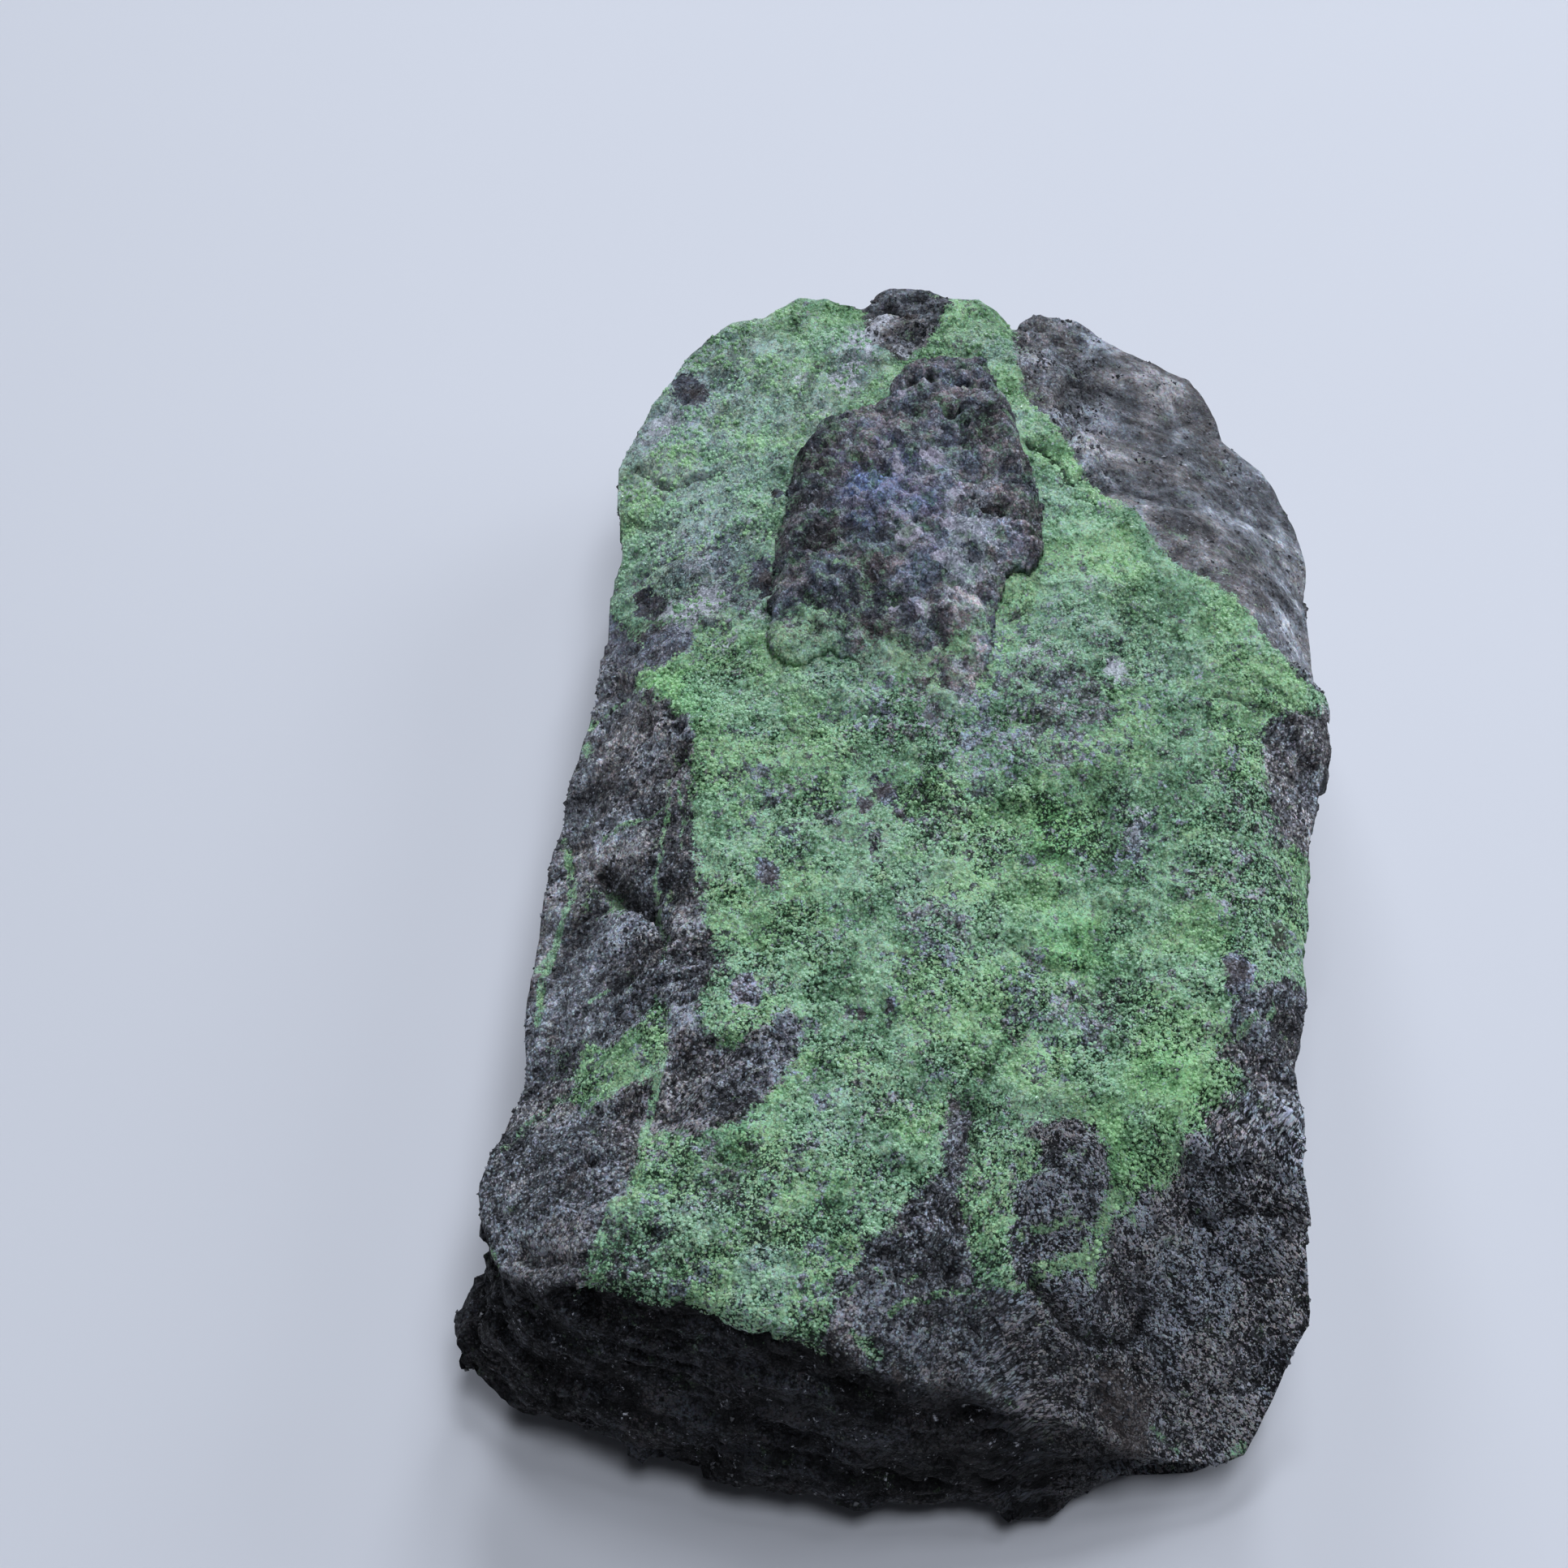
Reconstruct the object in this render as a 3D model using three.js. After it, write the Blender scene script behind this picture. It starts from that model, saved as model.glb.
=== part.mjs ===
// A hand specimen of uvarovite on chromite, about 61 x 97 x 27 mm.
// Three pieces: the chromitite matrix, the thin druse of green uvarovite grown over its broken
// vein face, and a thick scab of the vein's other wall that stayed on top of the druse.
//
// Millimetres, +Z up. The origin is the middle of the flat underside's level, under the middle of
// the specimen. +Y runs along the specimen's length, away from the steep dark end.
import * as THREE from 'three';

// ---- driving dimensions, mm ------------------------------------------------------------------
const AXIS = [-1.31, -5.25];       // x, y of the upright line that every ring is drawn round
const RIM_STEPS = 94;            // points round each ring
const TOP_RINGS = 14;            // rings from the middle of the top out to the rim
const WALL_STEPS = [3, 2, 2];    // rings from rim to waist, waist to foot, foot to contact line
const BASE_RINGS = 2;            // rings across the flat underside
const FIT_RADIUS = 2.5;          // roundness of the fitted top surface
const CRUST_TOP = 0.30;          // druse surface above the fitted surface
const CRUST_UNDER = 0.50;        // druse underside below the fitted surface
const RECESS = 0.90;             // depth of the matrix face under the druse
const RECESS_RIM = 1.2;          // how far the recess runs past the druse's edge
const RECESS_FADE = 2.0;         // width over which the recess dies out
const CRUST_CELL = 2.5;          // triangle size of the druse
const SLAB_CELL = 1.9;           // triangle size of the scab
const SLAB_GAP = 0.35;           // clearance under the scab
const SLAB_THICK = 1.75;         // scab thickness in the middle
const SLAB_EDGE = 0.95;          // scab thickness at its broken edge
const SLAB_SHOULDER = 2.4;       // width of the scab's rounded edge
const ROUGH_TOP = 0.10;          // random relief of the top
const ROUGH_WALL = 0.35;         // random relief of the broken walls

// Upper edge of the broken walls, x, y, z.
const RIM = [
  [-27.9, -37.4, 16], [-28.2, -36, 16.2], [-28.9, -33.2, 16], [-28.5, -31.2, 16], [-28.2, -29.9, 16], [-27.5, -28.4, 15.8], [-26.9, -26.3, 15.8], [-26.4, -24.7, 15.8],
  [-26.3, -23.1, 15.8], [-26.6, -20.2, 15.8], [-26.6, -17.8, 15.8], [-26.2, -15.4, 15.8], [-26, -13, 15.8], [-25.9, -10.8, 15.6], [-25.7, -8.4, 15.5], [-25.4, -5.9, 15.5],
  [-24.7, -2.8, 15.5], [-24.4, 0.9, 15.5], [-23.9, 3.1, 15.5], [-23.3, 5.7, 15.6], [-22.8, 8.2, 15.8], [-22.7, 10.4, 16], [-22.1, 13.7, 16], [-22, 16.5, 16],
  [-21.8, 18.9, 16], [-21.2, 21.8, 16], [-21.4, 24.8, 16], [-21.8, 27.9, 16], [-21.7, 30.9, 16], [-20.6, 33.7, 16.3], [-19.3, 36.7, 16.8], [-18.2, 38.4, 17],
  [-16.9, 40.9, 17.4], [-15, 43.1, 17.8], [-13.2, 44.3, 18.2], [-10.9, 44.4, 18.6], [-9.5, 45.5, 18.8], [-8.1, 46.4, 19], [-6.3, 45.8, 19.2], [-4.5, 44.9, 19.4],
  [-3.3, 44.6, 19.4], [-2.1, 46, 19.6], [0.7, 46.4, 19.6], [2.3, 46.3, 19.4], [4.5, 45.6, 19.2], [5.8, 46, 19], [7.4, 44.7, 18.6], [8.4, 43.6, 18],
  [9.2, 45.1, 17.2], [11, 46.3, 16.8], [13.9, 46.6, 16], [15.8, 45.1, 15.5], [17.3, 43.9, 15.2], [18.9, 43.2, 15], [20.7, 42.3, 14.6], [22.4, 41.9, 14.2],
  [23.4, 40.1, 14], [24.1, 37.9, 13.9], [24.4, 35.2, 13.9], [25.7, 34, 13.7], [27.3, 32.6, 13.5], [28.1, 31.2, 13.4], [28.6, 29.3, 13.4], [29.3, 27.2, 13.4],
  [29.6, 25, 13.4], [29.8, 22.9, 13.5], [29.5, 20.8, 13.8], [28.9, 18.7, 14.3], [29, 17.2, 14.6], [28.9, 14.3, 15.3], [28.6, 10.5, 16.5], [28.4, 7.6, 18],
  [28.5, 5, 20.5], [28.5, 3.6, 21.5], [28.3, 2, 21.5], [28.6, 0.7, 20.5], [28.2, -1.7, 19.5], [27.2, -4.3, 19.5], [26.7, -6.3, 19.5], [26.4, -7.9, 19.5],
  [25.8, -11.4, 19.8], [25.7, -13.3, 19.8], [25.1, -16.1, 20.2], [24.8, -18.1, 20.4], [24.9, -19.9, 20.2], [24.8, -21.2, 20], [24.4, -22.9, 19.8], [24, -24.6, 19.6],
  [23.8, -25.9, 19.4], [24, -27.5, 19], [24.2, -29, 18.6], [24.1, -30.6, 18.3], [23.8, -32.4, 18.2], [23.9, -33.8, 17.6], [24.3, -35.6, 16.2], [23.9, -37.1, 15],
  [24.3, -39.4, 12.3], [23.6, -40.9, 10.3], [22.5, -42.6, 8], [21.8, -43.8, 6.6], [21.1, -44.9, 5.4], [18.6, -46.6, 5], [13.1, -47.3, 8], [7.6, -48, 12],
  [2.4, -48.2, 15.6], [-1.2, -48.1, 18.2], [-4.7, -48.1, 20.6], [-7.6, -47.2, 22.2], [-10.1, -46.8, 22.8], [-12.5, -45.9, 22.9], [-15, -44.8, 22.8], [-17.5, -44.2, 22.6],
  [-19.5, -43.6, 22.3], [-21, -43, 21.8], [-22.6, -42.6, 20.5], [-24.2, -41.8, 19.2], [-25.9, -40.2, 18], [-27.3, -38.7, 16.8],
];

// Points that the top surface passes through, x, y, z.
const SURFACE = [
  [-14.1, -2.9, 23.6], [-7.4, -1.4, 24.3], [-1.9, -3, 24.5], [3.5, -5.1, 24.6], [9.1, -1.6, 24.6], [14.7, -1.5, 24.4], [20.4, 0.3, 24], [23.5, 0.6, 23.6],
  [-14, -9.1, 23.5], [-7.5, -9.8, 24.4], [0.6, -12, 24.7], [8.6, -12, 24.6], [16.8, -9.7, 24.3], [22.5, -7.9, 23.7], [-12.8, -16.7, 23.8], [-7.5, -18.3, 24.3],
  [0.3, -19.8, 24.6], [8.2, -20.3, 24.3], [15.2, -18.3, 24.2], [21.8, -16.5, 23.5], [-12.7, -23.7, 23.8], [-5, -25.8, 24.1], [2.7, -26.6, 24.4], [10.5, -26.4, 24],
  [17.4, -24.2, 23.6], [21.8, -23, 22.8], [-14.2, -29.4, 23], [-10.6, -28.4, 23.4], [-8.8, -24.9, 23.7], [-15.2, -35.9, 22.9], [-10.1, -35.1, 23.5], [-3.5, -33.6, 24],
  [0.1, -30.6, 24], [-18.6, -39.8, 22.6], [-13.6, -41.3, 23.2], [-7.6, -41.4, 23.4], [-4.6, -39.2, 23.6], [-19.5, -41.9, 22.3], [-12.6, -44.6, 23], [-5.7, -45.6, 22.8],
  [-2.7, -42.4, 23.1], [-0.1, -39.1, 23.3], [2, -33.5, 23.8], [5.2, -30.6, 23.9], [7.6, -34.3, 23.2], [11.7, -33, 23], [15.4, -31.6, 22.6], [18.3, -27.9, 22.6],
  [21.7, -26.4, 21.2], [-2.7, -45.9, 21.4], [-0.2, -43.7, 21.4], [3.4, -41.8, 21.2], [7.5, -39.8, 20.6], [10.1, -38.5, 20.4], [12.7, -36.3, 20.6], [15.4, -34, 20.7],
  [19.3, -31.3, 20.2], [22.6, -30.5, 19], [-0.2, -46.7, 18.8], [5, -44.5, 16.8], [9.2, -42.8, 15.8], [12.9, -41.1, 14.8], [17.3, -37.6, 14.9], [21, -34.6, 15.8],
  [5, -46.5, 14.3], [10.3, -45.8, 11.8], [15.7, -43.2, 10.2], [20.1, -40, 10.8], [13, -46.5, 8.9], [18.6, -44.8, 6.6], [26, -0.2, 22.8], [25.5, -6.7, 22.1],
  [24.3, -13.5, 22.2], [23.8, -19.8, 21.8], [22.9, -24.4, 21], [9.1, 39.8, 19.8], [9.5, 34, 21.3], [10.2, 29.7, 22.2], [11.8, 25.8, 22.8], [13.3, 22.3, 23.1],
  [16.1, 18.9, 23.3], [18.1, 14.8, 23.6], [21.4, 12.5, 23.5], [23.9, 8.9, 23.4], [25.9, 5.3, 23.2], [14.1, 40.3, 17.5], [17.6, 36, 17.5], [20.3, 30.4, 18],
  [22.9, 25.4, 18], [24.9, 20.1, 18.5], [26, 14.5, 19.5], [12.9, 31.7, 20.2], [16.2, 27.2, 20.5], [19.4, 21.8, 21.1], [22.6, 17.9, 21], [11.7, 15.3, 23.9],
  [15.3, 8.9, 24.2], [9.6, 7.2, 24.4], [19.7, 6.1, 24], [10.3, 20.3, 23.6], [-1.6, 13.8, 23.8], [-1.4, 22.2, 23.2], [1.8, 31.3, 22.3], [-4.6, 5.9, 24.3],
  [4.1, 13.5, 24.2], [4.5, 21.8, 23.6], [-1, 41.8, 20.4], [4, 41.9, 20.3], [-7.2, 41.9, 20.3], [-10.3, 38.3, 20.4], [-13.4, 36.3, 19.8], [-4.8, 35.5, 21.5],
  [-8.5, 32.4, 21.2], [-13.3, 28.6, 19.9], [-15.8, 33, 18.8], [-10.9, 23.7, 21.6], [-15.1, 23.9, 19.6], [-18.2, 30.6, 17.8], [-18.7, 24.2, 17.6], [-19.1, 17.2, 18.2],
  [-15.5, 17, 20.2], [-12, 17.2, 21.8], [-13.1, 10.6, 22.2], [-17.2, 10.8, 20.3], [-19.5, 8.6, 19.3], [-10.8, 3.4, 23.7], [-15.3, 4.6, 22.3], [-18.8, 5.3, 20.5],
  [-16.9, 1.7, 22.3], [-15.7, -1.9, 23.2], [-16.5, -5.8, 22.8], [-16.9, -11.4, 22.9], [-14.9, -16.5, 23.5], [-15, -20.3, 23.4], [-17, -23, 22.8], [-17.3, -28.4, 22.4],
  [-18.3, -32.6, 22.3], [-19.2, -36.1, 22.2], [-20.6, -40, 22], [-20.5, 3, 18.9], [-20.3, -1.5, 19.1], [-20.7, -7.2, 19.2], [-20.5, -12.8, 19.3], [-20.9, -18.1, 19.4],
  [-21.3, -23.2, 19.3], [-22.2, -27.6, 19.2], [-23.1, -31.8, 19.2], [-24, -35.4, 19.2], [-24.3, -38.8, 19],
];

// Outline of the druse on the top, x, y.
const CRUST_OUTLINE = [
  [-20.1, 7.6], [-21, 12], [-21, 14.9], [-20.6, 17], [-20.2, 19.9], [-20.4, 24.3], [-20.7, 27.4], [-20.5, 29.8], [-19.5, 32.4], [-18.2, 35.2],
  [-17, 37.2], [-15.8, 39.3], [-14.2, 41], [-12.5, 42.6], [-10.3, 42.2], [-8.1, 43.7], [-5.3, 43.2], [-3.4, 41.9], [-2.4, 39], [-0.5, 37.3],
  [1.4, 38.9], [3.4, 41.6], [5.7, 43.5], [7.1, 42.7], [7.9, 39.9], [8.4, 36.3], [8.8, 32.8], [9.9, 30.2], [10.9, 28.3], [12, 25.9],
  [12.5, 22.9], [14.3, 21.4], [16.1, 18.9], [18.1, 14.8], [21.4, 12.5], [23.9, 8.9], [25.8, 5.2], [26.9, 3.3], [26.1, 1.2], [24, 0.3],
  [23.4, -1.2], [23.2, -4.8], [23.4, -6.4], [24.2, -8.3], [24.7, -10.1], [24, -13.7], [23.7, -16.2], [23.5, -17.9], [22.6, -20.6], [21, -22.6],
  [19.4, -23.2], [19.1, -24], [19.1, -25.2], [18.6, -26.9], [20.5, -27.3], [20.1, -28.2], [19.6, -28.7], [18.4, -29.8], [17.2, -30.3], [17.8, -31.7],
  [16, -32.6], [15.9, -33.5], [15.1, -34.6], [14.4, -35.1], [13.1, -35.3], [12.6, -36.1], [11.6, -37.2], [10.8, -38.4], [10.4, -39.3], [9.9, -40.2],
  [9.7, -40.9], [9.1, -40.7], [9.4, -40], [9.8, -38.9], [10.6, -37.6], [11.1, -36.4], [11.1, -34.8], [10.7, -33.8], [10.2, -32.3], [8.2, -32.1],
  [5.9, -33.1], [6.8, -34.2], [6.7, -36], [5.2, -36.6], [5, -34.8], [4.6, -37.7], [4.7, -40.4], [4.8, -42.5], [2.4, -43], [1.8, -40.8],
  [1.7, -37.2], [2.1, -34.7], [2.4, -31.7], [1.3, -30.3], [0.4, -35.7], [-0.8, -37.3], [-2, -39.1], [-3.8, -40.7], [-4.6, -41.4], [-4.8, -42.2],
  [-5.8, -43.2], [-6.4, -44.2], [-7, -45.1], [-6.7, -46.3], [-7.4, -46.1], [-8.2, -46.5], [-8.5, -45.2], [-9.2, -45.9], [-9.8, -46.5], [-10.3, -46.7],
  [-11.1, -46.6], [-12, -46.1], [-11.7, -45.7], [-12, -45.1], [-12.8, -44.9], [-13.9, -44.4], [-15, -43.8], [-16.4, -43.1], [-17.2, -43.9], [-18, -43.8],
  [-19.6, -42.7], [-20.3, -41.3], [-21.2, -41.4], [-20.7, -39.4], [-20.2, -37.7], [-19.4, -37.3], [-18.7, -34.9], [-18.3, -32.7], [-16.2, -32.5], [-14.7, -33],
  [-12.7, -32.5], [-11.1, -31.4], [-9.6, -29.7], [-8.5, -26.7], [-8.2, -25.6], [-8.6, -23.6], [-9.6, -24.3], [-10.7, -25.5], [-12.2, -26.3], [-13.8, -26],
  [-14.8, -25.2], [-15.1, -23.5], [-14.3, -21.9], [-13.3, -20.5], [-13.8, -19.2], [-14.7, -16.5], [-15, -13.3], [-15.3, -10.4], [-15.6, -7.5], [-16, -4.6],
  [-15.7, -2.6], [-15.8, -0.1], [-16.9, 1.7], [-18.8, 5.3],
];

// Outline of the scab, x, y.
const SLAB_OUTLINE = [
  [2.6, 37.6], [6.2, 36.3], [6.6, 32.3], [7.7, 29.2], [8, 27.2], [8.2, 24.9], [8.8, 22], [9.4, 19.5], [9.2, 16.5], [8.9, 14.1],
  [8.5, 12.5], [8, 12], [7.1, 12.5], [6.2, 12], [5.7, 8.8], [5, 5], [4.1, 2.1], [3.8, 1.1], [3, -0.5], [1.3, -1.3],
  [0.7, -1], [-0.2, 1.4], [-1.1, 3.4], [-2.9, 3.2], [-3.5, 2.2], [-4, 2.5], [-4.1, 4.1], [-4.7, 4.8], [-6.1, 5.4], [-7.2, 4.8],
  [-7.7, 4.2], [-8.3, 4.2], [-9.4, 4.6], [-10.4, 5.5], [-10.7, 6.5], [-10, 8.9], [-10.3, 10.7], [-10.2, 13.1], [-10.1, 15.4], [-10, 18],
  [-9.4, 19.6], [-9.1, 21.9], [-8.8, 24.3], [-8.1, 26.6], [-7.2, 28.3], [-6.4, 29.3], [-3.7, 30.1], [-1.9, 31.1], [-0.9, 34.4], [0.7, 36.6],
];

// Shape of the wall under the rim, by bearing in degrees about AXIS:
// [bearing, waist offset, waist z, foot offset, foot z, contact offset]. Offsets are outward from
// the rim; the contact line lies at z = 0.
const WALL = [
  [0, 0.5, 11, 0.2, 3.0, -2.8], [15, 0.2, 12, 0.0, 3.5, -3.0], [25, 0.5, 9, 0.2, 3.0, -2.8],
  [45, 1.0, 7, 0.8, 2.5, -2.2], [62, 1.4, 8, 1.2, 3.0, -2.2], [75, 2.2, 9, 2.0, 3.2, -1.6],
  [88, 2.6, 10, 2.2, 3.0, -1.4], [100, 2.4, 11, 1.4, 3.6, -2.4], [115, 1.6, 9, 0.6, 3.0, -3.0],
  [130, 0.6, 9, -0.4, 3.2, -3.8], [150, 0.3, 9, -0.6, 3.0, -3.8], [170, 0.2, 8.5, -1.0, 3.5, -4.4],
  [190, 0.2, 9, -0.9, 3.2, -4.2], [205, 0.0, 9, -1.2, 3.8, -4.8], [218, 0.0, 9.5, -0.8, 4.4, -4.8],
  [225, 0.3, 9.5, 0.4, 5.5, -3.8], [228, 1.2, 8.6, 2.0, 6.0, -2.4], [230, 4.2, 8.2, 4.2, 6.0, -1.4],
  [233, 2.4, 11, 3.6, 5.8, -1.8], [237, 1.4, 12, 2.3, 4.8, -2.6], [241, 1.0, 12, 1.7, 4.0, -2.8],
  [247, 0.7, 12.5, 1.5, 3.2, -2.6], [254, 0.3, 13, 0.4, 2.7, -3.2], [262, 0.2, 12, -0.5, 2.3, -3.8],
  [270, 0.3, 10, -0.2, 1.5, -3.2], [277, 0.3, 8, 0.0, 1.4, -2.8], [282, 0.4, 6, 0.7, 0.9, -2.0],
  [285, 0.0, 6, -0.7, 1.8, -3.2], [291, -0.3, 4.5, -1.0, 2.3, -3.4], [297, 0.0, 4.2, -0.2, 2.8, -3.0],
  [299, -0.2, 4.3, -0.4, 3.4, -2.8], [303, -0.5, 6, -0.9, 2.5, -3.2], [308, -0.5, 8, -0.8, 2.5, -3.4],
  [318, 0.1, 11, -0.2, 3.0, -3.0], [335, 0.3, 11, 0.0, 2.6, -2.8], [360, 0.5, 11, 0.2, 3.0, -2.8],
];

// ---- small tools -------------------------------------------------------------------------------
const smooth = (a, b, x) => { const t = Math.min(1, Math.max(0, (x - a) / (b - a))); return t * t * (3 - 2 * t); };
const noise = (i, j, k) => { const s = Math.sin(i * 127.1 + j * 311.7 + k * 74.7) * 43758.5453; return 2 * (s - Math.floor(s)) - 1; };

// Least squares is not needed: one smooth surface passes through every given point.
function solve(A, b) {
  const n = b.length;
  for (let c = 0; c < n; c++) {
    let p = c;
    for (let r = c + 1; r < n; r++) if (Math.abs(A[r][c]) > Math.abs(A[p][c])) p = r;
    [A[c], A[p]] = [A[p], A[c]]; [b[c], b[p]] = [b[p], b[c]];
    for (let r = c + 1; r < n; r++) {
      const f = A[r][c] / A[c][c];
      if (f === 0) continue;
      for (let k = c; k < n; k++) A[r][k] -= f * A[c][k];
      b[r] -= f * b[c];
    }
  }
  for (let c = n - 1; c >= 0; c--) {
    for (let k = c + 1; k < n; k++) b[c] -= A[c][k] * b[k];
    b[c] /= A[c][c];
  }
  return b;
}
const knots = [];
for (const p of [...RIM, ...SURFACE]) {
  if (!knots.some((q) => Math.hypot(p[0] - q[0], p[1] - q[1]) < 1.6)) knots.push(p);
}
const kernel = (dx, dy) => Math.sqrt(dx * dx + dy * dy + FIT_RADIUS * FIT_RADIUS);
const weights = (() => {
  const n = knots.length;
  const A = Array.from({ length: n + 3 }, () => new Array(n + 3).fill(0));
  const b = new Array(n + 3).fill(0);
  for (let i = 0; i < n; i++) {
    for (let j = 0; j < n; j++) A[i][j] = kernel(knots[i][0] - knots[j][0], knots[i][1] - knots[j][1]) - (i === j ? 0.02 : 0);
    A[i][n] = A[n][i] = 1;
    A[i][n + 1] = A[n + 1][i] = knots[i][0];
    A[i][n + 2] = A[n + 2][i] = knots[i][1];
    b[i] = knots[i][2];
  }
  return solve(A, b);
})();
function surface(x, y) {
  const n = knots.length;
  let z = weights[n] + weights[n + 1] * x + weights[n + 2] * y;
  for (let i = 0; i < n; i++) z += weights[i] * kernel(x - knots[i][0], y - knots[i][1]);
  return z;
}

// Distance to an outline, positive inside it.
function inside(outline, x, y) {
  let best = 1e9, odd = false;
  for (let i = 0, j = outline.length - 1; i < outline.length; j = i++) {
    const [ax, ay] = outline[j], [bx, by] = outline[i];
    const t = Math.min(1, Math.max(0, ((x - ax) * (bx - ax) + (y - ay) * (by - ay)) / ((bx - ax) ** 2 + (by - ay) ** 2 + 1e-12)));
    best = Math.min(best, Math.hypot(x - ax - t * (bx - ax), y - ay - t * (by - ay)));
    if ((ay > y) !== (by > y) && x < ax + ((y - ay) / (by - ay)) * (bx - ax)) odd = !odd;
  }
  return odd ? best : -best;
}

function meshOf(name, points, faces, material) {
  const geometry = new THREE.BufferGeometry();
  geometry.setAttribute('position', new THREE.Float32BufferAttribute(points.flat(), 3));
  geometry.setIndex(faces.flat());
  geometry.computeVertexNormals();
  const mesh = new THREE.Mesh(geometry, material);
  mesh.name = name;
  return mesh;
}

// ---- matrix: rings from the top's middle, over the rim, down the walls and under ---------------
const rimPolar = RIM.map(([x, y, z]) => {
  const dx = x - AXIS[0], dy = y - AXIS[1];
  return [(Math.atan2(dy, dx) + 2 * Math.PI) % (2 * Math.PI), Math.hypot(dx, dy), z];
}).sort((a, b) => a[0] - b[0]);
function rimAt(bearing) {
  const n = rimPolar.length;
  let i = rimPolar.findIndex((p) => p[0] > bearing);
  if (i < 0) i = 0;
  const b = rimPolar[i], a = rimPolar[(i + n - 1) % n];
  let span = b[0] - a[0], step = bearing - a[0];
  if (span <= 0) span += 2 * Math.PI;
  if (step < 0) step += 2 * Math.PI;
  const t = span < 1e-9 ? 0 : step / span;
  return [a[1] + t * (b[1] - a[1]), a[2] + t * (b[2] - a[2])];
}
function wallAt(bearing) {
  const deg = (bearing * 180) / Math.PI;
  let i = WALL.findIndex((w) => w[0] > deg);
  if (i < 1) i = WALL.length - 1;
  const a = WALL[i - 1], b = WALL[i], t = (deg - a[0]) / (b[0] - a[0]);
  return a.slice(1).map((v, k) => v + t * (b[k + 1] - v));
}
function bearings() {
  const fine = 2880, length = [0];
  const at = (k) => { const a = (2 * Math.PI * k) / fine, [r] = rimAt(a % (2 * Math.PI)); return [r * Math.cos(a), r * Math.sin(a)]; };
  for (let k = 1, p = at(0); k <= fine; k++) { const q = at(k); length.push(length[k - 1] + Math.hypot(q[0] - p[0], q[1] - p[1])); p = q; }
  const out = [];
  for (let i = 0, k = 0; i < RIM_STEPS; i++) {
    const want = (length[fine] * i) / RIM_STEPS;
    while (length[k + 1] < want) k++;
    out.push((2 * Math.PI * (k + (want - length[k]) / (length[k + 1] - length[k]))) / fine);
  }
  return out;
}
function matrixMesh(material) {
  const turns = bearings(), rings = [];
  for (let j = 1; j <= TOP_RINGS; j++) {
    const s = j / TOP_RINGS;
    rings.push(turns.map((a, i) => {
      const [r, zr] = rimAt(a);
      const x = AXIS[0] + s * r * Math.cos(a), y = AXIS[1] + s * r * Math.sin(a);
      const d = inside(CRUST_OUTLINE, x, y);
      const sunk = RECESS * smooth(-RECESS_RIM - RECESS_FADE, -RECESS_RIM, d);
      if (j === TOP_RINGS) return [x, y, zr - sunk];
      return [x, y, surface(x, y) - sunk + (d < -RECESS_RIM ? ROUGH_TOP * noise(i, j, 1) : 0)];
    }));
  }
  const stations = turns.map((a) => {
    const [r, z] = rimAt(a), [wo, wz, fo, fz, co] = wallAt(a);
    return [[r, z], [r + wo, Math.min(wz, z - 1.2)], [r + fo, Math.min(fz, z - 2.2)], [r + co, 0]];
  });
  for (let leg = 0; leg < 3; leg++) {
    for (let k = 1; k <= WALL_STEPS[leg]; k++) {
      const s = k / WALL_STEPS[leg], last = leg === 2 && k === WALL_STEPS[2];
      rings.push(turns.map((a, i) => {
        const [r0, z0] = stations[i][leg], [r1, z1] = stations[i][leg + 1];
        const r = r0 + s * (r1 - r0) + (last ? 0 : ROUGH_WALL * noise(i, leg * 7 + k, 2)), z = last ? 0 : z0 + s * (z1 - z0);
        return [AXIS[0] + r * Math.cos(a), AXIS[1] + r * Math.sin(a), z];
      }));
    }
  }
  for (let k = BASE_RINGS - 1; k >= 1; k--) {
    const s = k / BASE_RINGS;
    rings.push(turns.map((a, i) => {
      const r = s * stations[i][3][0];
      return [AXIS[0] + r * Math.cos(a), AXIS[1] + r * Math.sin(a), 0];
    }));
  }
  const n = turns.length, points = [[AXIS[0], AXIS[1], surface(...AXIS) - RECESS], ...rings.flat(), [AXIS[0], AXIS[1], 0]];
  const at = (j, i) => 1 + j * n + (i % n), faces = [];
  for (let i = 0; i < n; i++) faces.push([0, at(0, i), at(0, i + 1)]);
  for (let j = 0; j + 1 < rings.length; j++) {
    for (let i = 0; i < n; i++) {
      const a = at(j, i), b = at(j, i + 1), c = at(j + 1, i), d = at(j + 1, i + 1);
      if ((i + j) % 2) faces.push([a, c, d], [a, d, b]);
      else faces.push([a, c, b], [b, c, d]);
    }
  }
  for (let i = 0; i < n; i++) faces.push([points.length - 1, at(rings.length - 1, i + 1), at(rings.length - 1, i)]);
  return meshOf('chromite_matrix', points, faces, material);
}

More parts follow.
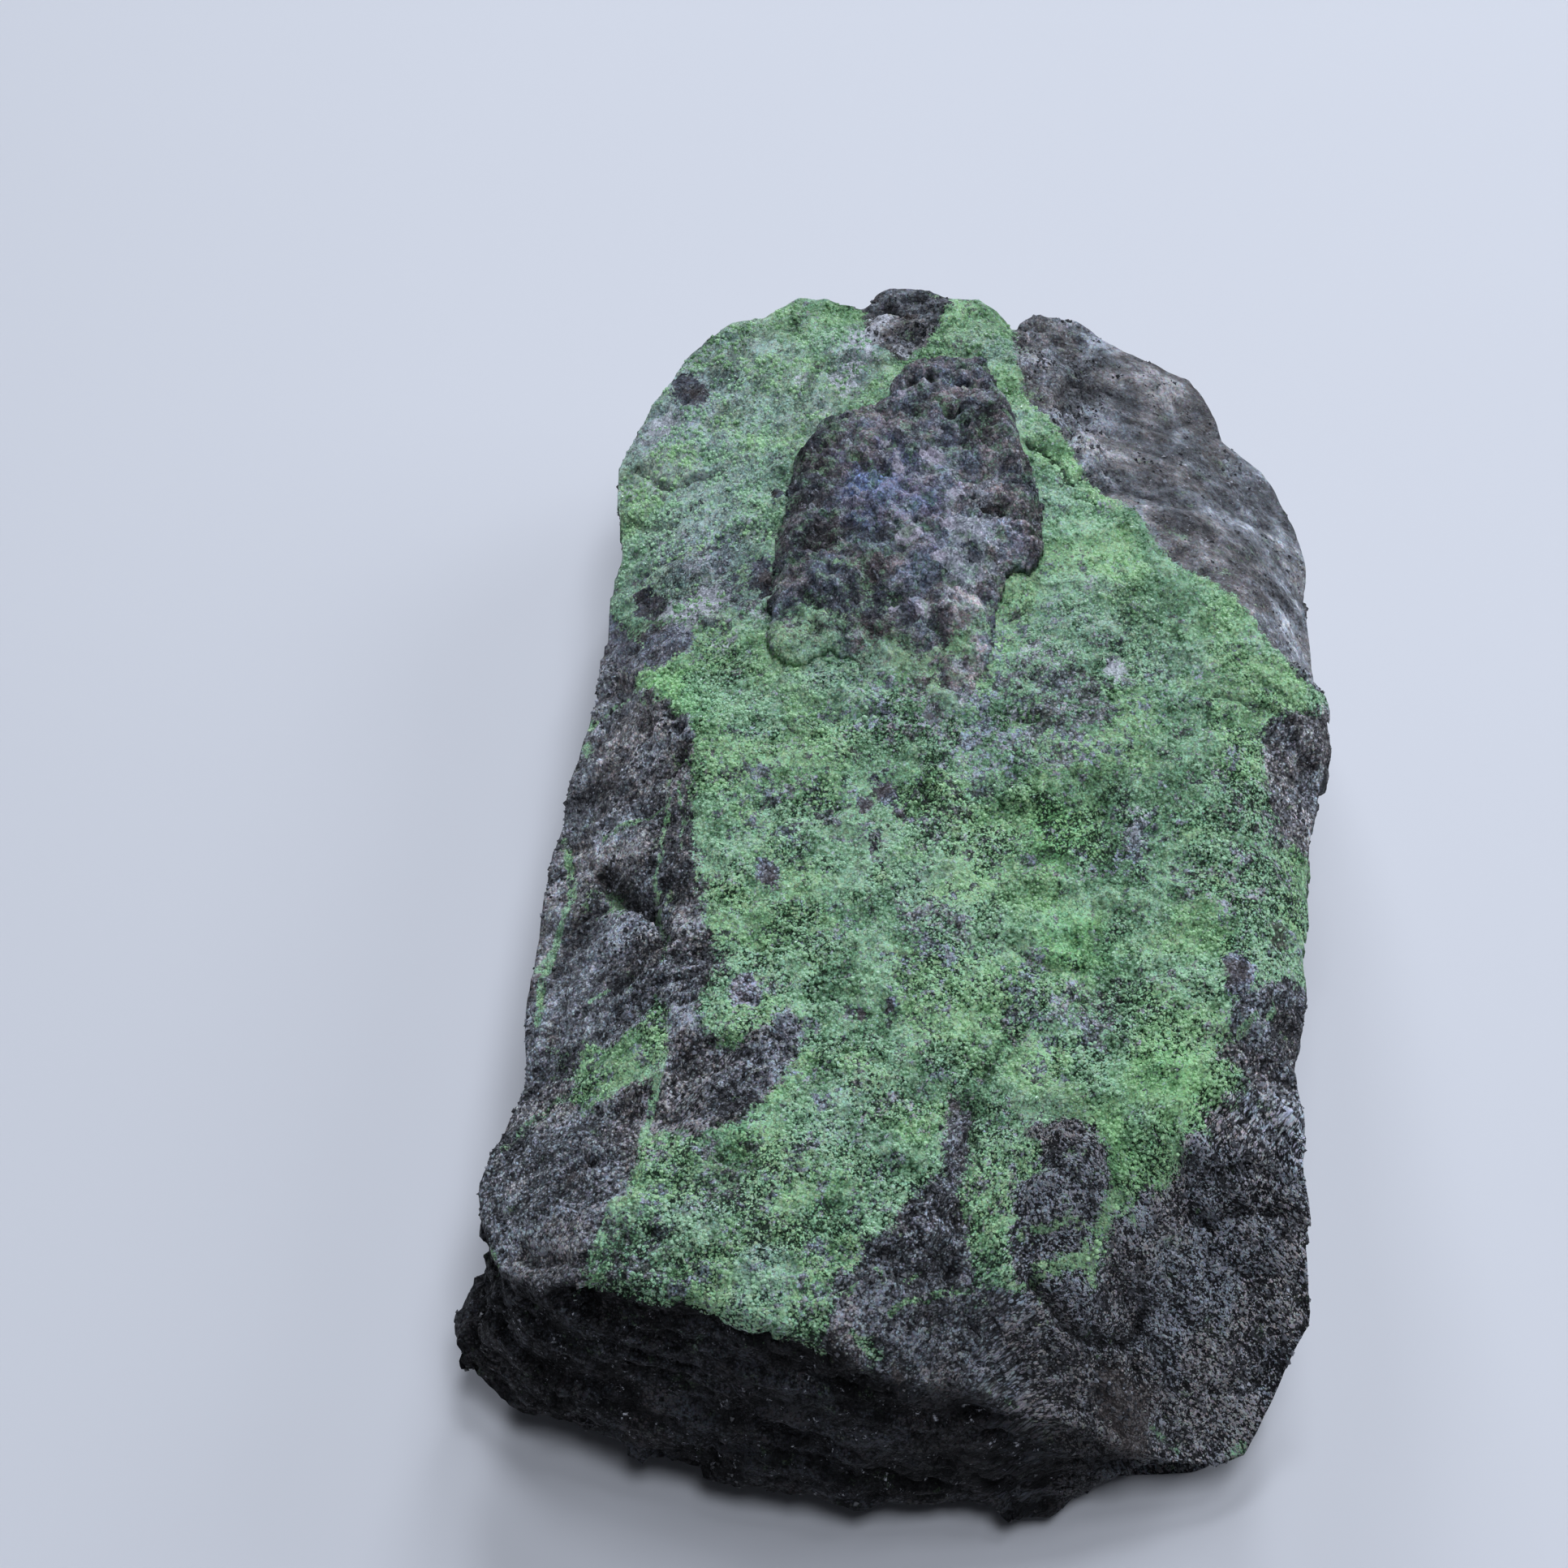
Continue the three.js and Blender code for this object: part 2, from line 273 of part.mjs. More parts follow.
// ---- a sheet inside an outline, with an upper and a lower surface ------------------------------
// A grid of triangles is cut along the outline; grid points close to the outline move onto it.
function sheetMesh(name, outline, cell, upper, lower, material) {
  const xs = outline.map((p) => p[0]), ys = outline.map((p) => p[1]);
  const x0 = Math.min(...xs) - 2 * cell, y0 = Math.min(...ys) - 2 * cell, rise = (cell * Math.sqrt(3)) / 2;
  const cols = Math.ceil((Math.max(...xs) - x0) / cell) + 3, rows = Math.ceil((Math.max(...ys) - y0) / rise) + 3;
  const grid = [];
  for (let r = 0; r < rows; r++) for (let c = 0; c < cols; c++) {
    let x = x0 + (c + (r % 2) * 0.5) * cell, y = y0 + r * rise, d = inside(outline, x, y);
    if (Math.abs(d) < 0.34 * cell) {
      for (let k = 0; k < 4; k++) {
        const e = 0.02, gx = (inside(outline, x + e, y) - inside(outline, x - e, y)) / (2 * e), gy = (inside(outline, x, y + e) - inside(outline, x, y - e)) / (2 * e), g = Math.hypot(gx, gy) || 1;
        x -= (d * gx) / g; y -= (d * gy) / g; d = inside(outline, x, y);
      }
      d = 0;
    }
    grid.push([x, y, d]);
  }
  const points = [], index = new Map(), faces = [];
  const vertex = (key, x, y) => { if (!index.has(key)) { index.set(key, points.length); points.push([x, y]); } return index.get(key); };
  const node = (i) => vertex('n' + i, grid[i][0], grid[i][1]);
  const cut = (i, j) => {
    const [a, b] = i < j ? [i, j] : [j, i], t = grid[a][2] / (grid[a][2] - grid[b][2]);
    return vertex('e' + a + '_' + b, grid[a][0] + t * (grid[b][0] - grid[a][0]), grid[a][1] + t * (grid[b][1] - grid[a][1]));
  };
  const flat = [];
  const emit = (poly) => { for (let k = 1; k + 1 < poly.length; k++) flat.push([poly[0], poly[k], poly[k + 1]]); };
  for (let r = 0; r + 1 < rows; r++) for (let c = 0; c + 1 < cols; c++) {
    const a = r * cols + c, b = a + 1, d = a + cols, e = d + 1;
    for (const tri of (r % 2 ? [[a, b, e], [a, e, d]] : [[a, b, d], [b, e, d]])) {
      const s = tri.map((i) => Math.sign(grid[i][2]));
      if (!s.some((v) => v > 0)) continue;
      const poly = [];
      for (let k = 0; k < 3; k++) {
        const i = tri[k], j = tri[(k + 1) % 3];
        if (s[k] >= 0) poly.push(node(i));
        if (s[k] * s[(k + 1) % 3] < 0) poly.push(cut(i, j));
      }
      if (poly.length > 2) emit(poly);
    }
  }
  // keep the largest connected patch, and drop corners that touch at one point only
  const pieceOf = flat.map((_, i) => i), find = (i) => { while (pieceOf[i] !== i) i = pieceOf[i]; return i; };
  const byEdge = new Map();
  flat.forEach((t, i) => t.forEach((p, k) => {
    const q = t[(k + 1) % 3], key = Math.min(p, q) + '_' + Math.max(p, q);
    if (byEdge.has(key)) pieceOf[find(i)] = find(byEdge.get(key)); else byEdge.set(key, i);
  }));
  const size = new Map();
  flat.forEach((_, i) => size.set(find(i), (size.get(find(i)) || 0) + 1));
  const main = [...size.entries()].sort((p, q) => q[1] - p[1])[0][0];
  const kept = flat.filter((_, i) => find(i) === main);
  const border = new Map();
  for (const t of kept) for (let k = 0; k < 3; k++) {
    const p = t[k], q = t[(k + 1) % 3];
    if (border.has(q + '_' + p)) border.delete(q + '_' + p); else border.set(p + '_' + q, [p, q]);
  }
  const used = [...new Set(kept.flat())], rank = new Map(used.map((p, i) => [p, i])), n = used.length;
  const top = used.map((p) => [points[p][0], points[p][1], upper(...points[p])]);
  const under = used.map((p) => [points[p][0], points[p][1], lower(...points[p])]);
  for (const t of kept) {
    const [a, b, c] = t.map((p) => rank.get(p));
    faces.push([a, b, c], [n + a, n + c, n + b]);
  }
  for (const [p, q] of border.values()) { const a = rank.get(p), b = rank.get(q); faces.push([a, n + a, b], [b, n + a, n + b]); }
  return meshOf(name, [...top, ...under], faces, material);
}

// ---- the specimen ------------------------------------------------------------------------------
const chromite = new THREE.MeshStandardMaterial({ name: 'chromite', color: 0x4a4e57, roughness: 0.55, metalness: 0.0 });
const uvarovite = new THREE.MeshStandardMaterial({ name: 'uvarovite', color: 0x678474, roughness: 0.45, metalness: 0.0 });
const scab = new THREE.MeshStandardMaterial({ name: 'chromite_scab', color: 0x4f5667, roughness: 0.55, metalness: 0.0 });

const specimen = new THREE.Group();
specimen.add(matrixMesh(chromite));
specimen.add(sheetMesh('uvarovite_crust', CRUST_OUTLINE, CRUST_CELL,
  (x, y) => surface(x, y) + CRUST_TOP * (0.5 + 0.5 * smooth(0, 1.5, inside(CRUST_OUTLINE, x, y))),
  (x, y) => surface(x, y) - CRUST_UNDER, uvarovite));
specimen.add(sheetMesh('chromite_slab', SLAB_OUTLINE, SLAB_CELL,
  (x, y) => surface(x, y) + CRUST_TOP + SLAB_GAP + SLAB_EDGE + (SLAB_THICK - SLAB_EDGE) * smooth(0, SLAB_SHOULDER, inside(SLAB_OUTLINE, x, y)) + ROUGH_TOP * noise(Math.round(3 * x), Math.round(3 * y), 3),
  (x, y) => surface(x, y) + CRUST_TOP + SLAB_GAP, scab));

export default specimen;
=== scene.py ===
# Looks for a hand specimen of uvarovite on chromite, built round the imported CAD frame.
# All lengths in the tables are millimetres in the row frame; meshes are made in metres.
import bpy
import math
import numpy as np
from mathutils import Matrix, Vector


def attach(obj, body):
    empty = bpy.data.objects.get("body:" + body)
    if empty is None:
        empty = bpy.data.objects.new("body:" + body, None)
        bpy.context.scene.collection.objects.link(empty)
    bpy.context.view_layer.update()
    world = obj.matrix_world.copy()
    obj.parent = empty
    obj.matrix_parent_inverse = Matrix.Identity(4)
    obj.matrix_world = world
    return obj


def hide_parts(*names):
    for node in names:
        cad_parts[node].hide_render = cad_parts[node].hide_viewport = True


MM = 0.001
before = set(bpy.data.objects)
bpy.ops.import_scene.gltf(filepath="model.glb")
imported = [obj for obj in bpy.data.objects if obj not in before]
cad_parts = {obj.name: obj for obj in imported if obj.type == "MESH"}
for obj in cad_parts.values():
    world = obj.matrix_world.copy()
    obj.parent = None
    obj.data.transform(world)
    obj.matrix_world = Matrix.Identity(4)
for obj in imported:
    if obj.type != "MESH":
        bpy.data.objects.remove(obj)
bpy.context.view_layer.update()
SEED = 71
LIGHT = 0.98

# ---------------------------------------------------------------- given tables
RIM = [
  (-27.91, -37.39, 16), (-28.23, -35.97, 16.2), (-28.61, -34.84, 16.2), (-28.92, -33.21, 16), (-28.92, -32.12, 16), (-28.5, -31.21, 16), (-28.21, -29.86, 16),
  (-27.51, -28.37, 15.8), (-26.87, -26.31, 15.8), (-26.35, -24.73, 15.8), (-26.32, -23.08, 15.8), (-26.57, -20.24, 15.8), (-26.57, -17.82, 15.8), (-26.19, -15.44, 15.8),
  (-25.97, -12.96, 15.8), (-25.91, -10.84, 15.6), (-25.69, -8.36, 15.5), (-25.4, -5.85, 15.5), (-24.68, -2.81, 15.5), (-24.43, 0.93, 15.5), (-23.88, 3.05, 15.5),
  (-23.33, 5.71, 15.6), (-22.77, 8.24, 15.8), (-22.66, 10.35, 16), (-22.07, 13.73, 16), (-22.04, 16.54, 16), (-21.81, 18.91, 16), (-21.24, 21.8, 16),
  (-21.45, 24.8, 16), (-21.84, 27.85, 16), (-21.75, 30.87, 16), (-20.64, 33.72, 16.3), (-19.34, 36.67, 16.8), (-18.25, 38.39, 17), (-16.91, 40.89, 17.4),
  (-15.05, 43.14, 17.8), (-13.22, 44.25, 18.2), (-10.89, 44.38, 18.6), (-9.5, 45.52, 18.8), (-8.11, 46.4, 19), (-6.28, 45.83, 19.2), (-4.46, 44.9, 19.4),
  (-3.27, 44.63, 19.4), (-2.63, 45.08, 19.4), (-2.11, 46.04, 19.6), (-1.16, 46.5, 19.6), (0.74, 46.41, 19.6), (2.32, 46.25, 19.4), (3.25, 45.73, 19.3),
  (4.52, 45.65, 19.2), (5.8, 46.04, 19), (6.42, 45.42, 18.9), (7.36, 44.74, 18.6), (7.98, 44.15, 18.3), (8.41, 43.56, 18), (8.83, 44.06, 17.6),
  (9.22, 45.1, 17.2), (10.02, 45.85, 17), (11.01, 46.32, 16.8), (11.99, 46.53, 16.6), (13.88, 46.6, 16), (15.75, 45.12, 15.5), (17.29, 43.9, 15.2),
  (18.92, 43.21, 15), (20.73, 42.27, 14.6), (22.39, 41.86, 14.2), (23.42, 40.11, 14), (24.15, 37.93, 13.9), (24.44, 35.24, 13.9), (25.73, 33.97, 13.7),
  (27.26, 32.63, 13.5), (28.08, 31.19, 13.4), (28.6, 29.34, 13.4), (29.26, 27.17, 13.4), (29.62, 25.02, 13.4), (29.77, 22.89, 13.5), (29.54, 20.85, 13.8),
  (28.85, 18.65, 14.3), (29.04, 17.2, 14.6), (28.92, 14.33, 15.3), (28.64, 10.47, 16.5), (28.36, 7.63, 18), (28.49, 5.04, 20.5), (28.5, 3.56, 21.5),
  (28.34, 1.96, 21.5), (28.57, 0.67, 20.5), (28.6, -0.23, 20), (28.18, -1.7, 19.5), (27.68, -2.19, 19.5), (27.2, -4.32, 19.5), (26.67, -6.35, 19.5),
  (26.36, -7.87, 19.5), (25.77, -11.38, 19.8), (25.7, -13.33, 19.8), (25.06, -16.08, 20.2), (24.79, -18.12, 20.4), (24.86, -19.93, 20.2), (24.82, -21.21, 20),
  (24.42, -22.92, 19.8), (23.96, -24.63, 19.6), (23.77, -25.88, 19.4), (24.03, -27.49, 19), (24.2, -29.02, 18.6), (24.13, -30.61, 18.3), (23.77, -32.38, 18.2),
  (23.92, -33.76, 17.6), (24.11, -34.71, 17), (24.28, -35.55, 16.2), (23.87, -35.85, 16), (23.93, -37.05, 15), (24.18, -38.08, 13.8), (24.34, -39.41, 12.3),
  (24.29, -40.15, 11.3), (23.56, -40.89, 10.3), (23.02, -41.69, 9.4), (22.52, -42.63, 8), (21.79, -43.81, 6.6), (21.1, -44.87, 5.4), (20.43, -45.74, 4.6),
  (18.59, -46.63, 5), (13.07, -47.34, 8), (7.63, -48.03, 12), (2.39, -48.22, 15.6), (-1.19, -48.14, 18.2), (-4.7, -48.1, 20.6), (-7.65, -47.15, 22.2),
  (-10.09, -46.82, 22.8), (-12.54, -45.88, 22.9), (-15.01, -44.77, 22.8), (-17.49, -44.21, 22.6), (-19.49, -43.6, 22.3), (-21.02, -43.03, 21.8), (-22.59, -42.58, 20.5),
  (-24.19, -41.84, 19.2), (-25.85, -40.18, 18), (-27.27, -38.74, 16.8),
]
SURFACE = [
  (-14.05, -2.95, 23.6), (-7.43, -1.39, 24.3), (-1.94, -2.96, 24.5), (3.48, -5.14, 24.6), (9.12, -1.63, 24.6), (14.66, -1.47, 24.4), (20.36, 0.28, 24),
  (23.49, 0.61, 23.6), (-13.98, -9.11, 23.5), (-7.47, -9.79, 24.4), (0.56, -12.04, 24.7), (8.61, -11.97, 24.6), (16.85, -9.72, 24.3), (22.47, -7.89, 23.7),
  (-12.82, -16.68, 23.8), (-7.52, -18.34, 24.3), (0.35, -19.84, 24.6), (8.22, -20.27, 24.3), (15.19, -18.27, 24.2), (21.76, -16.46, 23.5), (-12.75, -23.73, 23.8),
  (-4.97, -25.81, 24.1), (2.75, -26.63, 24.4), (10.52, -26.36, 24), (17.44, -24.22, 23.6), (21.79, -23.05, 22.8), (-14.24, -29.39, 23), (-10.65, -28.43, 23.4),
  (-8.84, -24.92, 23.7), (-15.16, -35.91, 22.9), (-10.12, -35.1, 23.5), (-3.54, -33.64, 24), (0.08, -30.64, 24), (-18.6, -39.79, 22.6), (-13.58, -41.29, 23.2),
  (-7.63, -41.4, 23.4), (-4.63, -39.23, 23.6), (-19.54, -41.9, 22.3), (-12.55, -44.55, 23), (-5.68, -45.55, 22.8), (-2.68, -42.36, 23.1), (-0.13, -39.06, 23.3),
  (2.03, -33.51, 23.8), (5.19, -30.58, 23.9), (7.6, -34.32, 23.2), (11.74, -33.01, 23), (15.44, -31.56, 22.6), (18.29, -27.91, 22.6), (21.68, -26.37, 21.2),
  (-2.71, -45.89, 21.4), (-0.18, -43.65, 21.4), (3.36, -41.84, 21.2), (7.49, -39.77, 20.6), (10.1, -38.5, 20.4), (12.75, -36.28, 20.6), (15.45, -33.97, 20.7),
  (19.3, -31.25, 20.2), (22.61, -30.5, 19), (-0.18, -46.69, 18.8), (4.99, -44.49, 16.8), (9.17, -42.8, 15.8), (12.92, -41.1, 14.8), (17.26, -37.64, 14.9),
  (21.05, -34.6, 15.8), (5.03, -46.53, 14.3), (10.31, -45.78, 11.8), (15.74, -43.22, 10.2), (20.09, -40.05, 10.8), (13.05, -46.55, 8.9), (18.57, -44.8, 6.6),
  (26.02, -0.18, 22.8), (25.5, -6.67, 22.1), (24.31, -13.54, 22.2), (23.78, -19.81, 21.8), (22.93, -24.36, 21), (9.09, 39.79, 19.8), (9.55, 33.97, 21.3),
  (10.21, 29.72, 22.2), (11.77, 25.84, 22.8), (13.34, 22.32, 23.1), (16.06, 18.94, 23.3), (18.07, 14.77, 23.6), (21.38, 12.55, 23.5), (23.94, 8.85, 23.4),
  (25.92, 5.3, 23.2), (14.13, 40.35, 17.5), (17.62, 35.99, 17.5), (20.28, 30.4, 18), (22.94, 25.43, 18), (24.86, 20.12, 18.5), (26.03, 14.51, 19.5),
  (12.86, 31.66, 20.2), (16.21, 27.2, 20.5), (19.38, 21.76, 21.1), (22.63, 17.87, 21), (11.73, 15.27, 23.9), (15.34, 8.91, 24.2), (9.57, 7.25, 24.4),
  (19.69, 6.1, 24), (10.26, 20.25, 23.6), (-1.59, 13.82, 23.8), (-1.41, 22.22, 23.2), (1.81, 31.3, 22.3), (-4.58, 5.85, 24.3), (4.14, 13.46, 24.2),
  (4.45, 21.85, 23.6), (-0.95, 41.82, 20.4), (4.04, 41.92, 20.3), (-7.19, 41.92, 20.3), (-10.3, 38.31, 20.4), (-13.38, 36.31, 19.8), (-4.78, 35.48, 21.5),
  (-8.46, 32.37, 21.2), (-13.3, 28.6, 19.9), (-15.81, 33.01, 18.8), (-10.86, 23.71, 21.6), (-15.06, 23.95, 19.6), (-18.24, 30.59, 17.8), (-18.71, 24.16, 17.6),
  (-19.13, 17.22, 18.2), (-15.54, 17.02, 20.2), (-12, 17.16, 21.8), (-13.1, 10.64, 22.2), (-17.17, 10.75, 20.3), (-19.46, 8.58, 19.3), (-10.77, 3.42, 23.7),
  (-15.3, 4.58, 22.3), (-18.77, 5.34, 20.5), (-16.94, 1.67, 22.3), (-15.74, -1.92, 23.2), (-16.5, -5.82, 22.8), (-16.93, -11.37, 22.9), (-14.95, -16.46, 23.5),
  (-15, -20.28, 23.4), (-16.95, -23.05, 22.8), (-17.26, -28.39, 22.4), (-18.3, -32.57, 22.3), (-19.22, -36.07, 22.2), (-20.61, -40.02, 22), (-20.47, 2.97, 18.9),
  (-20.33, -1.52, 19.1), (-20.72, -7.23, 19.2), (-20.54, -12.77, 19.3), (-20.91, -18.14, 19.4), (-21.29, -23.23, 19.3), (-22.19, -27.55, 19.2), (-23.07, -31.84, 19.2),
  (-23.96, -35.44, 19.2), (-24.33, -38.84, 19),
]
CRUST = [
  (-20.14, 7.64), (-21.03, 12.02), (-21.01, 14.91), (-20.64, 17.04), (-20.19, 19.9), (-20.44, 24.31), (-20.71, 27.43), (-20.53, 29.84), (-19.54, 32.41),
  (-18.23, 35.21), (-17.02, 37.17), (-15.8, 39.28), (-14.19, 40.97), (-12.51, 42.59), (-10.31, 42.24), (-8.12, 43.75), (-5.3, 43.24), (-3.45, 41.92),
  (-2.39, 38.96), (-0.45, 37.29), (1.44, 38.86), (3.4, 41.58), (5.69, 43.48), (7.12, 42.71), (7.9, 39.9), (8.44, 36.34), (8.8, 32.79),
  (9.93, 30.19), (10.91, 28.3), (11.96, 25.92), (12.54, 22.91), (14.34, 21.37), (16.06, 18.95), (18.07, 14.77), (21.38, 12.55), (23.95, 8.87),
  (25.78, 5.17), (26.88, 3.27), (26.1, 1.2), (24.03, 0.3), (23.39, -1.17), (23.24, -4.78), (23.39, -6.4), (24.22, -8.28), (24.7, -10.05),
  (23.99, -13.74), (23.67, -16.16), (23.51, -17.87), (22.63, -20.58), (20.97, -22.57), (19.38, -23.18), (19.08, -23.97), (19.08, -25.15), (18.56, -26.86),
  (20.46, -27.34), (20.14, -28.21), (19.57, -28.72), (18.43, -29.81), (17.16, -30.28), (17.8, -31.7), (16.03, -32.61), (15.88, -33.54), (15.13, -34.59),
  (14.37, -35.12), (13.12, -35.27), (12.64, -36.11), (11.57, -37.17), (10.84, -38.41), (10.38, -39.34), (9.93, -40.24), (9.69, -40.86), (9.15, -40.7),
  (9.39, -40), (9.84, -38.92), (10.62, -37.61), (11.15, -36.4), (11.12, -34.83), (10.74, -33.79), (10.18, -32.26), (8.24, -32.11), (5.86, -33.07),
  (6.84, -34.21), (6.73, -35.95), (5.18, -36.61), (5.04, -34.77), (4.64, -37.67), (4.7, -40.37), (4.77, -42.51), (2.35, -42.98), (1.85, -40.84),
  (1.67, -37.24), (2.15, -34.7), (2.39, -31.66), (1.26, -30.35), (0.35, -35.66), (-0.84, -37.34), (-2.03, -39.06), (-3.75, -40.67), (-4.56, -41.41),
  (-4.81, -42.23), (-5.81, -43.23), (-6.36, -44.17), (-6.95, -45.06), (-6.71, -46.29), (-7.35, -46.11), (-8.23, -46.47), (-8.48, -45.18), (-9.21, -45.93),
  (-9.85, -46.48), (-10.34, -46.73), (-11.07, -46.64), (-11.95, -46.12), (-11.71, -45.67), (-11.96, -45.12), (-12.85, -44.86), (-13.89, -44.39), (-15.03, -43.77),
  (-16.43, -43.05), (-17.25, -43.91), (-18.04, -43.85), (-19.57, -42.75), (-20.27, -41.29), (-21.18, -41.38), (-20.69, -39.39), (-20.19, -37.7), (-19.44, -37.27),
  (-18.74, -34.94), (-18.29, -32.69), (-16.24, -32.46), (-14.7, -32.99), (-12.67, -32.53), (-11.15, -31.42), (-9.62, -29.71), (-8.53, -26.68), (-8.17, -25.61),
  (-8.63, -23.63), (-9.62, -24.31), (-10.66, -25.48), (-12.21, -26.34), (-13.77, -25.99), (-14.81, -25.21), (-15.1, -23.52), (-14.34, -21.86), (-13.3, -20.54),
  (-13.85, -19.16), (-14.68, -16.51), (-15, -13.26), (-15.31, -10.44), (-15.64, -7.46), (-15.97, -4.62), (-15.72, -2.61), (-15.77, -0.08), (-16.94, 1.68),
  (-18.77, 5.35),
]
SLAB = [
  (2.57, 37.58), (6.19, 36.29), (6.61, 32.25), (7.66, 29.19), (8.03, 27.23), (8.15, 24.93), (8.78, 21.96), (9.42, 19.49), (9.2, 16.48),
  (8.91, 14.06), (8.48, 12.5), (8, 12), (7.05, 12.46), (6.23, 11.96), (5.7, 8.81), (4.99, 5), (4.1, 2.12), (3.79, 1.11),
  (2.96, -0.45), (1.35, -1.28), (0.75, -0.99), (-0.24, 1.37), (-1.13, 3.42), (-2.86, 3.24), (-3.49, 2.24), (-3.98, 2.48), (-4.07, 4.11),
  (-4.73, 4.83), (-6.12, 5.4), (-7.24, 4.81), (-7.69, 4.24), (-8.31, 4.15), (-9.42, 4.62), (-10.38, 5.52), (-10.66, 6.47), (-10.05, 8.87),
  (-10.28, 10.74), (-10.23, 13.09), (-10.06, 15.41), (-10.01, 18.02), (-9.43, 19.58), (-9.07, 21.89), (-8.78, 24.35), (-8.06, 26.57), (-7.22, 28.28),
  (-6.37, 29.34), (-3.67, 30.07), (-1.85, 31.14), (-0.87, 34.42), (0.7, 36.56),
]
PATCHES = [[
  (11.48, -35.44), (12.43, -35.65), (12.05, -36.7), (11.53, -37.6), (11.17, -38.5), (10.76, -39.34), (10.19, -40), (10.11, -40.69), (9.37, -40.94),
  (9.2, -40.48), (8.35, -40.61), (7.31, -40.93), (6.58, -41.31), (6.05, -41.05), (6.88, -40.49), (8.13, -40.18), (8.96, -39.82), (9.58, -39.12),
  (9.99, -38.22), (10.51, -37.24), (10.94, -36.32),
],
[
  (-17.43, -21.15), (-16.74, -23.25), (-16.89, -26.43), (-17.29, -27.28), (-18.42, -28.36), (-19.9, -28.33), (-20.62, -29.05), (-22.03, -28.87), (-23.31, -27.06),
  (-23.16, -25.59), (-22.55, -24.68), (-23.03, -23.59), (-22.28, -23.19), (-20.16, -24.19), (-19.09, -23.38), (-18.05, -22.2),
],
[
  (19.67, -45.25), (20.8, -44.99), (20.64, -45.96), (19.99, -46.47), (19.35, -46.19),
],
[
  (-21.39, -9.44), (-20.73, -10.3), (-19.63, -12.9), (-19.96, -13.46), (-21.01, -12.2), (-21.4, -10.78),
],
[
  (20.61, -19.24), (22.17, -18.13), (24.08, -17.23), (23.52, -19.99), (21.87, -21.59), (20.68, -21.07),
]]
WINDOWS = [[
  (-22.88, 16.1), (-22.02, 16.14), (-21.24, 14.68), (-20.19, 12.19), (-18.89, 9.23), (-19.45, 8.39), (-20.62, 7.46), (-21.93, 7.02), (-22.81, 9.3),
  (-23.15, 13.52),
],
[
  (-12.77, -21.62), (-11.83, -21.28), (-10.77, -22.05), (-10.61, -23.26), (-11.44, -23.92), (-12.49, -23.5),
],
[
  (-3.42, -5.77), (-2.54, -5.44), (-1.79, -6.37), (-1.71, -7.56), (-2.37, -7.9), (-3.11, -7.19),
],
[
  (-4.3, -6.81), (-3.55, -7.04), (-3.18, -8.03), (-3.89, -8.43), (-4.42, -7.72),
],
[
  (-1.72, -8.05), (-1.17, -7.92), (-0.87, -9.03), (-1.37, -9.44), (-1.74, -8.89),
],
[
  (-3.6, -10.23), (-2.95, -10.11), (-2.86, -11.33), (-3.51, -11.59),
],
[
  (-10.92, -12.67), (-10.06, -12.46), (-9.52, -13.43), (-10.16, -14.56), (-10.91, -14),
],
[
  (-4.63, -23.89), (-4.11, -23.8), (-3.92, -24.67), (-4.54, -24.75),
],
[
  (-2.76, -23.75), (-2.24, -23.65), (-2.05, -24.39), (-2.67, -24.48),
],
[
  (19.04, -20.21), (20.03, -19.72), (20.95, -20.3), (20.95, -21.9), (20.14, -22.84), (19.2, -22.66),
],
[
  (-1.79, 46.42), (1.38, 46.75), (1.57, 42.71), (0.46, 39), (-0.79, 38.59), (-1.45, 41.84),
],
[
  (-18.07, 39.11), (-16.68, 39.03), (-15.26, 36.93), (-15.1, 34.77), (-16.46, 34.59), (-17.75, 36.05),
],
[
  (-11.41, 16.09), (-10.12, 15.55), (-10.23, 12.37), (-11.04, 12.06), (-11.63, 13.95),
],
[
  (-10.38, 23.36), (-9.55, 23.3), (-9.43, 21.85), (-10.14, 21.53),
],
[
  (-20.33, 16.81), (-19.24, 16.79), (-18, 15.2), (-17.83, 13.42), (-18.78, 13.2), (-19.91, 14.68),
],
[
  (-19.57, 11.65), (-18.63, 12.19), (-16.71, 11.24), (-15.52, 9.84), (-15.83, 8.17), (-17.34, 8.31), (-18.36, 7.47), (-19.11, 8.63),
]]
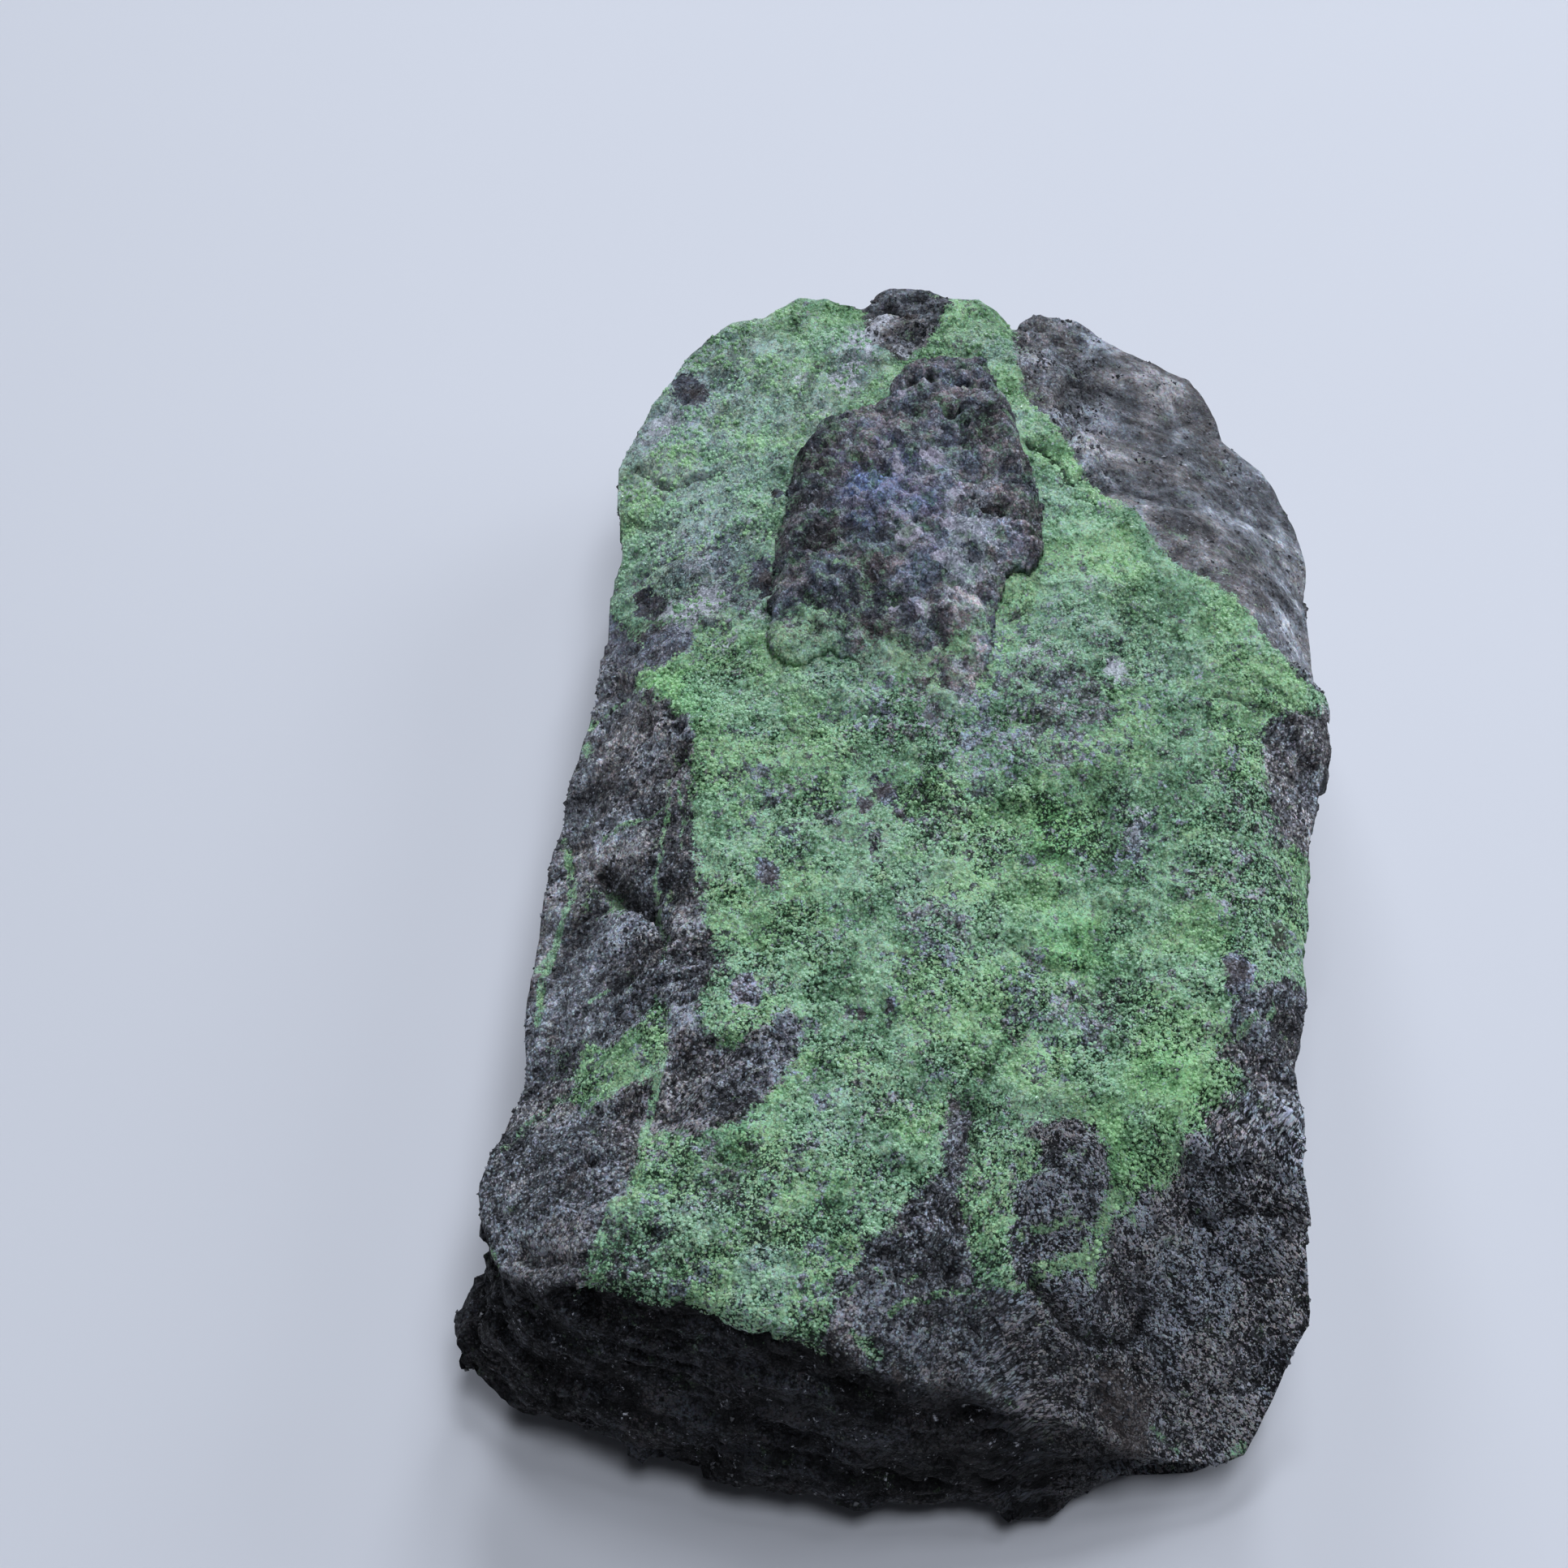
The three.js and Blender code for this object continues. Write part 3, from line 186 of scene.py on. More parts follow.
VEINS = [
  ([(-20.44, 5.92), (-21.36, 6.41), (-22.25, 5.82), (-23.11, 6.03)], 0.4, 1),
  ([(-23.38, 4.09), (-22.96, 2.75)], 0.3, 0.8),
  ([(-17.05, -3.76), (-17.2, -7.08), (-17.67, -10.44), (-17.96, -12.51), (-17.51, -15.55), (-16.97, -17.94), (-17.15, -19.58)], 0.22, 0.75),
  ([(-17, -5.93), (-18.91, -6.38), (-20.58, -6.1), (-21.55, -6.32)], 0.22, 0.75),
  ([(-16.53, -4.39), (-16.07, -8.03), (-16.23, -10.95)], 0.2, 0.5),
  ([(-24.66, -4.33), (-24.02, -6.83), (-23.82, -10.18), (-24.41, -12.26), (-24.92, -14.8), (-25.58, -16.29), (-25.57, -18.77), (-25.74, -20.01)], 0.34, 0.8),
  ([(-23.32, -26.92), (-23.87, -26.75), (-25.25, -27.73), (-26.44, -28.85), (-27.6, -30.22)], 0.26, 1),
  ([(-25.77, -21.76), (-24.05, -23.09), (-22.8, -23.85)], 0.2, 0.5),
  ([(-25.94, -24.23), (-24.55, -24.3), (-23.05, -25.66)], 0.2, 0.5),
  ([(-16.94, -26.42), (-17.54, -29.75), (-17.81, -31.54), (-18.18, -32.84)], 0.3, 0.95),
  ([(-22.06, -20.19), (-21.29, -20.08), (-20.96, -19.87)], 0.3, 0.7),
  ([(-25.85, -15.49), (-25.1, -14.66), (-24.89, -14.18)], 0.34, 0.9),
  ([(-19.44, -37.14), (-20.09, -37.6), (-20.55, -39.08), (-20.94, -41)], 0.16, 1),
  ([(-27.96, -37.4), (-27.43, -38.79), (-26.96, -40.25)], 0.16, 0.9),
  ([(-6.17, -44.56), (-5.28, -44.13), (-5.08, -43.72)], 0.28, 0.9),
  ([(-3.68, -42.48), (-2.89, -42.98), (-2.09, -43.03), (-1.18, -42.36)], 0.22, 0.8),
  ([(-2.91, -45.13), (-1.7, -44.51), (-0.39, -43.9), (0.93, -43.41), (2.35, -42.95)], 0.2, 0.8),
  ([(-5.09, -46.52), (-4.4, -46.84), (-3.41, -47.09)], 0.25, 0.8),
  ([(4.92, -42.36), (5.55, -42.17)], 0.2, 0.9),
  ([(5.53, -39.03), (6.97, -39.02), (8.53, -38.36), (9.67, -38.22)], 0.35, 0.5),
  ([(6.22, -41.65), (6.62, -40.91), (8.03, -40.38), (9.39, -39.93)], 0.36, 1),
  ([(9.6, -39.88), (9.95, -40.73)], 0.3, 1),
  ([(11.25, -36.67), (12.33, -37), (12.66, -37.49)], 0.28, 0.5),
  ([(4.51, -47.1), (5.14, -47.16)], 0.25, 0.6),
  ([(13.7, -45.78), (14.37, -46.04), (15.93, -46.4)], 0.2, 0.6),
  ([(24.77, -9.98), (25.03, -12.83), (24.69, -15.83)], 0.2, 0.5),
  ([(22.39, -22.76), (21.07, -24.16), (19.83, -25.08)], 0.18, 0.9),
  ([(19.09, -30.06), (19.77, -29.4)], 0.2, 0.6),
  ([(24.67, -17.61), (23.74, -20.39)], 0.2, 0.5)]
GROOVES = [
  ([(8.33, 26.65), (9.36, 25.71), (10.47, 24.28), (11.01, 23.2), (11.55, 22.38), (12.32, 23.24), (13.59, 24.03)], 0.22, 0.9),
  ([(8.16, 23.09), (9.75, 21.9), (11.47, 20.98), (12.9, 20.19)], 0.18, 0.35),
  ([(5.42, -19.31), (6.24, -19.85), (7.02, -21.2)], 0.22, 0.6),
  ([(7.17, -20.31), (8.2, -20.77), (9.24, -20.99), (10.47, -20.58)], 0.2, 0.55),
  ([(10.61, -17.88), (11.03, -18.94), (10.59, -20.2)], 0.22, 0.5),
  ([(5.76, -30.23), (6.24, -29.77), (6.72, -29.3)], 0.12, 0.45),
  ([(2.54, -30.34), (2.54, -33.5), (2.24, -36.84), (1.86, -39.92)], 0.13, 0.4),
  ([(6.22, 8.32), (7.16, 9.03), (7.87, 9.67)], 0.3, 0.7),
  ([(5.37, 7.01), (6.7, 6.42)], 0.2, 0.4),
  ([(6.06, -41.69), (6.91, -41.96), (7.45, -42.36), (8.21, -42.84), (9.6, -42.76), (11.43, -42.57), (12.72, -41.78), (13.56, -40.56)], 0.34, 0.85),
  ([(13.02, -41), (13.3, -39.62), (12.82, -38.93)], 0.25, 0.6),
  ([(16.44, -35.34), (17.75, -35.34), (19.58, -34.5)], 0.35, 0.7),
  ([(19.63, -34.28), (21.56, -34.63), (23.54, -35.53)], 0.36, 0.75),
  ([(15.71, -33.32), (16.83, -33.52), (19.35, -33.01)], 0.32, 0.7),
  ([(19.89, -32.6), (21.51, -32.84), (23.55, -33.3)], 0.3, 0.6),
  ([(17.24, -36.94), (19.48, -37.1), (22.07, -37.34)], 0.3, 0.5),
  ([(14.04, -41.84), (15.19, -43.37), (15.01, -44.91)], 0.3, 0.5),
  ([(18.54, -43.27), (20.69, -42.23), (22.7, -40.85)], 0.3, 0.5),
  ([(-25.74, -38.47), (-24.73, -39.37), (-23.09, -40.42)], 0.45, 0.6),
  ([(-21.51, -9.15), (-20.47, -11.39), (-19.12, -13.28), (-18.26, -14.27)], 0.55, 1.3),
  ([(-18.26, -14.27), (-17.39, -16.19), (-16.97, -17.68)], 0.35, 0.8),
  ([(-17.54, 2.9), (-16.45, 0.23), (-16.17, -2.44)], 0.35, 0.5),
  ([(20.49, 1.9), (22.17, 1.71), (23.81, 1.12), (25.45, 0.32)], 0.2, 0.6),
  ([(23.38, 3.24), (24.74, 2.53), (26.13, 1.7), (27.68, 1.78)], 0.18, 0.5),
  ([(-20.42, 30.4), (-19.06, 28.27), (-17.67, 26.61), (-16.32, 26.67), (-15.1, 26.83), (-13.89, 26.84)], 0.25, 0.7),
  ([(-21.22, 25.46), (-19.32, 23.69), (-17.46, 22.78)], 0.3, 0.4),
  ([(-5.84, 39.33), (-6.61, 36.61), (-7.84, 34.03)], 0.3, 0.3),
  ([(16.42, 14.56), (17, 13.06), (17.91, 12.77)], 0.2, 0.6),
  ([(-11.33, 3.11), (-9.65, 2.47), (-7.41, 2.56)], 0.15, 0.25),
  ([(-4.09, 0.27), (-2.44, -0.13), (-0.79, -0.51), (0.87, -0.76)], 0.2, 0.35),
  ([(12.55, -18.28), (13.49, -20.14), (12.96, -22.01)], 0.15, 0.3),
  ([(-13.67, -34.24), (-12.39, -35.53), (-10.87, -35.52)], 0.2, 0.4),
  ([(-17.54, -42.13), (-16.05, -42.04), (-14.55, -42.88), (-13.05, -44)], 0.18, 0.4),
  ([(-19.63, -39.06), (-18.09, -39.84), (-16.85, -39.67)], 0.2, 0.35),
  ([(-10.61, -37.39), (-9.11, -38.58), (-8.11, -38.33)], 0.16, 0.3),
  ([(-1.95, -3.67), (0.22, -4.41), (1.87, -4.08)], 0.15, 0.3),
  ([(-6.47, -19.02), (-4.9, -19.71), (-3.58, -19.14)], 0.15, 0.3),
  ([(15.77, -1.45), (17.27, -3.62), (19.43, -3.98)], 0.15, 0.35),
  ([(11.64, -5.8), (13.18, -7.48), (15.3, -8.42)], 0.15, 0.35),
  ([(-14.82, -25.04), (-13.76, -26.27), (-11.95, -26.63)], 0.2, 0.4),
  ([(-12.62, -8.57), (-10.99, -9.47), (-9.64, -8.92)], 0.14, 0.25),
  ([(22.94, 25.43), (24.81, 24.73), (26.88, 25.48)], 0.4, 0.5),
  ([(12.57, 36.77), (15.15, 37.04), (17.62, 35.99)], 0.35, 0.6),
  ([(16.75, 33.33), (19.32, 33.54), (22.28, 36.89)], 0.3, 0.6),
  ([(15.2, 22.96), (17.59, 22.34), (19.65, 24.32)], 0.3, 0.45),
  ([(16.47, 22.19), (17.59, 22.34)], 0.3, 0.5)]
# lighter and darker drifts of the druse: x, y, radius, amount; the dark spot at 10.52, 14.42, just right of the scab,
# is the scab's shadow painted on the druse
TONE = [
  (-15.56, -41.46, 2.99, -0.45), (8.61, -11.97, 2.96, -0.85), (9.8, -20.22, 2.37, -0.9), (-9.6, -44.68, 1.96, -0.5), (-1.98, -31.26, 1.78, -0.3), (-14.63, -37.75, 2.27, -0.3),
  (-2.19, -15.33, 2.92, 0.35), (-20.65, -25.66, 2.24, 0.3), (-10.3, 37.27, 2.87, 0.35), (2.86, -40.71, 1.54, 0.2), (-12.78, -19.93, 2.38, 0.15), (10.13, -23.93, 3.14, -0.2),
  (4.6, -18.52, 2.64, -0.2), (-0.74, -21.71, 2.61, -0.15), (10.52, 14.42, 1.5, -0.8), (-15.5, 15.24, 2, 0.9), (-21.53, 25.6, 1.65, 0.5), (-12.31, 19.45, 1.61, 0.6),
  (-18.06, 22.53, 1.81, 0.7), (-8.17, 26.75, 1.23, 0.6), (-7.31, 21.08, 1.19, 0.6), (-16.89, 39.86, 2.13, 0.5), (-7.38, 8.13, 2.29, -0.5), (-3.67, -7.88, 1.36, -0.5),
  (-9.09, -11.72, 2.16, -0.4), (-2.93, 3.5, 1.68, -0.5), (8.58, -12.63, 1.88, -0.5), (12.73, -15.13, 1.33, -0.4), (8.25, -19.64, 1.32, -0.4), (15.63, -19.54, 1.57, -0.5),
  (22.29, -10.4, 2.31, -0.5), (18.58, -15.15, 1.34, -0.4), (-12.62, -37.87, 1.76, -0.7), (-14.7, -32.99, 1.28, -0.5), (-18.82, -32.42, 1.1, -0.5), (-1.98, -31.26, 1.53, -0.4),
  (9.65, -34.19, 1.29, -0.5), (-10.73, -6.06, 1.65, 0.4), (-3.25, -15.31, 1.33, 0.4), (5.39, -12.02, 0.97, 0.6), (15.86, -16.09, 1.48, 0.6), (2.34, -6.54, 1.63, 0.5),
  (7.22, -6.9, 1.36, 0.5), (-14.39, -18.44, 1.08, 0.6), (-11.17, -26.35, 1.29, 0.5), (-7.04, -27.46, 1.14, 0.6), (10.79, -31.03, 1.23, 0.6), (18.55, -1.38, 1.95, -0.3),
  (22.12, -11.97, 1.9, -0.35), (10.89, -14.52, 1.61, -0.35), (9.32, 13.55, 1.27, -0.4), (-9.62, -22.25, 1.31, -0.35), (-8.59, -27.95, 1.29, -0.35), (-0.98, -32.13, 1.53, -0.35),
  (-13.63, -37.21, 1.77, -0.3), (-9.61, -36.29, 1.76, -0.3), (-7.63, -43.09, 1.73, -0.35), (-16.54, -42.22, 1.5, -0.3), (-19.34, 24.51, 2.85, 0.5), (-18.24, 30.6, 2.11, 0.4),
  (-9.67, 29.08, 1.9, 0.4), (-19.22, -19.15, 1.62, 0.3), (-13.24, -26.58, 2.08, 0.3), (22.17, 1.84, 1.69, 0.5), (-19.59, -40.23, 1.54, -0.6), (-16.01, -43.89, 1.39, -0.5),
  (-7.61, -39.17, 1.89, -0.5), (-8.35, -34.91, 1.82, -0.5), (-17.73, -34.51, 1.3, -0.6), (-12.57, -42.41, 0.89, -0.3), (11.8, -7.86, 1.96, -0.5), (7.75, -30.53, 2.3, 0.5),
  (12.8, -32.19, 2.35, 0.5), (-15.76, 29.52, 2.64, 0.5), (-10.85, 21.93, 2.51, 0.4), (-17.07, 6.91, 2.56, 0.5), (-16.98, 3.25, 2.96, 0.9), (-14.48, 25.46, 4.76, 0.6),
  (-11.49, 29.68, 3.87, 0.45), (10.68, 17.32, 3.2, 0.75), (15.6, 12.83, 3.17, 0.7), (20.99, 8.5, 2.82, 0.7), (23.98, 3.77, 2.27, 0.6), (11.55, 24.29, 1.75, 0.7),
  (10.2, 34.31, 1.63, 0.4), (0.51, -13.71, 3.2, 0.55), (6.35, -17.19, 2.39, 0.65), (-9.63, -19.16, 2.11, 0.3), (-7.02, -23.84, 2.08, 0.55), (-3.73, -29.47, 3.07, 0.45),
  (-1.54, -34.76, 2.53, 0.35), (16.03, -21.39, 3.65, 0.55), (17.8, -26.96, 2.75, 0.6), (-14.11, -38.97, 2.41, 1), (-10.79, -43.56, 1.48, 1), (-6.59, -35.85, 2.51, 0.35),
  (13.29, -33.92, 2.16, 0.7), (-7.43, -0.67, 2.77, 0.35), (-12.6, -10.72, 1.9, 0.4), (-8.24, 3.87, 2.26, 0.5), (-12.98, 0.51, 2.25, 0.6), (12.78, 13.62, 2.3, 0.4),
  (10.59, -20.2, 2.11, 0.3), (21.72, -13.16, 2.34, -0.4), (3.77, -34.57, 1.27, 0.3), (9.86, -39.61, 1.36, 0.5), (-5.55, -31.81, 2.03, 0.5), (1.7, -27.21, 2.57, 0.4),
  (18.79, 1.66, 3.38, 0.35), (14.3, 1.45, 2.25, -0.3), (6.12, -7.25, 2.72, -0.4), (9.28, -9.28, 3.25, -0.7), (13.46, -11.85, 2.7, -0.6), (17.62, -6.39, 2.73, -0.4),
  (8.75, -20.25, 2.64, -0.5), (12.02, -18.29, 1.86, -0.3), (9.65, -12.61, 2.69, -0.6), (4.82, -12.69, 1.61, -0.4), (16.1, -12.49, 1.61, -0.3), (9.15, 10.33, 1.71, -0.6),
  (17.05, 0.82, 2.24, -0.4), (-10.74, -3.29, 1.94, -0.4), (-9.09, -10.36, 2.71, -0.35), (-11.71, -23.14, 2.09, -0.3), (-5.19, -22.76, 2.09, 0.5), (-2.88, -24.72, 1.55, 0.4),
  (-0.16, -19.2, 1.58, 0.4), (5.84, -7.6, 1.9, 0.3), (15.88, -15.78, 1.06, 0.4), (19.13, -18.37, 1.34, 0.5), (-13.61, 5.78, 1.79, 0.5), (-12.03, 20.64, 1.93, 0.5),
  (-19.96, 24.84, 2.12, 0.6), (-17.6, 29.43, 2.04, 0.5), (-6.63, 33.84, 2.46, 0.5), (-4.11, 39.52, 2.48, 0.5), (-12.64, -35.51, 2.54, -0.45), (-9.61, -40.25, 2.49, -0.45),
  (-14.19, -33.02, 1.53, -0.4), (-3.2, -44.34, 2.03, -0.5), (2.49, -35.19, 1.52, -0.3), (-4.11, -38.13, 2, 0.3), (10.82, -30.48, 1.54, 0.4), (11.15, -37.48, 0.99, 0.5),
  (9.88, -40.35, 0.77, 0.6), (7.51, -40.6, 0.75, 0.6), (3.11, -41.5, 1.24, 0.5), (-0.43, -30.65, 1.23, -0.3), (-14.8, -26.46, 2.09, 0.4), (-19.16, -21.22, 1.95, 0.5),
  (4.85, -25.68, 2.08, -0.4), (-13.17, -33.69, 1.78, -0.6), (-17.67, -36.93, 1.53, -0.6), (-10.62, -36.82, 2.01, -0.5), (2.93, -37.33, 1.27, -0.6), (2.86, -40.93, 1.13, -0.5),
  (17.73, 10.46, 2.28, -0.45), (11.35, 8.82, 2.28, -0.6), (20.99, 1.08, 2.28, -0.4), (-1.89, -0.14, 2.77, -0.3), (-9.64, -5.47, 2.2, -0.3), (-14.9, -19.64, 2.18, -0.3),
  (9.96, 25.88, 0.98, -0.7), (19.67, -8.29, 2.21, -0.5), (-5.39, -16.53, 2.12, -0.4), (-16.38, 29.76, 2, -0.4), (2.73, 5.64, 2.25, -0.2), (-7.57, -29.25, 2.05, -0.4),
  (1.9, -20.47, 2.1, -0.2), (23.17, -5.52, 1.76, -0.4), (3.65, -38.77, 1.28, -0.5), (-5.39, -40.91, 1.98, -0.3), (-1.81, -22.93, 2.08, -0.3),
]
GREY = [
  (8.61, -11.97, 2.69, -0.6), (10.07, -20.21, 2.37, -0.5), (10.31, -30.49, 2.31, -0.7), (7.36, -27.66, 2.07, -0.7), (14.99, -29.68, 3.22, -0.7), (9.37, -18.36, 2.39, -0.6),
  (11.76, -3.7, 1.93, -0.6), (8.74, -9.29, 1.63, -0.6), (-16.36, 1.37, 2.23, -0.9), (-17.61, 5.44, 1.97, -0.9), (11.72, -33.96, 2.11, -0.6), (18.86, -18.38, 2.13, -0.5),
  (-2.29, -20.43, 2.09, -0.4), (-11.14, -32.03, 2.56, -0.4), (-18.92, -29.13, 1.71, -0.4), (-7.38, 8.13, 2.29, 0.5), (10.05, 5.74, 1.41, 0.4), (8.63, -0.2, 4.44, 0.75),
  (2.5, -1.62, 3.31, 0.6), (11.21, -3.71, 3.3, 0.7), (6.57, 3.42, 2.8, 0.45), (-6.93, -9.14, 2.71, 0.45), (-0.1, -16.65, 2.65, 0.45), (0.91, -18.57, 2.11, 0.6),
  (8.56, -23.99, 3.14, 0.5), (9.52, -25.78, 2.6, 0.5), (-11.27, -7.02, 2.47, 0.45), (-3.33, -20.4, 2.62, 0.4), (6.23, 8.71, 2.56, 0.5), (11.02, 2.79, 2.81, 0.5),
  (14.13, -9.81, 1.63, 0.6), (-12.94, -3.77, 1.66, 0.4), (-6.9, -4.25, 2.19, 0.35), (13.89, -30.86, 2.1, 0.35), (0.9, 0.52, 2.22, 0.5), (-4.09, 0.63, 2.77, 0.5),
  (-12.71, -28.32, 2.07, 0.4), (7.79, -29.39, 3.08, 0.45), (10.31, -30.49, 2.05, 0.4), (-15.54, 17.02, 4, 0.55), (-14.29, 12.89, 3.23, 0.7), (-12.01, 18.9, 2.54, 0.4),
  (-17.48, 23.48, 2.82, 0.4), (-16.53, 8.46, 1.94, 0.3), (-7.28, 26.55, 1.52, 0.4), (-4.79, 34.54, 2.45, 0.3), (1.23, -7.23, 2.17, 0.3), (4.85, -12.03, 2.15, 0.4),
  (18.96, -17.08, 2.15, 0.4), (23.6, -8.57, 1.67, 0.7), (16.01, -13.83, 2.13, 0.35), (-7.59, -32.89, 2.54, 0.3), (-19.07, -40.86, 1.52, 0.6), (-17.54, -42.13, 1.51, 0.45),
  (-14.06, -42.36, 1.24, 0.4), (-3.61, -38.13, 2, 0.4), (-7.63, -42.54, 1.48, 0.3), (20.23, -1.27, 2.27, 0.3), (25.42, -0.38, 1.57, 0.5),
]
LILAC = [
  (-18.63, 33.59, 1.75, 1.1), (-3.3, 39.64, 1.24, 1.7), (-1.88, 42.34, 0.87, 1.2), (-4.79, 35.01, 1.35, 0.9), (-15.42, 16.96, 1.46, 0.7), (-16.29, 10.71, 1.08, 0.6),
  (-16.83, 21.79, 1.42, 0.45), (-11.72, 19.22, 1.14, 0.45), (-8.15, 34.97, 1.12, 0.5), (-7.3, 22.84, 0.96, 0.45), (-14.99, 13.04, 1.71, 1.7), (-17.23, 13.03, 0.99, 1.1),
  (-13.07, 8.1, 1.08, 0.7), (-2.54, 40.69, 1.12, 0.9), (-3.53, 37.38, 1.54, 0.6), (-0.45, 37.61, 0.86, 0.9), (-4.8, 33.61, 1.34, 0.5), (-6.65, 30.19, 1.1, 0.4),
  (-20.04, 28.09, 1.75, 0.5), (7.23, 5.67, 1.41, 0.7), (9.41, 4.22, 1.69, 0.6), (13.58, 4.38, 1.02, 1), (14.11, 2.92, 0.79, 0.8), (10.94, 1.31, 1.4, 0.5),
  (14.21, -8.45, 0.76, 0.8), (14.19, -10.48, 0.76, 0.8), (6.42, -0.22, 1.66, 0.5), (12.37, 11.58, 0.69, 0.6), (2.43, -3.73, 1.64, 0.35), (16.1, -12.49, 0.64, 0.4),
  (-19.25, 21.1, 1.91, 0.5), (-10.8, 9.98, 1.18, 0.4), (-18.24, 30.6, 2.11, 0.3), (-8.76, 36.93, 1.88, 0.3), (-5.97, 39.54, 1.55, 0.4),
]
BROWN = [
  (-2.56, -6.5, 0.87, 0.9), (-3.77, -7.6, 0.76, 0.9), (-1.35, -8.68, 0.43, 0.8), (-10.27, -13.51, 0.86, 0.7), (-4.33, -24.28, 0.47, 0.8), (-2.46, -24.07, 0.41, 0.8),
  (19.91, -21.41, 1.18, 1), (23.1, -17.1, 1.12, 0.8), (-10.7, 14.01, 0.96, 0.9), (-9.9, 22.5, 0.55, 0.9), (-16.5, 36.68, 1.47, 0.5), (-0.3, 42.93, 1.38, 0.7),
  (-18.99, 12.1, 3.15, 0.5), (-3.29, -11.05, 0.43, 0.6), (6.76, -29.7, 0.72, 0.6), (1.34, -31.21, 0.71, 0.6), (2.03, -33.51, 0.61, 0.5), (7.13, -33.29, 1.02, 0.5),
  (10.13, -35.11, 1.04, 0.4), (-13.72, -30.03, 1.55, 0.25), (12.48, -45.77, 2.25, 0.8), (11.38, -45.13, 1.67, 0.6), (17.41, -42.77, 3.44, 0.3), (-17.94, -26.34, 1.14, 0.3),
  (-17.33, -18.83, 1.21, 0.5), (-2.45, -47.67, 0.73, 0.7), (-22.95, -34.31, 0.73, 0.6), (-9.62, -27.28, 1.03, 0.2), (21.51, -30.71, 2.24, 0.3), (20.87, 35.9, 5.34, 0.35),
  (16.49, 23.63, 4.49, 0.25), (11.18, 34.86, 2.28, 0.3),
]
LUMPS = [
  (7.08, 11.23, 1.15, 0.7), (6.57, 9.88, 0.8, 0.4), (12.03, 27.7, 1.81, 0.5), (10.86, 30.12, 1.44, 0.35), (13.22, 24.84, 0.97, 0.4), (10.85, 39.49, 1.32, 0.3),
  (1.46, 0.66, 1.44, 0.5), (-16.98, 3.25, 2.63, 0.35), (-15.17, 31, 2.65, 0.4), (-15.54, 17.02, 3.33, 0.3), (-15.11, -38.91, 2.01, 0.35), (-10.84, -43.56, 1.97, 0.3),
  (6.32, -17.83, 1.59, 0.35), (13.83, 12, 2.29, 0.35), (19.69, 6.1, 2.79, 0.3), (2.21, -10.69, 2.15, 0.25), (15.93, -23.15, 2.62, 0.3), (-19.56, -41.35, 1.02, 0.3),
  (-22.61, -41.78, 1.21, 0.4), (-25.55, -35.85, 2.44, 0.5), (-27.3, -33.14, 1.43, 0.4), (-21.94, -33.1, 3.03, 0.4), (-20.93, -1.04, 3.07, 0.4), (-21.31, -15.08, 2.71, 0.35),
  (9.14, -41.8, 2.19, 0.8), (21.53, -33.51, 2.06, 0.6), (17.33, -39.81, 3.45, 0.5), (10.29, -44.66, 3.31, 0.5), (4.44, -43.97, 2.68, 0.4), (-0.18, -45.58, 2.11, 0.4),
  (23.57, -32.41, 1.55, 0.5), (23.06, -37.27, 2.01, 0.5), (20.74, -44.12, 1.61, 0.4), (8.59, -35.28, 3.09, 0.35), (-12.7, -29.5, 2.58, 0.3), (26.09, 19.37, 5.34, 0.5),
  (23.91, 33.52, 3.76, 0.4), (18.11, 41.33, 3.02, 0.4), (12.45, 43.58, 2.18, 0.4), (19.23, 20.43, 3.9, 0.3), (26.27, 11.15, 4.84, 0.4), (26.63, -0.39, 1.79, 0.5),
  (25.62, -5.31, 3.14, 0.4), (24.31, -13.5, 2.14, 0.3),
]
SLAB_GREEN = [
  (-8.97, 4.73, 1.49, 0.6), (-9.93, 6.34, 1.05, 0.55), (-7.42, 4.07, 1.36, 0.55), (-4.09, 3.09, 1.35, 0.8), (-2.45, 2.01, 1.12, 0.7), (-5.21, 2.11, 1.12, 0.7),
  (3.2, 5.61, 1.13, 0.5), (-8.8, 7.59, 1.74, 0.4), (-7.39, 8.59, 1.73, 0.35), (-5.72, 6.39, 1.48, 0.5), (-6.85, 4.94, 1.14, 0.4), (-5.32, 12.56, 0.69, 0.8),
  (-3.94, 13.28, 0.69, 0.6), (-2.39, 5.41, 1.24, 0.7), (-1.3, 3.88, 1.24, 0.7), (0.92, 3.84, 1.12, 0.55), (1.92, 0.21, 0.89, 0.9), (0.85, 1.3, 0.78, 0.8),
  (-0.39, 0.25, 0.78, 0.6), (3.86, 8.36, 1.14, 0.5), (4.64, 6.83, 0.91, 0.6), (-4.36, 24.3, 1.08, 0.3), (3.97, 11.5, 0.69, 0.4), (2.63, 5.32, 1.13, 0.4),
  (-9.65, 13.56, 0.72, 0.3), (-4.01, 8.65, 0.8, 0.35), (-5.15, 27.45, 0.85, 0.25),
]
SLAB_BROWN = [
  (-3.13, 10.64, 1.95, 0.9), (-4.56, 9.51, 1.38, 0.8), (-1.1, 12.58, 1.15, 0.5), (2.45, 34.71, 2.46, 0.6), (4.75, 31.63, 2.44, 0.8), (5.73, 26.67, 1.8, 0.7),
  (6.61, 19.75, 1.53, 0.5), (6.96, 14.75, 1.28, 0.7), (-6.77, 16.39, 1.77, 0.6), (-8.23, 12.44, 1.17, 0.6), (0.61, 33.8, 1.22, 0.5), (4.41, 23.17, 1.18, 0.4),
  (2.49, 0.92, 0.67, 0.6),
]
SLAB_BLUE = [
  (-2.67, 20.19, 2.95, 0.8), (-0.29, 22.61, 1.78, 0.8), (-3.88, 16.92, 1.76, 0.7), (1.34, 18.2, 2.05, 0.8), (-1.39, 25.38, 1.5, 0.6), (1.76, 13.2, 1.44, 0.5),
  (-0.08, 8.45, 1.14, 0.5), (-6.42, 24.11, 1.81, 0.4), (-5, 20.4, 1.78, 0.5),
]
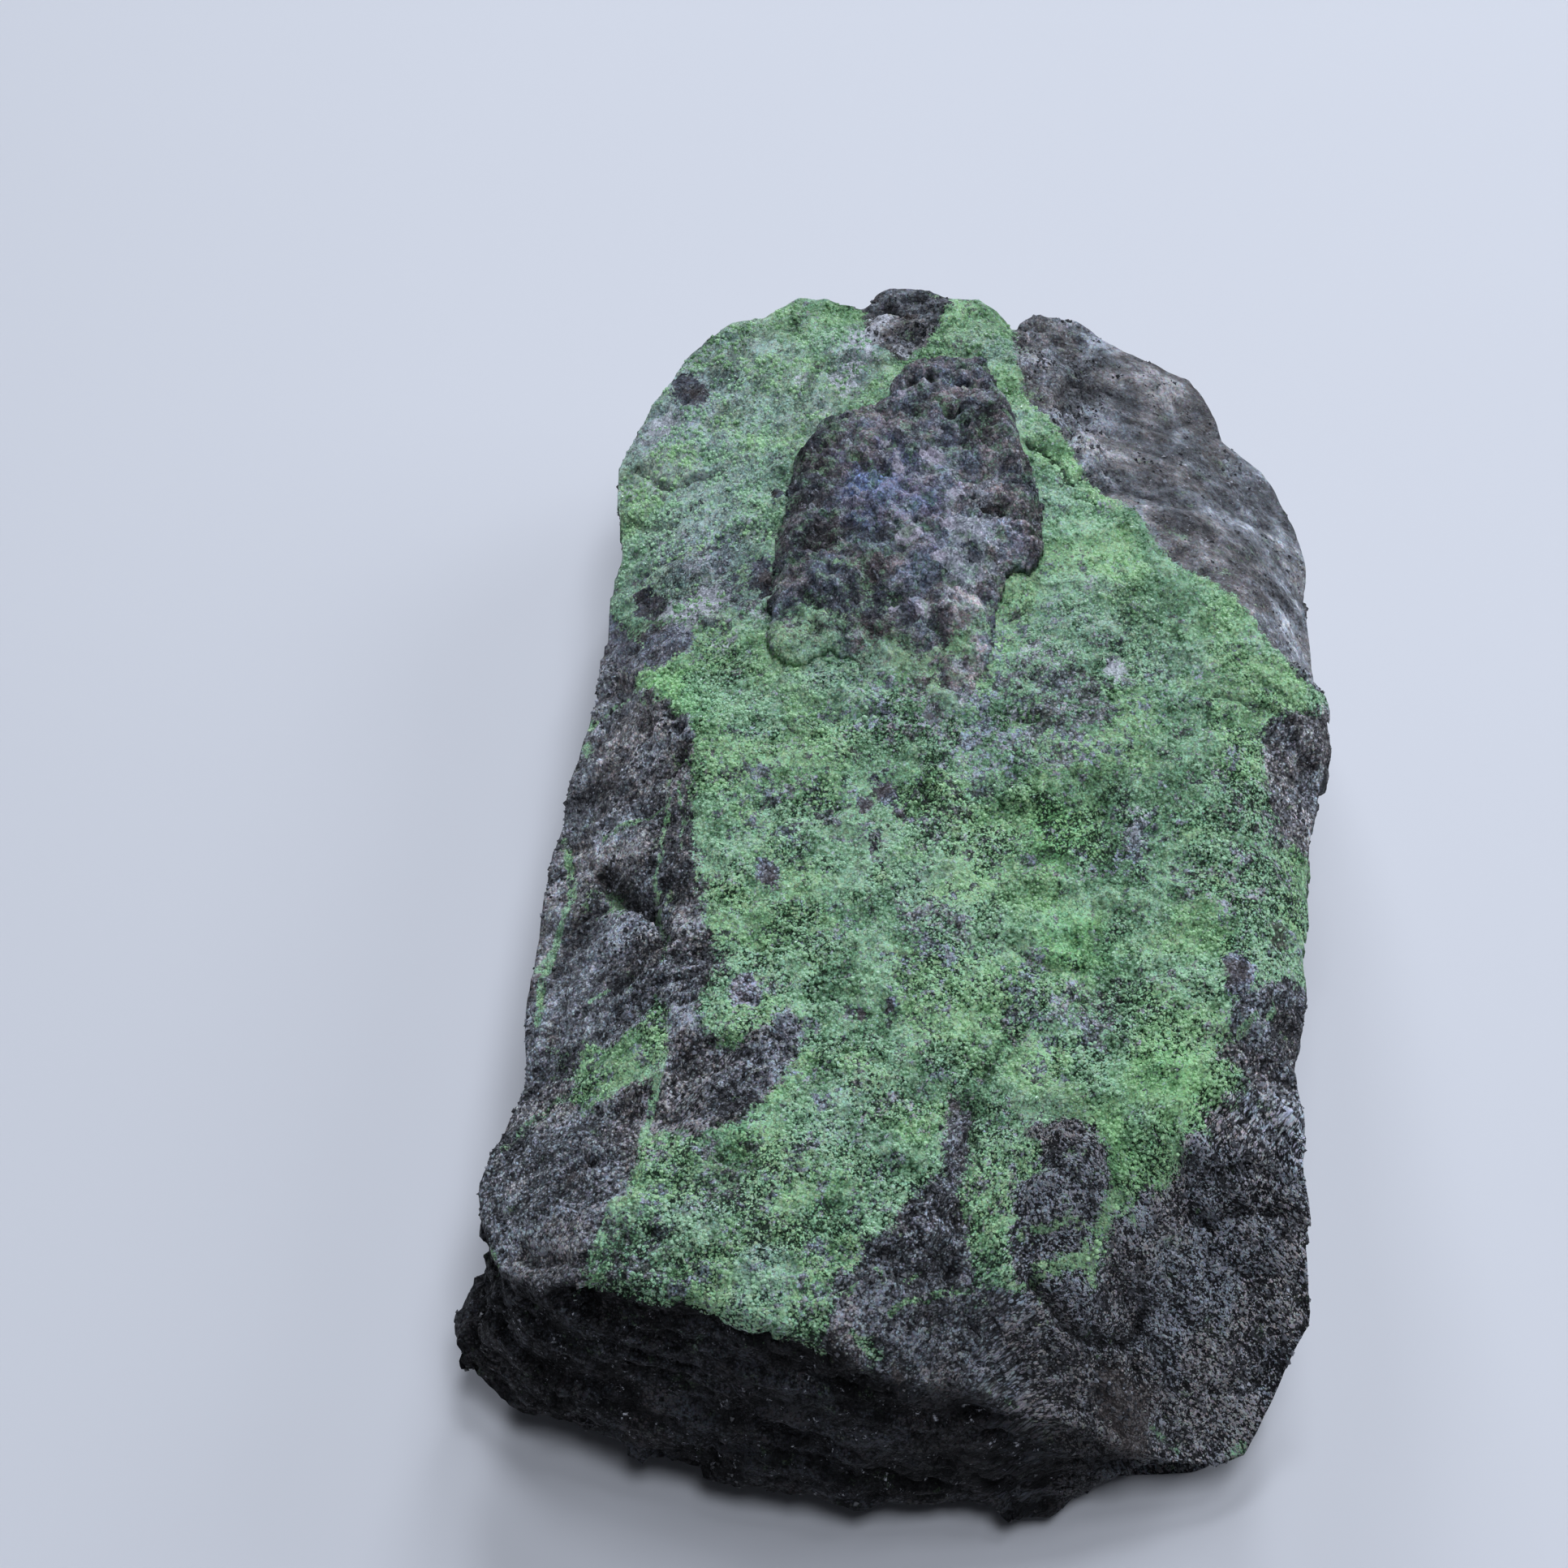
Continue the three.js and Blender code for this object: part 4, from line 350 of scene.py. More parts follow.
SLAB_LILAC = [
  (1.48, 23, 0.71, 1), (0.91, 23.39, 0.48, 0.9), (-0.99, 22.31, 0.53, 0.9), (-0.81, 15.37, 0.76, 1), (-0.12, 15.4, 0.58, 0.9), (2.59, 19.32, 0.53, 1),
  (3.32, 18.87, 0.53, 1), (2.42, 16.05, 0.58, 0.9), (3.3, 14.93, 0.7, 0.8), (4.12, 15.57, 0.58, 0.8), (4.65, 14.32, 0.46, 0.7), (-0.55, 30.79, 0.55, 0.7),
  (1.75, 12.96, 0.81, 0.7), (2.98, 12.32, 0.69, 0.6), (0.36, 8.04, 0.68, 0.8), (-1.65, 8.52, 0.57, 0.6), (-1.99, 24.98, 0.6, 0.6), (-1.13, 23.92, 0.48, 0.6),
  (2.78, 18.13, 0.47, 0.7), (5.58, 15.97, 0.58, 0.4), (3.81, 30.68, 0.49, 0.4), (-4.33, 5.89, 0.45, 0.6), (-7.91, 19.61, 0.6, 0.4), (8.04, 19.37, 0.47, 0.4),
]
SLAB_PITS = [
  (0.27, 32.37, 0.43, 1), (1.55, 32.8, 0.37, 1), (4.05, 32.26, 0.43, 0.9), (2.88, 28.1, 0.54, 1.2), (3.28, 27.59, 0.42, 1), (4.07, 18.76, 0.35, 1.1),
  (5.64, 17.56, 0.53, 0.9), (5.11, 17.23, 0.41, 0.8), (-7.35, 16.31, 0.47, 0.5), (-7.93, 15.73, 0.35, 0.4), (5.19, 20.59, 0.35, 0.5), (7.22, 20.6, 0.35, 0.5),
  (6.72, 22.43, 0.36, 0.5), (-1.3, 14.09, 0.69, 0.5), (-2.47, 15.57, 0.41, 0.4), (4.03, 13.1, 0.4, 0.5), (1.71, 2.37, 0.45, 0.5),
]
SLAB_FLECK = [
  (3.09, 18.96, 1.52, 0.9), (4.14, 15.99, 1.51, 1), (4.29, 12.29, 1.38, 1), (3.32, 9.14, 1.25, 0.8), (1.45, 22.04, 1.3, 0.6), (2.67, 14.79, 1.16, 0.9),
  (-0.1, 18.3, 1.4, 0.35), (-2.31, 23.66, 1.19, 0.3), (5.15, 19.75, 1.29, 0.6), (6.17, 16.4, 1.17, 0.5), (5.39, 11.49, 1.15, 0.5), (7.42, 12.32, 0.93, 0.5),
  (-0.67, 30.98, 1.58, 0.35), (4.15, 31.66, 1.58, 0.3), (-3.83, 20.29, 1.42, 0.3), (-7.33, 19, 1.43, 0.25), (4.33, 6.07, 1.25, 0.6), (3.67, 3.09, 1.12, 0.6),
  (2.47, 0.21, 1, 0.5), (0.49, 8.43, 1.25, 0.45), (1.77, 4.57, 1.24, 0.5),
  (3.4, 11.8, 1.5, 1.2), (4.4, 14.6, 1.3, 0.9), (2.2, 13.6, 1.0, 0.7),
]
FROST = [
  (-16.51, 37.08, 5.9, 0.8), (-13.45, 42.01, 4.79, 0.7), (-18.24, 30.6, 4.92, 0.8), (-13.26, 24.84, 6.13, 0.65), (-9.68, 34.36, 4.99, 0.5), (-3.53, 37.38, 2.77, 1),
  (-6.65, 30.19, 2.76, 0.7), (-16.15, 18.21, 4.74, 0.9), (-11.38, 11.82, 3, 0.6), (6.39, 38.72, 3.25, 0.7), (8.04, 29.1, 2.14, 0.6), (9.67, 20.23, 2.06, 0.35),
  (-7.41, 3.01, 3.36, 0.4), (12.49, 8.84, 3.99, 0.4), (-13.62, -37.81, 3.02, 0.5), (-10.59, -42.47, 2.23, 0.5), (17.84, 3.88, 3.4, 0.3), (-1.07, -12.7, 3.21, 0.35),
  (-4.52, -31.24, 3.05, 0.3),
  (-18.63, 33.59, 1.46, 1.1), (-14.99, 13.04, 1.84, 1.1), (-14.95, 17.61, 2.53, 0.7), (-21.29, 28.01, 0.97, 1), (-3.3, 39.64, 1.36, 1), (-4.79, 35.01, 1.59, 0.9), (-6.64, 32.03, 1.23, 0.6), (6.68, 25.7, 0.59, 0.5),
]

# shape of the broken wall under the rim, by bearing about AXIS:
# bearing, waist offset, waist z, foot offset, foot z, contact offset
AXIS = (-1.31, -5.25)
WALL = [
  (0, 0.5, 11, 0.2, 3.0, -2.8), (15, 0.2, 12, 0.0, 3.5, -3.0), (25, 0.5, 9, 0.2, 3.0, -2.8),
  (45, 1.0, 7, 0.8, 2.5, -2.2), (62, 1.4, 8, 1.2, 3.0, -2.2), (75, 2.2, 9, 2.0, 3.2, -1.6),
  (88, 2.6, 10, 2.2, 3.0, -1.4), (100, 2.4, 11, 1.4, 3.6, -2.4), (115, 1.6, 9, 0.6, 3.0, -3.0),
  (130, 0.6, 9, -0.4, 3.2, -3.8), (150, 0.3, 9, -0.6, 3.0, -3.8), (170, 0.2, 8.5, -1.0, 3.5, -4.4),
  (190, 0.2, 9, -0.9, 3.2, -4.2), (205, 0.0, 9, -1.2, 3.8, -4.8), (218, 0.0, 9.5, -0.8, 4.4, -4.8),
  (225, 0.3, 9.0, 1.6, 5.8, -3.4), (228, 1.4, 8.0, 4.5, 6.0, -2.6), (230, 3.8, 7.8, 5.4, 5.8, -2.4),
  (233, 2.2, 9.2, 3.3, 5.2, -3.4), (237, 1.4, 11, 2.0, 4.8, -4.4), (241, 1.0, 12, 1.6, 4.8, -5.6),
  (247, 0.7, 12.5, 2.1, 4.6, -6.0), (254, 0.3, 13, 1.9, 4.2, -6.0), (262, 0.2, 12, 1.0, 4.0, -6.4),
  (270, 0.3, 10, 0.5, 3.6, -6.0), (277, 0.2, 8, 0.2, 2.8, -4.5), (282, 0.3, 6, 0.3, 1.4, -2.6),
  (285, 0.0, 6, -0.9, 1.5, -2.6), (291, -0.3, 4.5, -2.4, 0.6, -2.6), (297, 0.0, 4.2, -1.9, 0.6, -2.2),
  (299, -0.2, 4.3, -2.2, 0.8, -2.4), (303, -0.5, 6, -2.0, 0.9, -2.5), (308, -0.5, 8, -1.6, 1.2, -2.6),
  (318, 0.1, 11, -0.2, 3.0, -3.0), (335, 0.3, 11, 0.0, 2.6, -2.8), (360, 0.5, 11, 0.2, 3.0, -2.8),
]

# the broken relief stands a little outside the smooth wall, so the looks start from a wall drawn in by this much
EASE = [(0, -1.4), (6, -1.5), (12, -1.0), (25, -0.9), (45, -0.5), (52, -0.3), (57, -0.6), (65, -0.5), (75, -0.1), (96, 0.0), (104, -0.5), (112, -0.9), (120, -1.8), (126, -1.7), (140, -0.6),
  (150, -0.6), (160, -0.2), (198, -0.3), (206, -1.0), (215, -0.9), (221, -0.3), (227, -0.7), (231, -1.5), (236, 0.0), (286, 0.0), (292, -0.8), (300, -1.0), (308, -0.7),
  (316, -0.3), (322, -1.1), (340, -1.3), (360, -1.4)]

# how light the bare rock is by region, partly its own tone and partly painted light and shade on facets turned towards
# or away from the lamps: x, y, radius, amount
LIT_AND_PALE = [
  (18.5, 33, 4, -0.64), (13.9, 37.6, 2.5, 0.5), (15.3, 24.2, 3.5, 0.6), (19.1, 19.2, 4, 0.75), (19.5, 12.5, 2.5, 0.6), (26, 30, 4, 0.8), (27, 25, 4, 0.7), (27.5, 17, 5, 0.85), (27.5, 10, 3.5, 0.9), (28.5, 4, 3, 0.9), (27, -1.4, 2.5, 0.9), (25.6, -5.3, 2.5, 0.8), (-23, 10, 4, 1.0), (-22, 2, 4, 1.3), (-22, -5, 4, 1.1),
  (-23, -13, 4.5, 0.3), (-23.5, -21, 4, 0.3), (-25.5, -33, 5, 0.15), (14, -40, 6, 0.0), (21, -28, 5, 0.45), (24, -34, 4, 0.5), (-3, -43, 3, -0.7), (2, -46, 4, -0.8), (7, -46.5, 4, -0.7), (23, -41, 4, 0.7), (8.6, -35.3, 3, -0.3), (-0.2, -40.5, 1.8, 0.5), (-27, -33, 3, 0.3), (-20, -17, 3.5, 0.5), (-24, -24, 4, 0.4),
]

# ---------------------------------------------------------------- noise, all hashed from integers
def _hash(ix, iy, iz, seed):
    h = (ix.astype(np.int64) * 374761393 + iy.astype(np.int64) * 668265263 + iz.astype(np.int64) * 2147483647 + seed * 1274126177) & 0xFFFFFFFF
    h = ((h ^ (h >> 13)) * 1274126177) & 0xFFFFFFFF
    h = ((h ^ (h >> 16)) * 2246822519) & 0xFFFFFFFF
    h = (h ^ (h >> 15)) & 0xFFFFFFFF
    return h / 4294967295.0


def vnoise(P, size, seed=0):
    """Smooth value noise, -1 to 1, one lump per size millimetres."""
    Q = P / size
    I = np.floor(Q).astype(np.int64)
    f = Q - I
    f = f * f * f * (f * (f * 6 - 15) + 10)
    out = np.zeros(len(P))
    for dx in (0, 1):
        wx = f[:, 0] if dx else 1 - f[:, 0]
        for dy in (0, 1):
            wy = f[:, 1] if dy else 1 - f[:, 1]
            for dz in (0, 1):
                wz = f[:, 2] if dz else 1 - f[:, 2]
                out += wx * wy * wz * _hash(I[:, 0] + dx, I[:, 1] + dy, I[:, 2] + dz, seed)
    return 2 * out - 1


def fbm(P, size, octaves=3, gain=0.5, seed=0):
    total, amp, out = 0.0, 1.0, np.zeros(len(P))
    for k in range(octaves):
        out += amp * vnoise(P + 17.3 * k, size / 2**k, seed + 31 * k)
        total += amp
        amp *= gain
    return out / total


def cells(P, size, seed=0, jitter=0.9):
    """Nearest and second nearest feature point: distances, the offset to the nearest, and 3 random numbers of that cell."""
    Q = P / size
    I = np.floor(Q).astype(np.int64)
    n = len(P)
    d1 = np.full(n, 1e9)
    d2 = np.full(n, 1e9)
    off = np.zeros((n, 3))
    cell = np.zeros((n, 3), np.int64)
    for dx in (-1, 0, 1):
        for dy in (-1, 0, 1):
            for dz in (-1, 0, 1):
                J = I + np.array([dx, dy, dz])
                C = J + 0.5 + jitter * (np.stack([_hash(J[:, 0], J[:, 1], J[:, 2], seed + s) for s in (11, 23, 37)], 1) - 0.5)
                v = Q - C
                d = (v**2).sum(1)
                near = d < d1
                d2 = np.where(near, d1, np.minimum(d2, d))
                d1 = np.where(near, d, d1)
                off[near] = v[near]
                cell[near] = J[near]
    rnd = np.stack([_hash(cell[:, 0], cell[:, 1], cell[:, 2], seed + s) for s in (53, 71, 97)], 1)
    return np.sqrt(d1) * size, np.sqrt(d2) * size, off * size, rnd


def smooth(a, b, x):
    t = np.clip((x - a) / (b - a), 0, 1)
    return t * t * (3 - 2 * t)


def facets(P, size, seed):
    """Broken-grain relief: each grain is a small tilted plane. About -1 to 1."""
    d1, d2, off, rnd = cells(P, size, seed)
    tilt = 2 * rnd - 1
    return (off * tilt).sum(1) / size * 1.6


# ---------------------------------------------------------------- distances in plan
def inside(poly, X, Y):
    """Signed distance to a closed outline in plan, positive inside, in millimetres."""
    A = np.asarray(poly, float)
    B = np.roll(A, -1, axis=0)
    best = np.full(len(X), 1e9)
    odd = np.zeros(len(X), bool)
    for (ax, ay), (bx, by) in zip(A, B):
        ex, ey = bx - ax, by - ay
        t = np.clip(((X - ax) * ex + (Y - ay) * ey) / (ex * ex + ey * ey + 1e-12), 0, 1)
        best = np.minimum(best, (X - ax - t * ex) ** 2 + (Y - ay - t * ey) ** 2)
        if ay != by:
            odd ^= ((ay > Y) != (by > Y)) & (X < ax + (Y - ay) / (by - ay) * ex)
    best = np.sqrt(best)
    return np.where(odd, best, -best)


def to_line(line, X, Y):
    best = np.full(len(X), 1e9)
    for (ax, ay), (bx, by) in zip(line[:-1], line[1:]):
        ex, ey = bx - ax, by - ay
        t = np.clip(((X - ax) * ex + (Y - ay) * ey) / (ex * ex + ey * ey + 1e-12), 0, 1)
        best = np.minimum(best, (X - ax - t * ex) ** 2 + (Y - ay - t * ey) ** 2)
    return np.sqrt(best)


def blobs(table, X, Y, warp=0.0, seed=0):
    """Sum of soft round spots, with ragged edges where warp is above 0."""
    if warp:
        P = np.stack([X, Y, np.zeros_like(X)], 1)
        X = X + warp * fbm(P, 1.6, 3, 0.6, seed)
        Y = Y + warp * fbm(P + 50, 1.6, 3, 0.6, seed + 5)
    out = np.zeros(len(X))
    for x, y, r, s in table:
        d2 = (X - x) ** 2 + (Y - y) ** 2
        m = d2 < (2.4 * r) ** 2
        out[m] += s * np.exp(-d2[m] / (r * r) * 1.1)
    return out


def rim_polar():
    R = np.array(RIM)
    dx, dy = R[:, 0] - AXIS[0], R[:, 1] - AXIS[1]
    th, r = np.arctan2(dy, dx) % (2 * np.pi), np.hypot(dx, dy)
    o = np.argsort(th)
    return th[o], r[o], R[o, 2]


RIM_TH, RIM_R, RIM_Z = rim_polar()
# the front edge is chipped back: bearing, amount
CHIP = [(0, 0.0), (236, 0.0), (243, 0.9), (252, 0.6), (260, 0.7), (264, 0.35), (268, 0.15), (274, 0.7), (278, 1.3), (282, 0.7), (286, 0.0), (360, 0.0)]
RIM_CHIP = np.interp(np.degrees(RIM_TH), [c[0] for c in CHIP], [c[1] for c in CHIP])
RIM_R = RIM_R - RIM_CHIP


# ---------------------------------------------------------------- the fitted top surface, as in the CAD source
FIT = 2.5
knots = []
for p in RIM + SURFACE:
    if not any(math.hypot(p[0] - q[0], p[1] - q[1]) < 1.6 for q in knots):
        knots.append(p)
K = np.array(knots, float)


def _kernel(dx, dy):
    return np.sqrt(dx * dx + dy * dy + FIT * FIT)


def _fit():
    n = len(K)
    A = np.zeros((n + 3, n + 3))
    A[:n, :n] = _kernel(K[:, None, 0] - K[None, :, 0], K[:, None, 1] - K[None, :, 1]) - 0.02 * np.eye(n)
    A[:n, n] = A[n, :n] = 1
    A[:n, n + 1 : n + 3] = K[:, :2]
    A[n + 1 :, :n] = K[:, :2].T
    return np.linalg.solve(A, np.r_[K[:, 2], 0, 0, 0])


WEIGHTS = _fit()


def top(X, Y):
    out = np.empty(len(X))
    for i in range(0, len(X), 40000):
        x, y = X[i : i + 40000], Y[i : i + 40000]
        out[i : i + 40000] = _kernel(x[:, None] - K[None, :, 0], y[:, None] - K[None, :, 1]) @ WEIGHTS[:-3] + WEIGHTS[-3] + WEIGHTS[-2] * x + WEIGHTS[-1] * y
    return out


def grooves(X, Y):
    out = np.zeros(len(X))
    P = np.stack([X, Y, np.zeros_like(X)], 1)
    wx, wy = X + 0.25 * fbm(P, 0.9, 2, 0.6, 401), Y + 0.25 * fbm(P, 0.9, 2, 0.6, 402)
    for line, width, depth in GROOVES:
        A = np.array(line)
        m = (X > A[:, 0].min() - 3 * width - 0.5) & (X < A[:, 0].max() + 3 * width + 0.5) & (Y > A[:, 1].min() - 3 * width - 0.5) & (Y < A[:, 1].max() + 3 * width + 0.5)
        if m.any():
            d = to_line(line, wx[m], wy[m])
            out[m] -= depth * np.exp(-((d / width) ** 2))
    return out


def over_rim(poly, near=1.9, push=4.0):
    """An outline whose points close to the rim are carried out over it."""
    out = []
    for x, y in poly:
        dx, dy = x - AXIS[0], y - AXIS[1]
        r = math.hypot(dx, dy)
        rim = float(np.interp(math.atan2(dy, dx) % (2 * math.pi), RIM_TH, RIM_R, period=2 * math.pi))
        gap = near + 2.6 * float(smooth(4.0, 14.0, np.array(y))) * (x < 9)
        k = (r + push) / r if rim - r < gap else 1.0
        out.append((AXIS[0] + dx * k, AXIS[1] + dy * k))
    return out


def crust_edge(X, Y):
    """How far inside the druse a plan point is, with a ragged edge, the separate patches counted in."""
    P = np.stack([X, Y, np.zeros_like(X)], 1)
    wx = X + 0.55 * fbm(P, 1.6, 4, 0.65, 211)
    wy = Y + 0.55 * fbm(P, 1.6, 4, 0.65, 223)
    d = inside(CRUST_OUT, wx, wy)
    for p in PATCHES:
        d = np.maximum(d, inside(p, wx, wy))
    return d


CRUST_OUT = over_rim(CRUST)


def windows(X, Y):
    P = np.stack([X, Y, np.zeros_like(X)], 1)
    wx = X + 0.3 * fbm(P, 1.0, 3, 0.65, 231)
    wy = Y + 0.3 * fbm(P, 1.0, 3, 0.65, 233)
    d = np.full(len(X), -9.0)
    for p in WINDOWS:
        A = np.array(p)
        m = (X > A[:, 0].min() - 2) & (X < A[:, 0].max() + 2) & (Y > A[:, 1].min() - 2) & (Y < A[:, 1].max() + 2)
        if m.any():
            d[m] = np.maximum(d[m], inside(p, wx[m], wy[m]))
    return d


def veins(X, Y):
    """Strength of the thin green veins on the rock, 0 to 1."""
    P = np.stack([X, Y, np.zeros_like(X)], 1)
    wx = X + 0.22 * fbm(P, 0.8, 3, 0.65, 241)
    wy = Y + 0.22 * fbm(P, 0.8, 3, 0.65, 243)
    out = np.zeros(len(X))
    for line, width, strength in VEINS:
        A = np.array(line)
        m = (X > A[:, 0].min() - 2) & (X < A[:, 0].max() + 2) & (Y > A[:, 1].min() - 2) & (Y < A[:, 1].max() + 2)
        if m.any():
            d = to_line(line, wx[m], wy[m])
            out[m] = np.maximum(out[m], strength * np.exp(-((d / (width * 0.95)) ** 2)))
    return out


# ---------------------------------------------------------------- mesh helpers
def mesh_of(name, V, F, attributes=None, smooth_shade=True):
    """A mesh object from vertices in millimetres and triangles or quads."""
    V = np.asarray(V, float)
    F = np.asarray(F, np.int32)
    me = bpy.data.meshes.new(name)
    k = F.shape[1]
    me.vertices.add(len(V))
    me.vertices.foreach_set("co", (V * MM).astype(np.float32).ravel())
    me.loops.add(F.size)
    me.loops.foreach_set("vertex_index", F.ravel())
    me.polygons.add(len(F))
    me.polygons.foreach_set("loop_start", np.arange(0, F.size, k, dtype=np.int32))
    me.polygons.foreach_set("loop_total", np.full(len(F), k, np.int32))
    me.update(calc_edges=True)
    me.validate()
    for key, values in (attributes or {}).items():
        a = me.attributes.new(key, "FLOAT", "POINT")
        a.data.foreach_set("value", np.asarray(values, np.float32))
    me.polygons.foreach_set("use_smooth", np.full(len(me.polygons), smooth_shade))
    ob = bpy.data.objects.new(name, me)
    bpy.context.scene.collection.objects.link(ob)
    return ob


def normals_of(V, F):
    n = np.zeros_like(V)
    for a, b, c in ((0, 1, 2),) if F.shape[1] == 3 else ((0, 1, 2), (0, 2, 3)):
        fn = np.cross(V[F[:, b]] - V[F[:, a]], V[F[:, c]] - V[F[:, a]])
        for k in (a, b, c):
            np.add.at(n, F[:, k], fn)
    return n / np.maximum(np.linalg.norm(n, axis=1, keepdims=True), 1e-12)


# ---------------------------------------------------------------- the rock
def skin(X, Y, d):
    """Height of the broken top over the fitted surface, shared by the rock and the druse on it."""
    P = np.stack([X, Y, np.zeros_like(X)], 1)
    bare = smooth(0.5, -0.9, d)
    rim = np.interp(np.arctan2(Y - AXIS[1], X - AXIS[0]) % (2 * np.pi), RIM_TH, RIM_R, period=2 * np.pi) - np.hypot(X - AXIS[0], Y - AXIS[1])
    calm = 0.45 + 0.55 * smooth(0.0, 1.4, rim)  # the broken edge itself runs fairly even
    z = 0.32 * fbm(P, 5.0, 3, 0.5, 101)
    z += 0.30 * fbm(P, 1.9, 3, 0.6, 103)
    # low ledges that run across, higher on the bare rock
    Q = np.stack([X * 0.42 + 0.22 * Y, Y * 0.92 - 0.22 * X, 0 * X], 1)
    ledge = fbm(Q, 2.4, 4, 0.6, 109)
    z += (0.40 + 0.25 * bare) * (smooth(-0.07, 0.05, ledge) - 0.5)
    step = fbm(Q + 40, 1.1, 3, 0.65, 113)
    z += (0.20 + 0.12 * bare) * (smooth(-0.06, 0.06, step) - 0.5)
    # thin cracks
    crack = np.abs(fbm(P, 3.4, 4, 0.6, 117))
    z -= 0.22 * smooth(0.035, 0.0, crack) * smooth(-0.1, 0.3, fbm(P, 6.0, 2, 0.5, 119))
    warp = 0.35 * np.stack([vnoise(P, 1.3, 64), vnoise(P, 1.3, 65), 0 * X], 1)
    slope = smooth(3.0, 9.0, X) * smooth(-20.0, -25.0, Y)
    planes = facets(P + 1.1 * np.stack([vnoise(P, 4, 61), vnoise(P, 4, 62), 0 * X], 1), 3.6, 7)
    z += bare * (0.38 * planes + (0.12 + 0.06 * slope) * facets(P + warp, 1.5, 17) + 0.09 * facets(P + warp, 0.8, 19))
    # the steep corner breaks in blades that run down to the right
    B = np.stack([(0.75 * X - 0.66 * Y) * 0.20, 0.66 * X + 0.75 * Y, 0 * X], 1) + 0.25 * vnoise(P, 2.0, 121)[:, None]
    z += bare * slope * (0.62 * fbm(B, 1.1, 4, 0.65, 123) + 0.55 * (smooth(-0.07, 0.07, fbm(B + 20, 2.2, 3, 0.6, 125)) - 0.5))
    # and towards the right edge in ledges that run across
    shelf = smooth(11.0, 15.0, X) * smooth(-29.0, -32.0, Y) * smooth(-41.0, -38.0, Y)
    H = np.stack([X * 0.22 + 0.05 * Y, Y * 0.95 + 0.20 * X, 0 * X], 1) + 0.20 * vnoise(P, 1.6, 131)[:, None]
    z += bare * shelf * 0.80 * (smooth(-0.10, 0.04, fbm(H, 1.3, 3, 0.6, 133)) - 0.5)
    z += (1 - bare) * (0.18 * facets(P + warp, 1.0, 29) + 0.10 * fbm(P, 0.6, 2, 0.6, 107))
    calm *= 1 - bare * (0.72 * smooth(12.0, 17.0, X) * smooth(4.0, 9.0, Y) + 0.20 * smooth(-18.0, -21.0, X))
    return calm * (z + grooves(X, Y) * (0.85 + 0.35 * bare)) + blobs(LUMPS, X, Y, 0.3, 5)


def soft_part(X, Y):
    """The wide swells of skin(), which don't count as relief."""
    return 0.32 * fbm(np.stack([X, Y, 0 * X], 1), 5.0, 3, 0.5, 101) + blobs(LUMPS, X, Y, 0.3, 5)


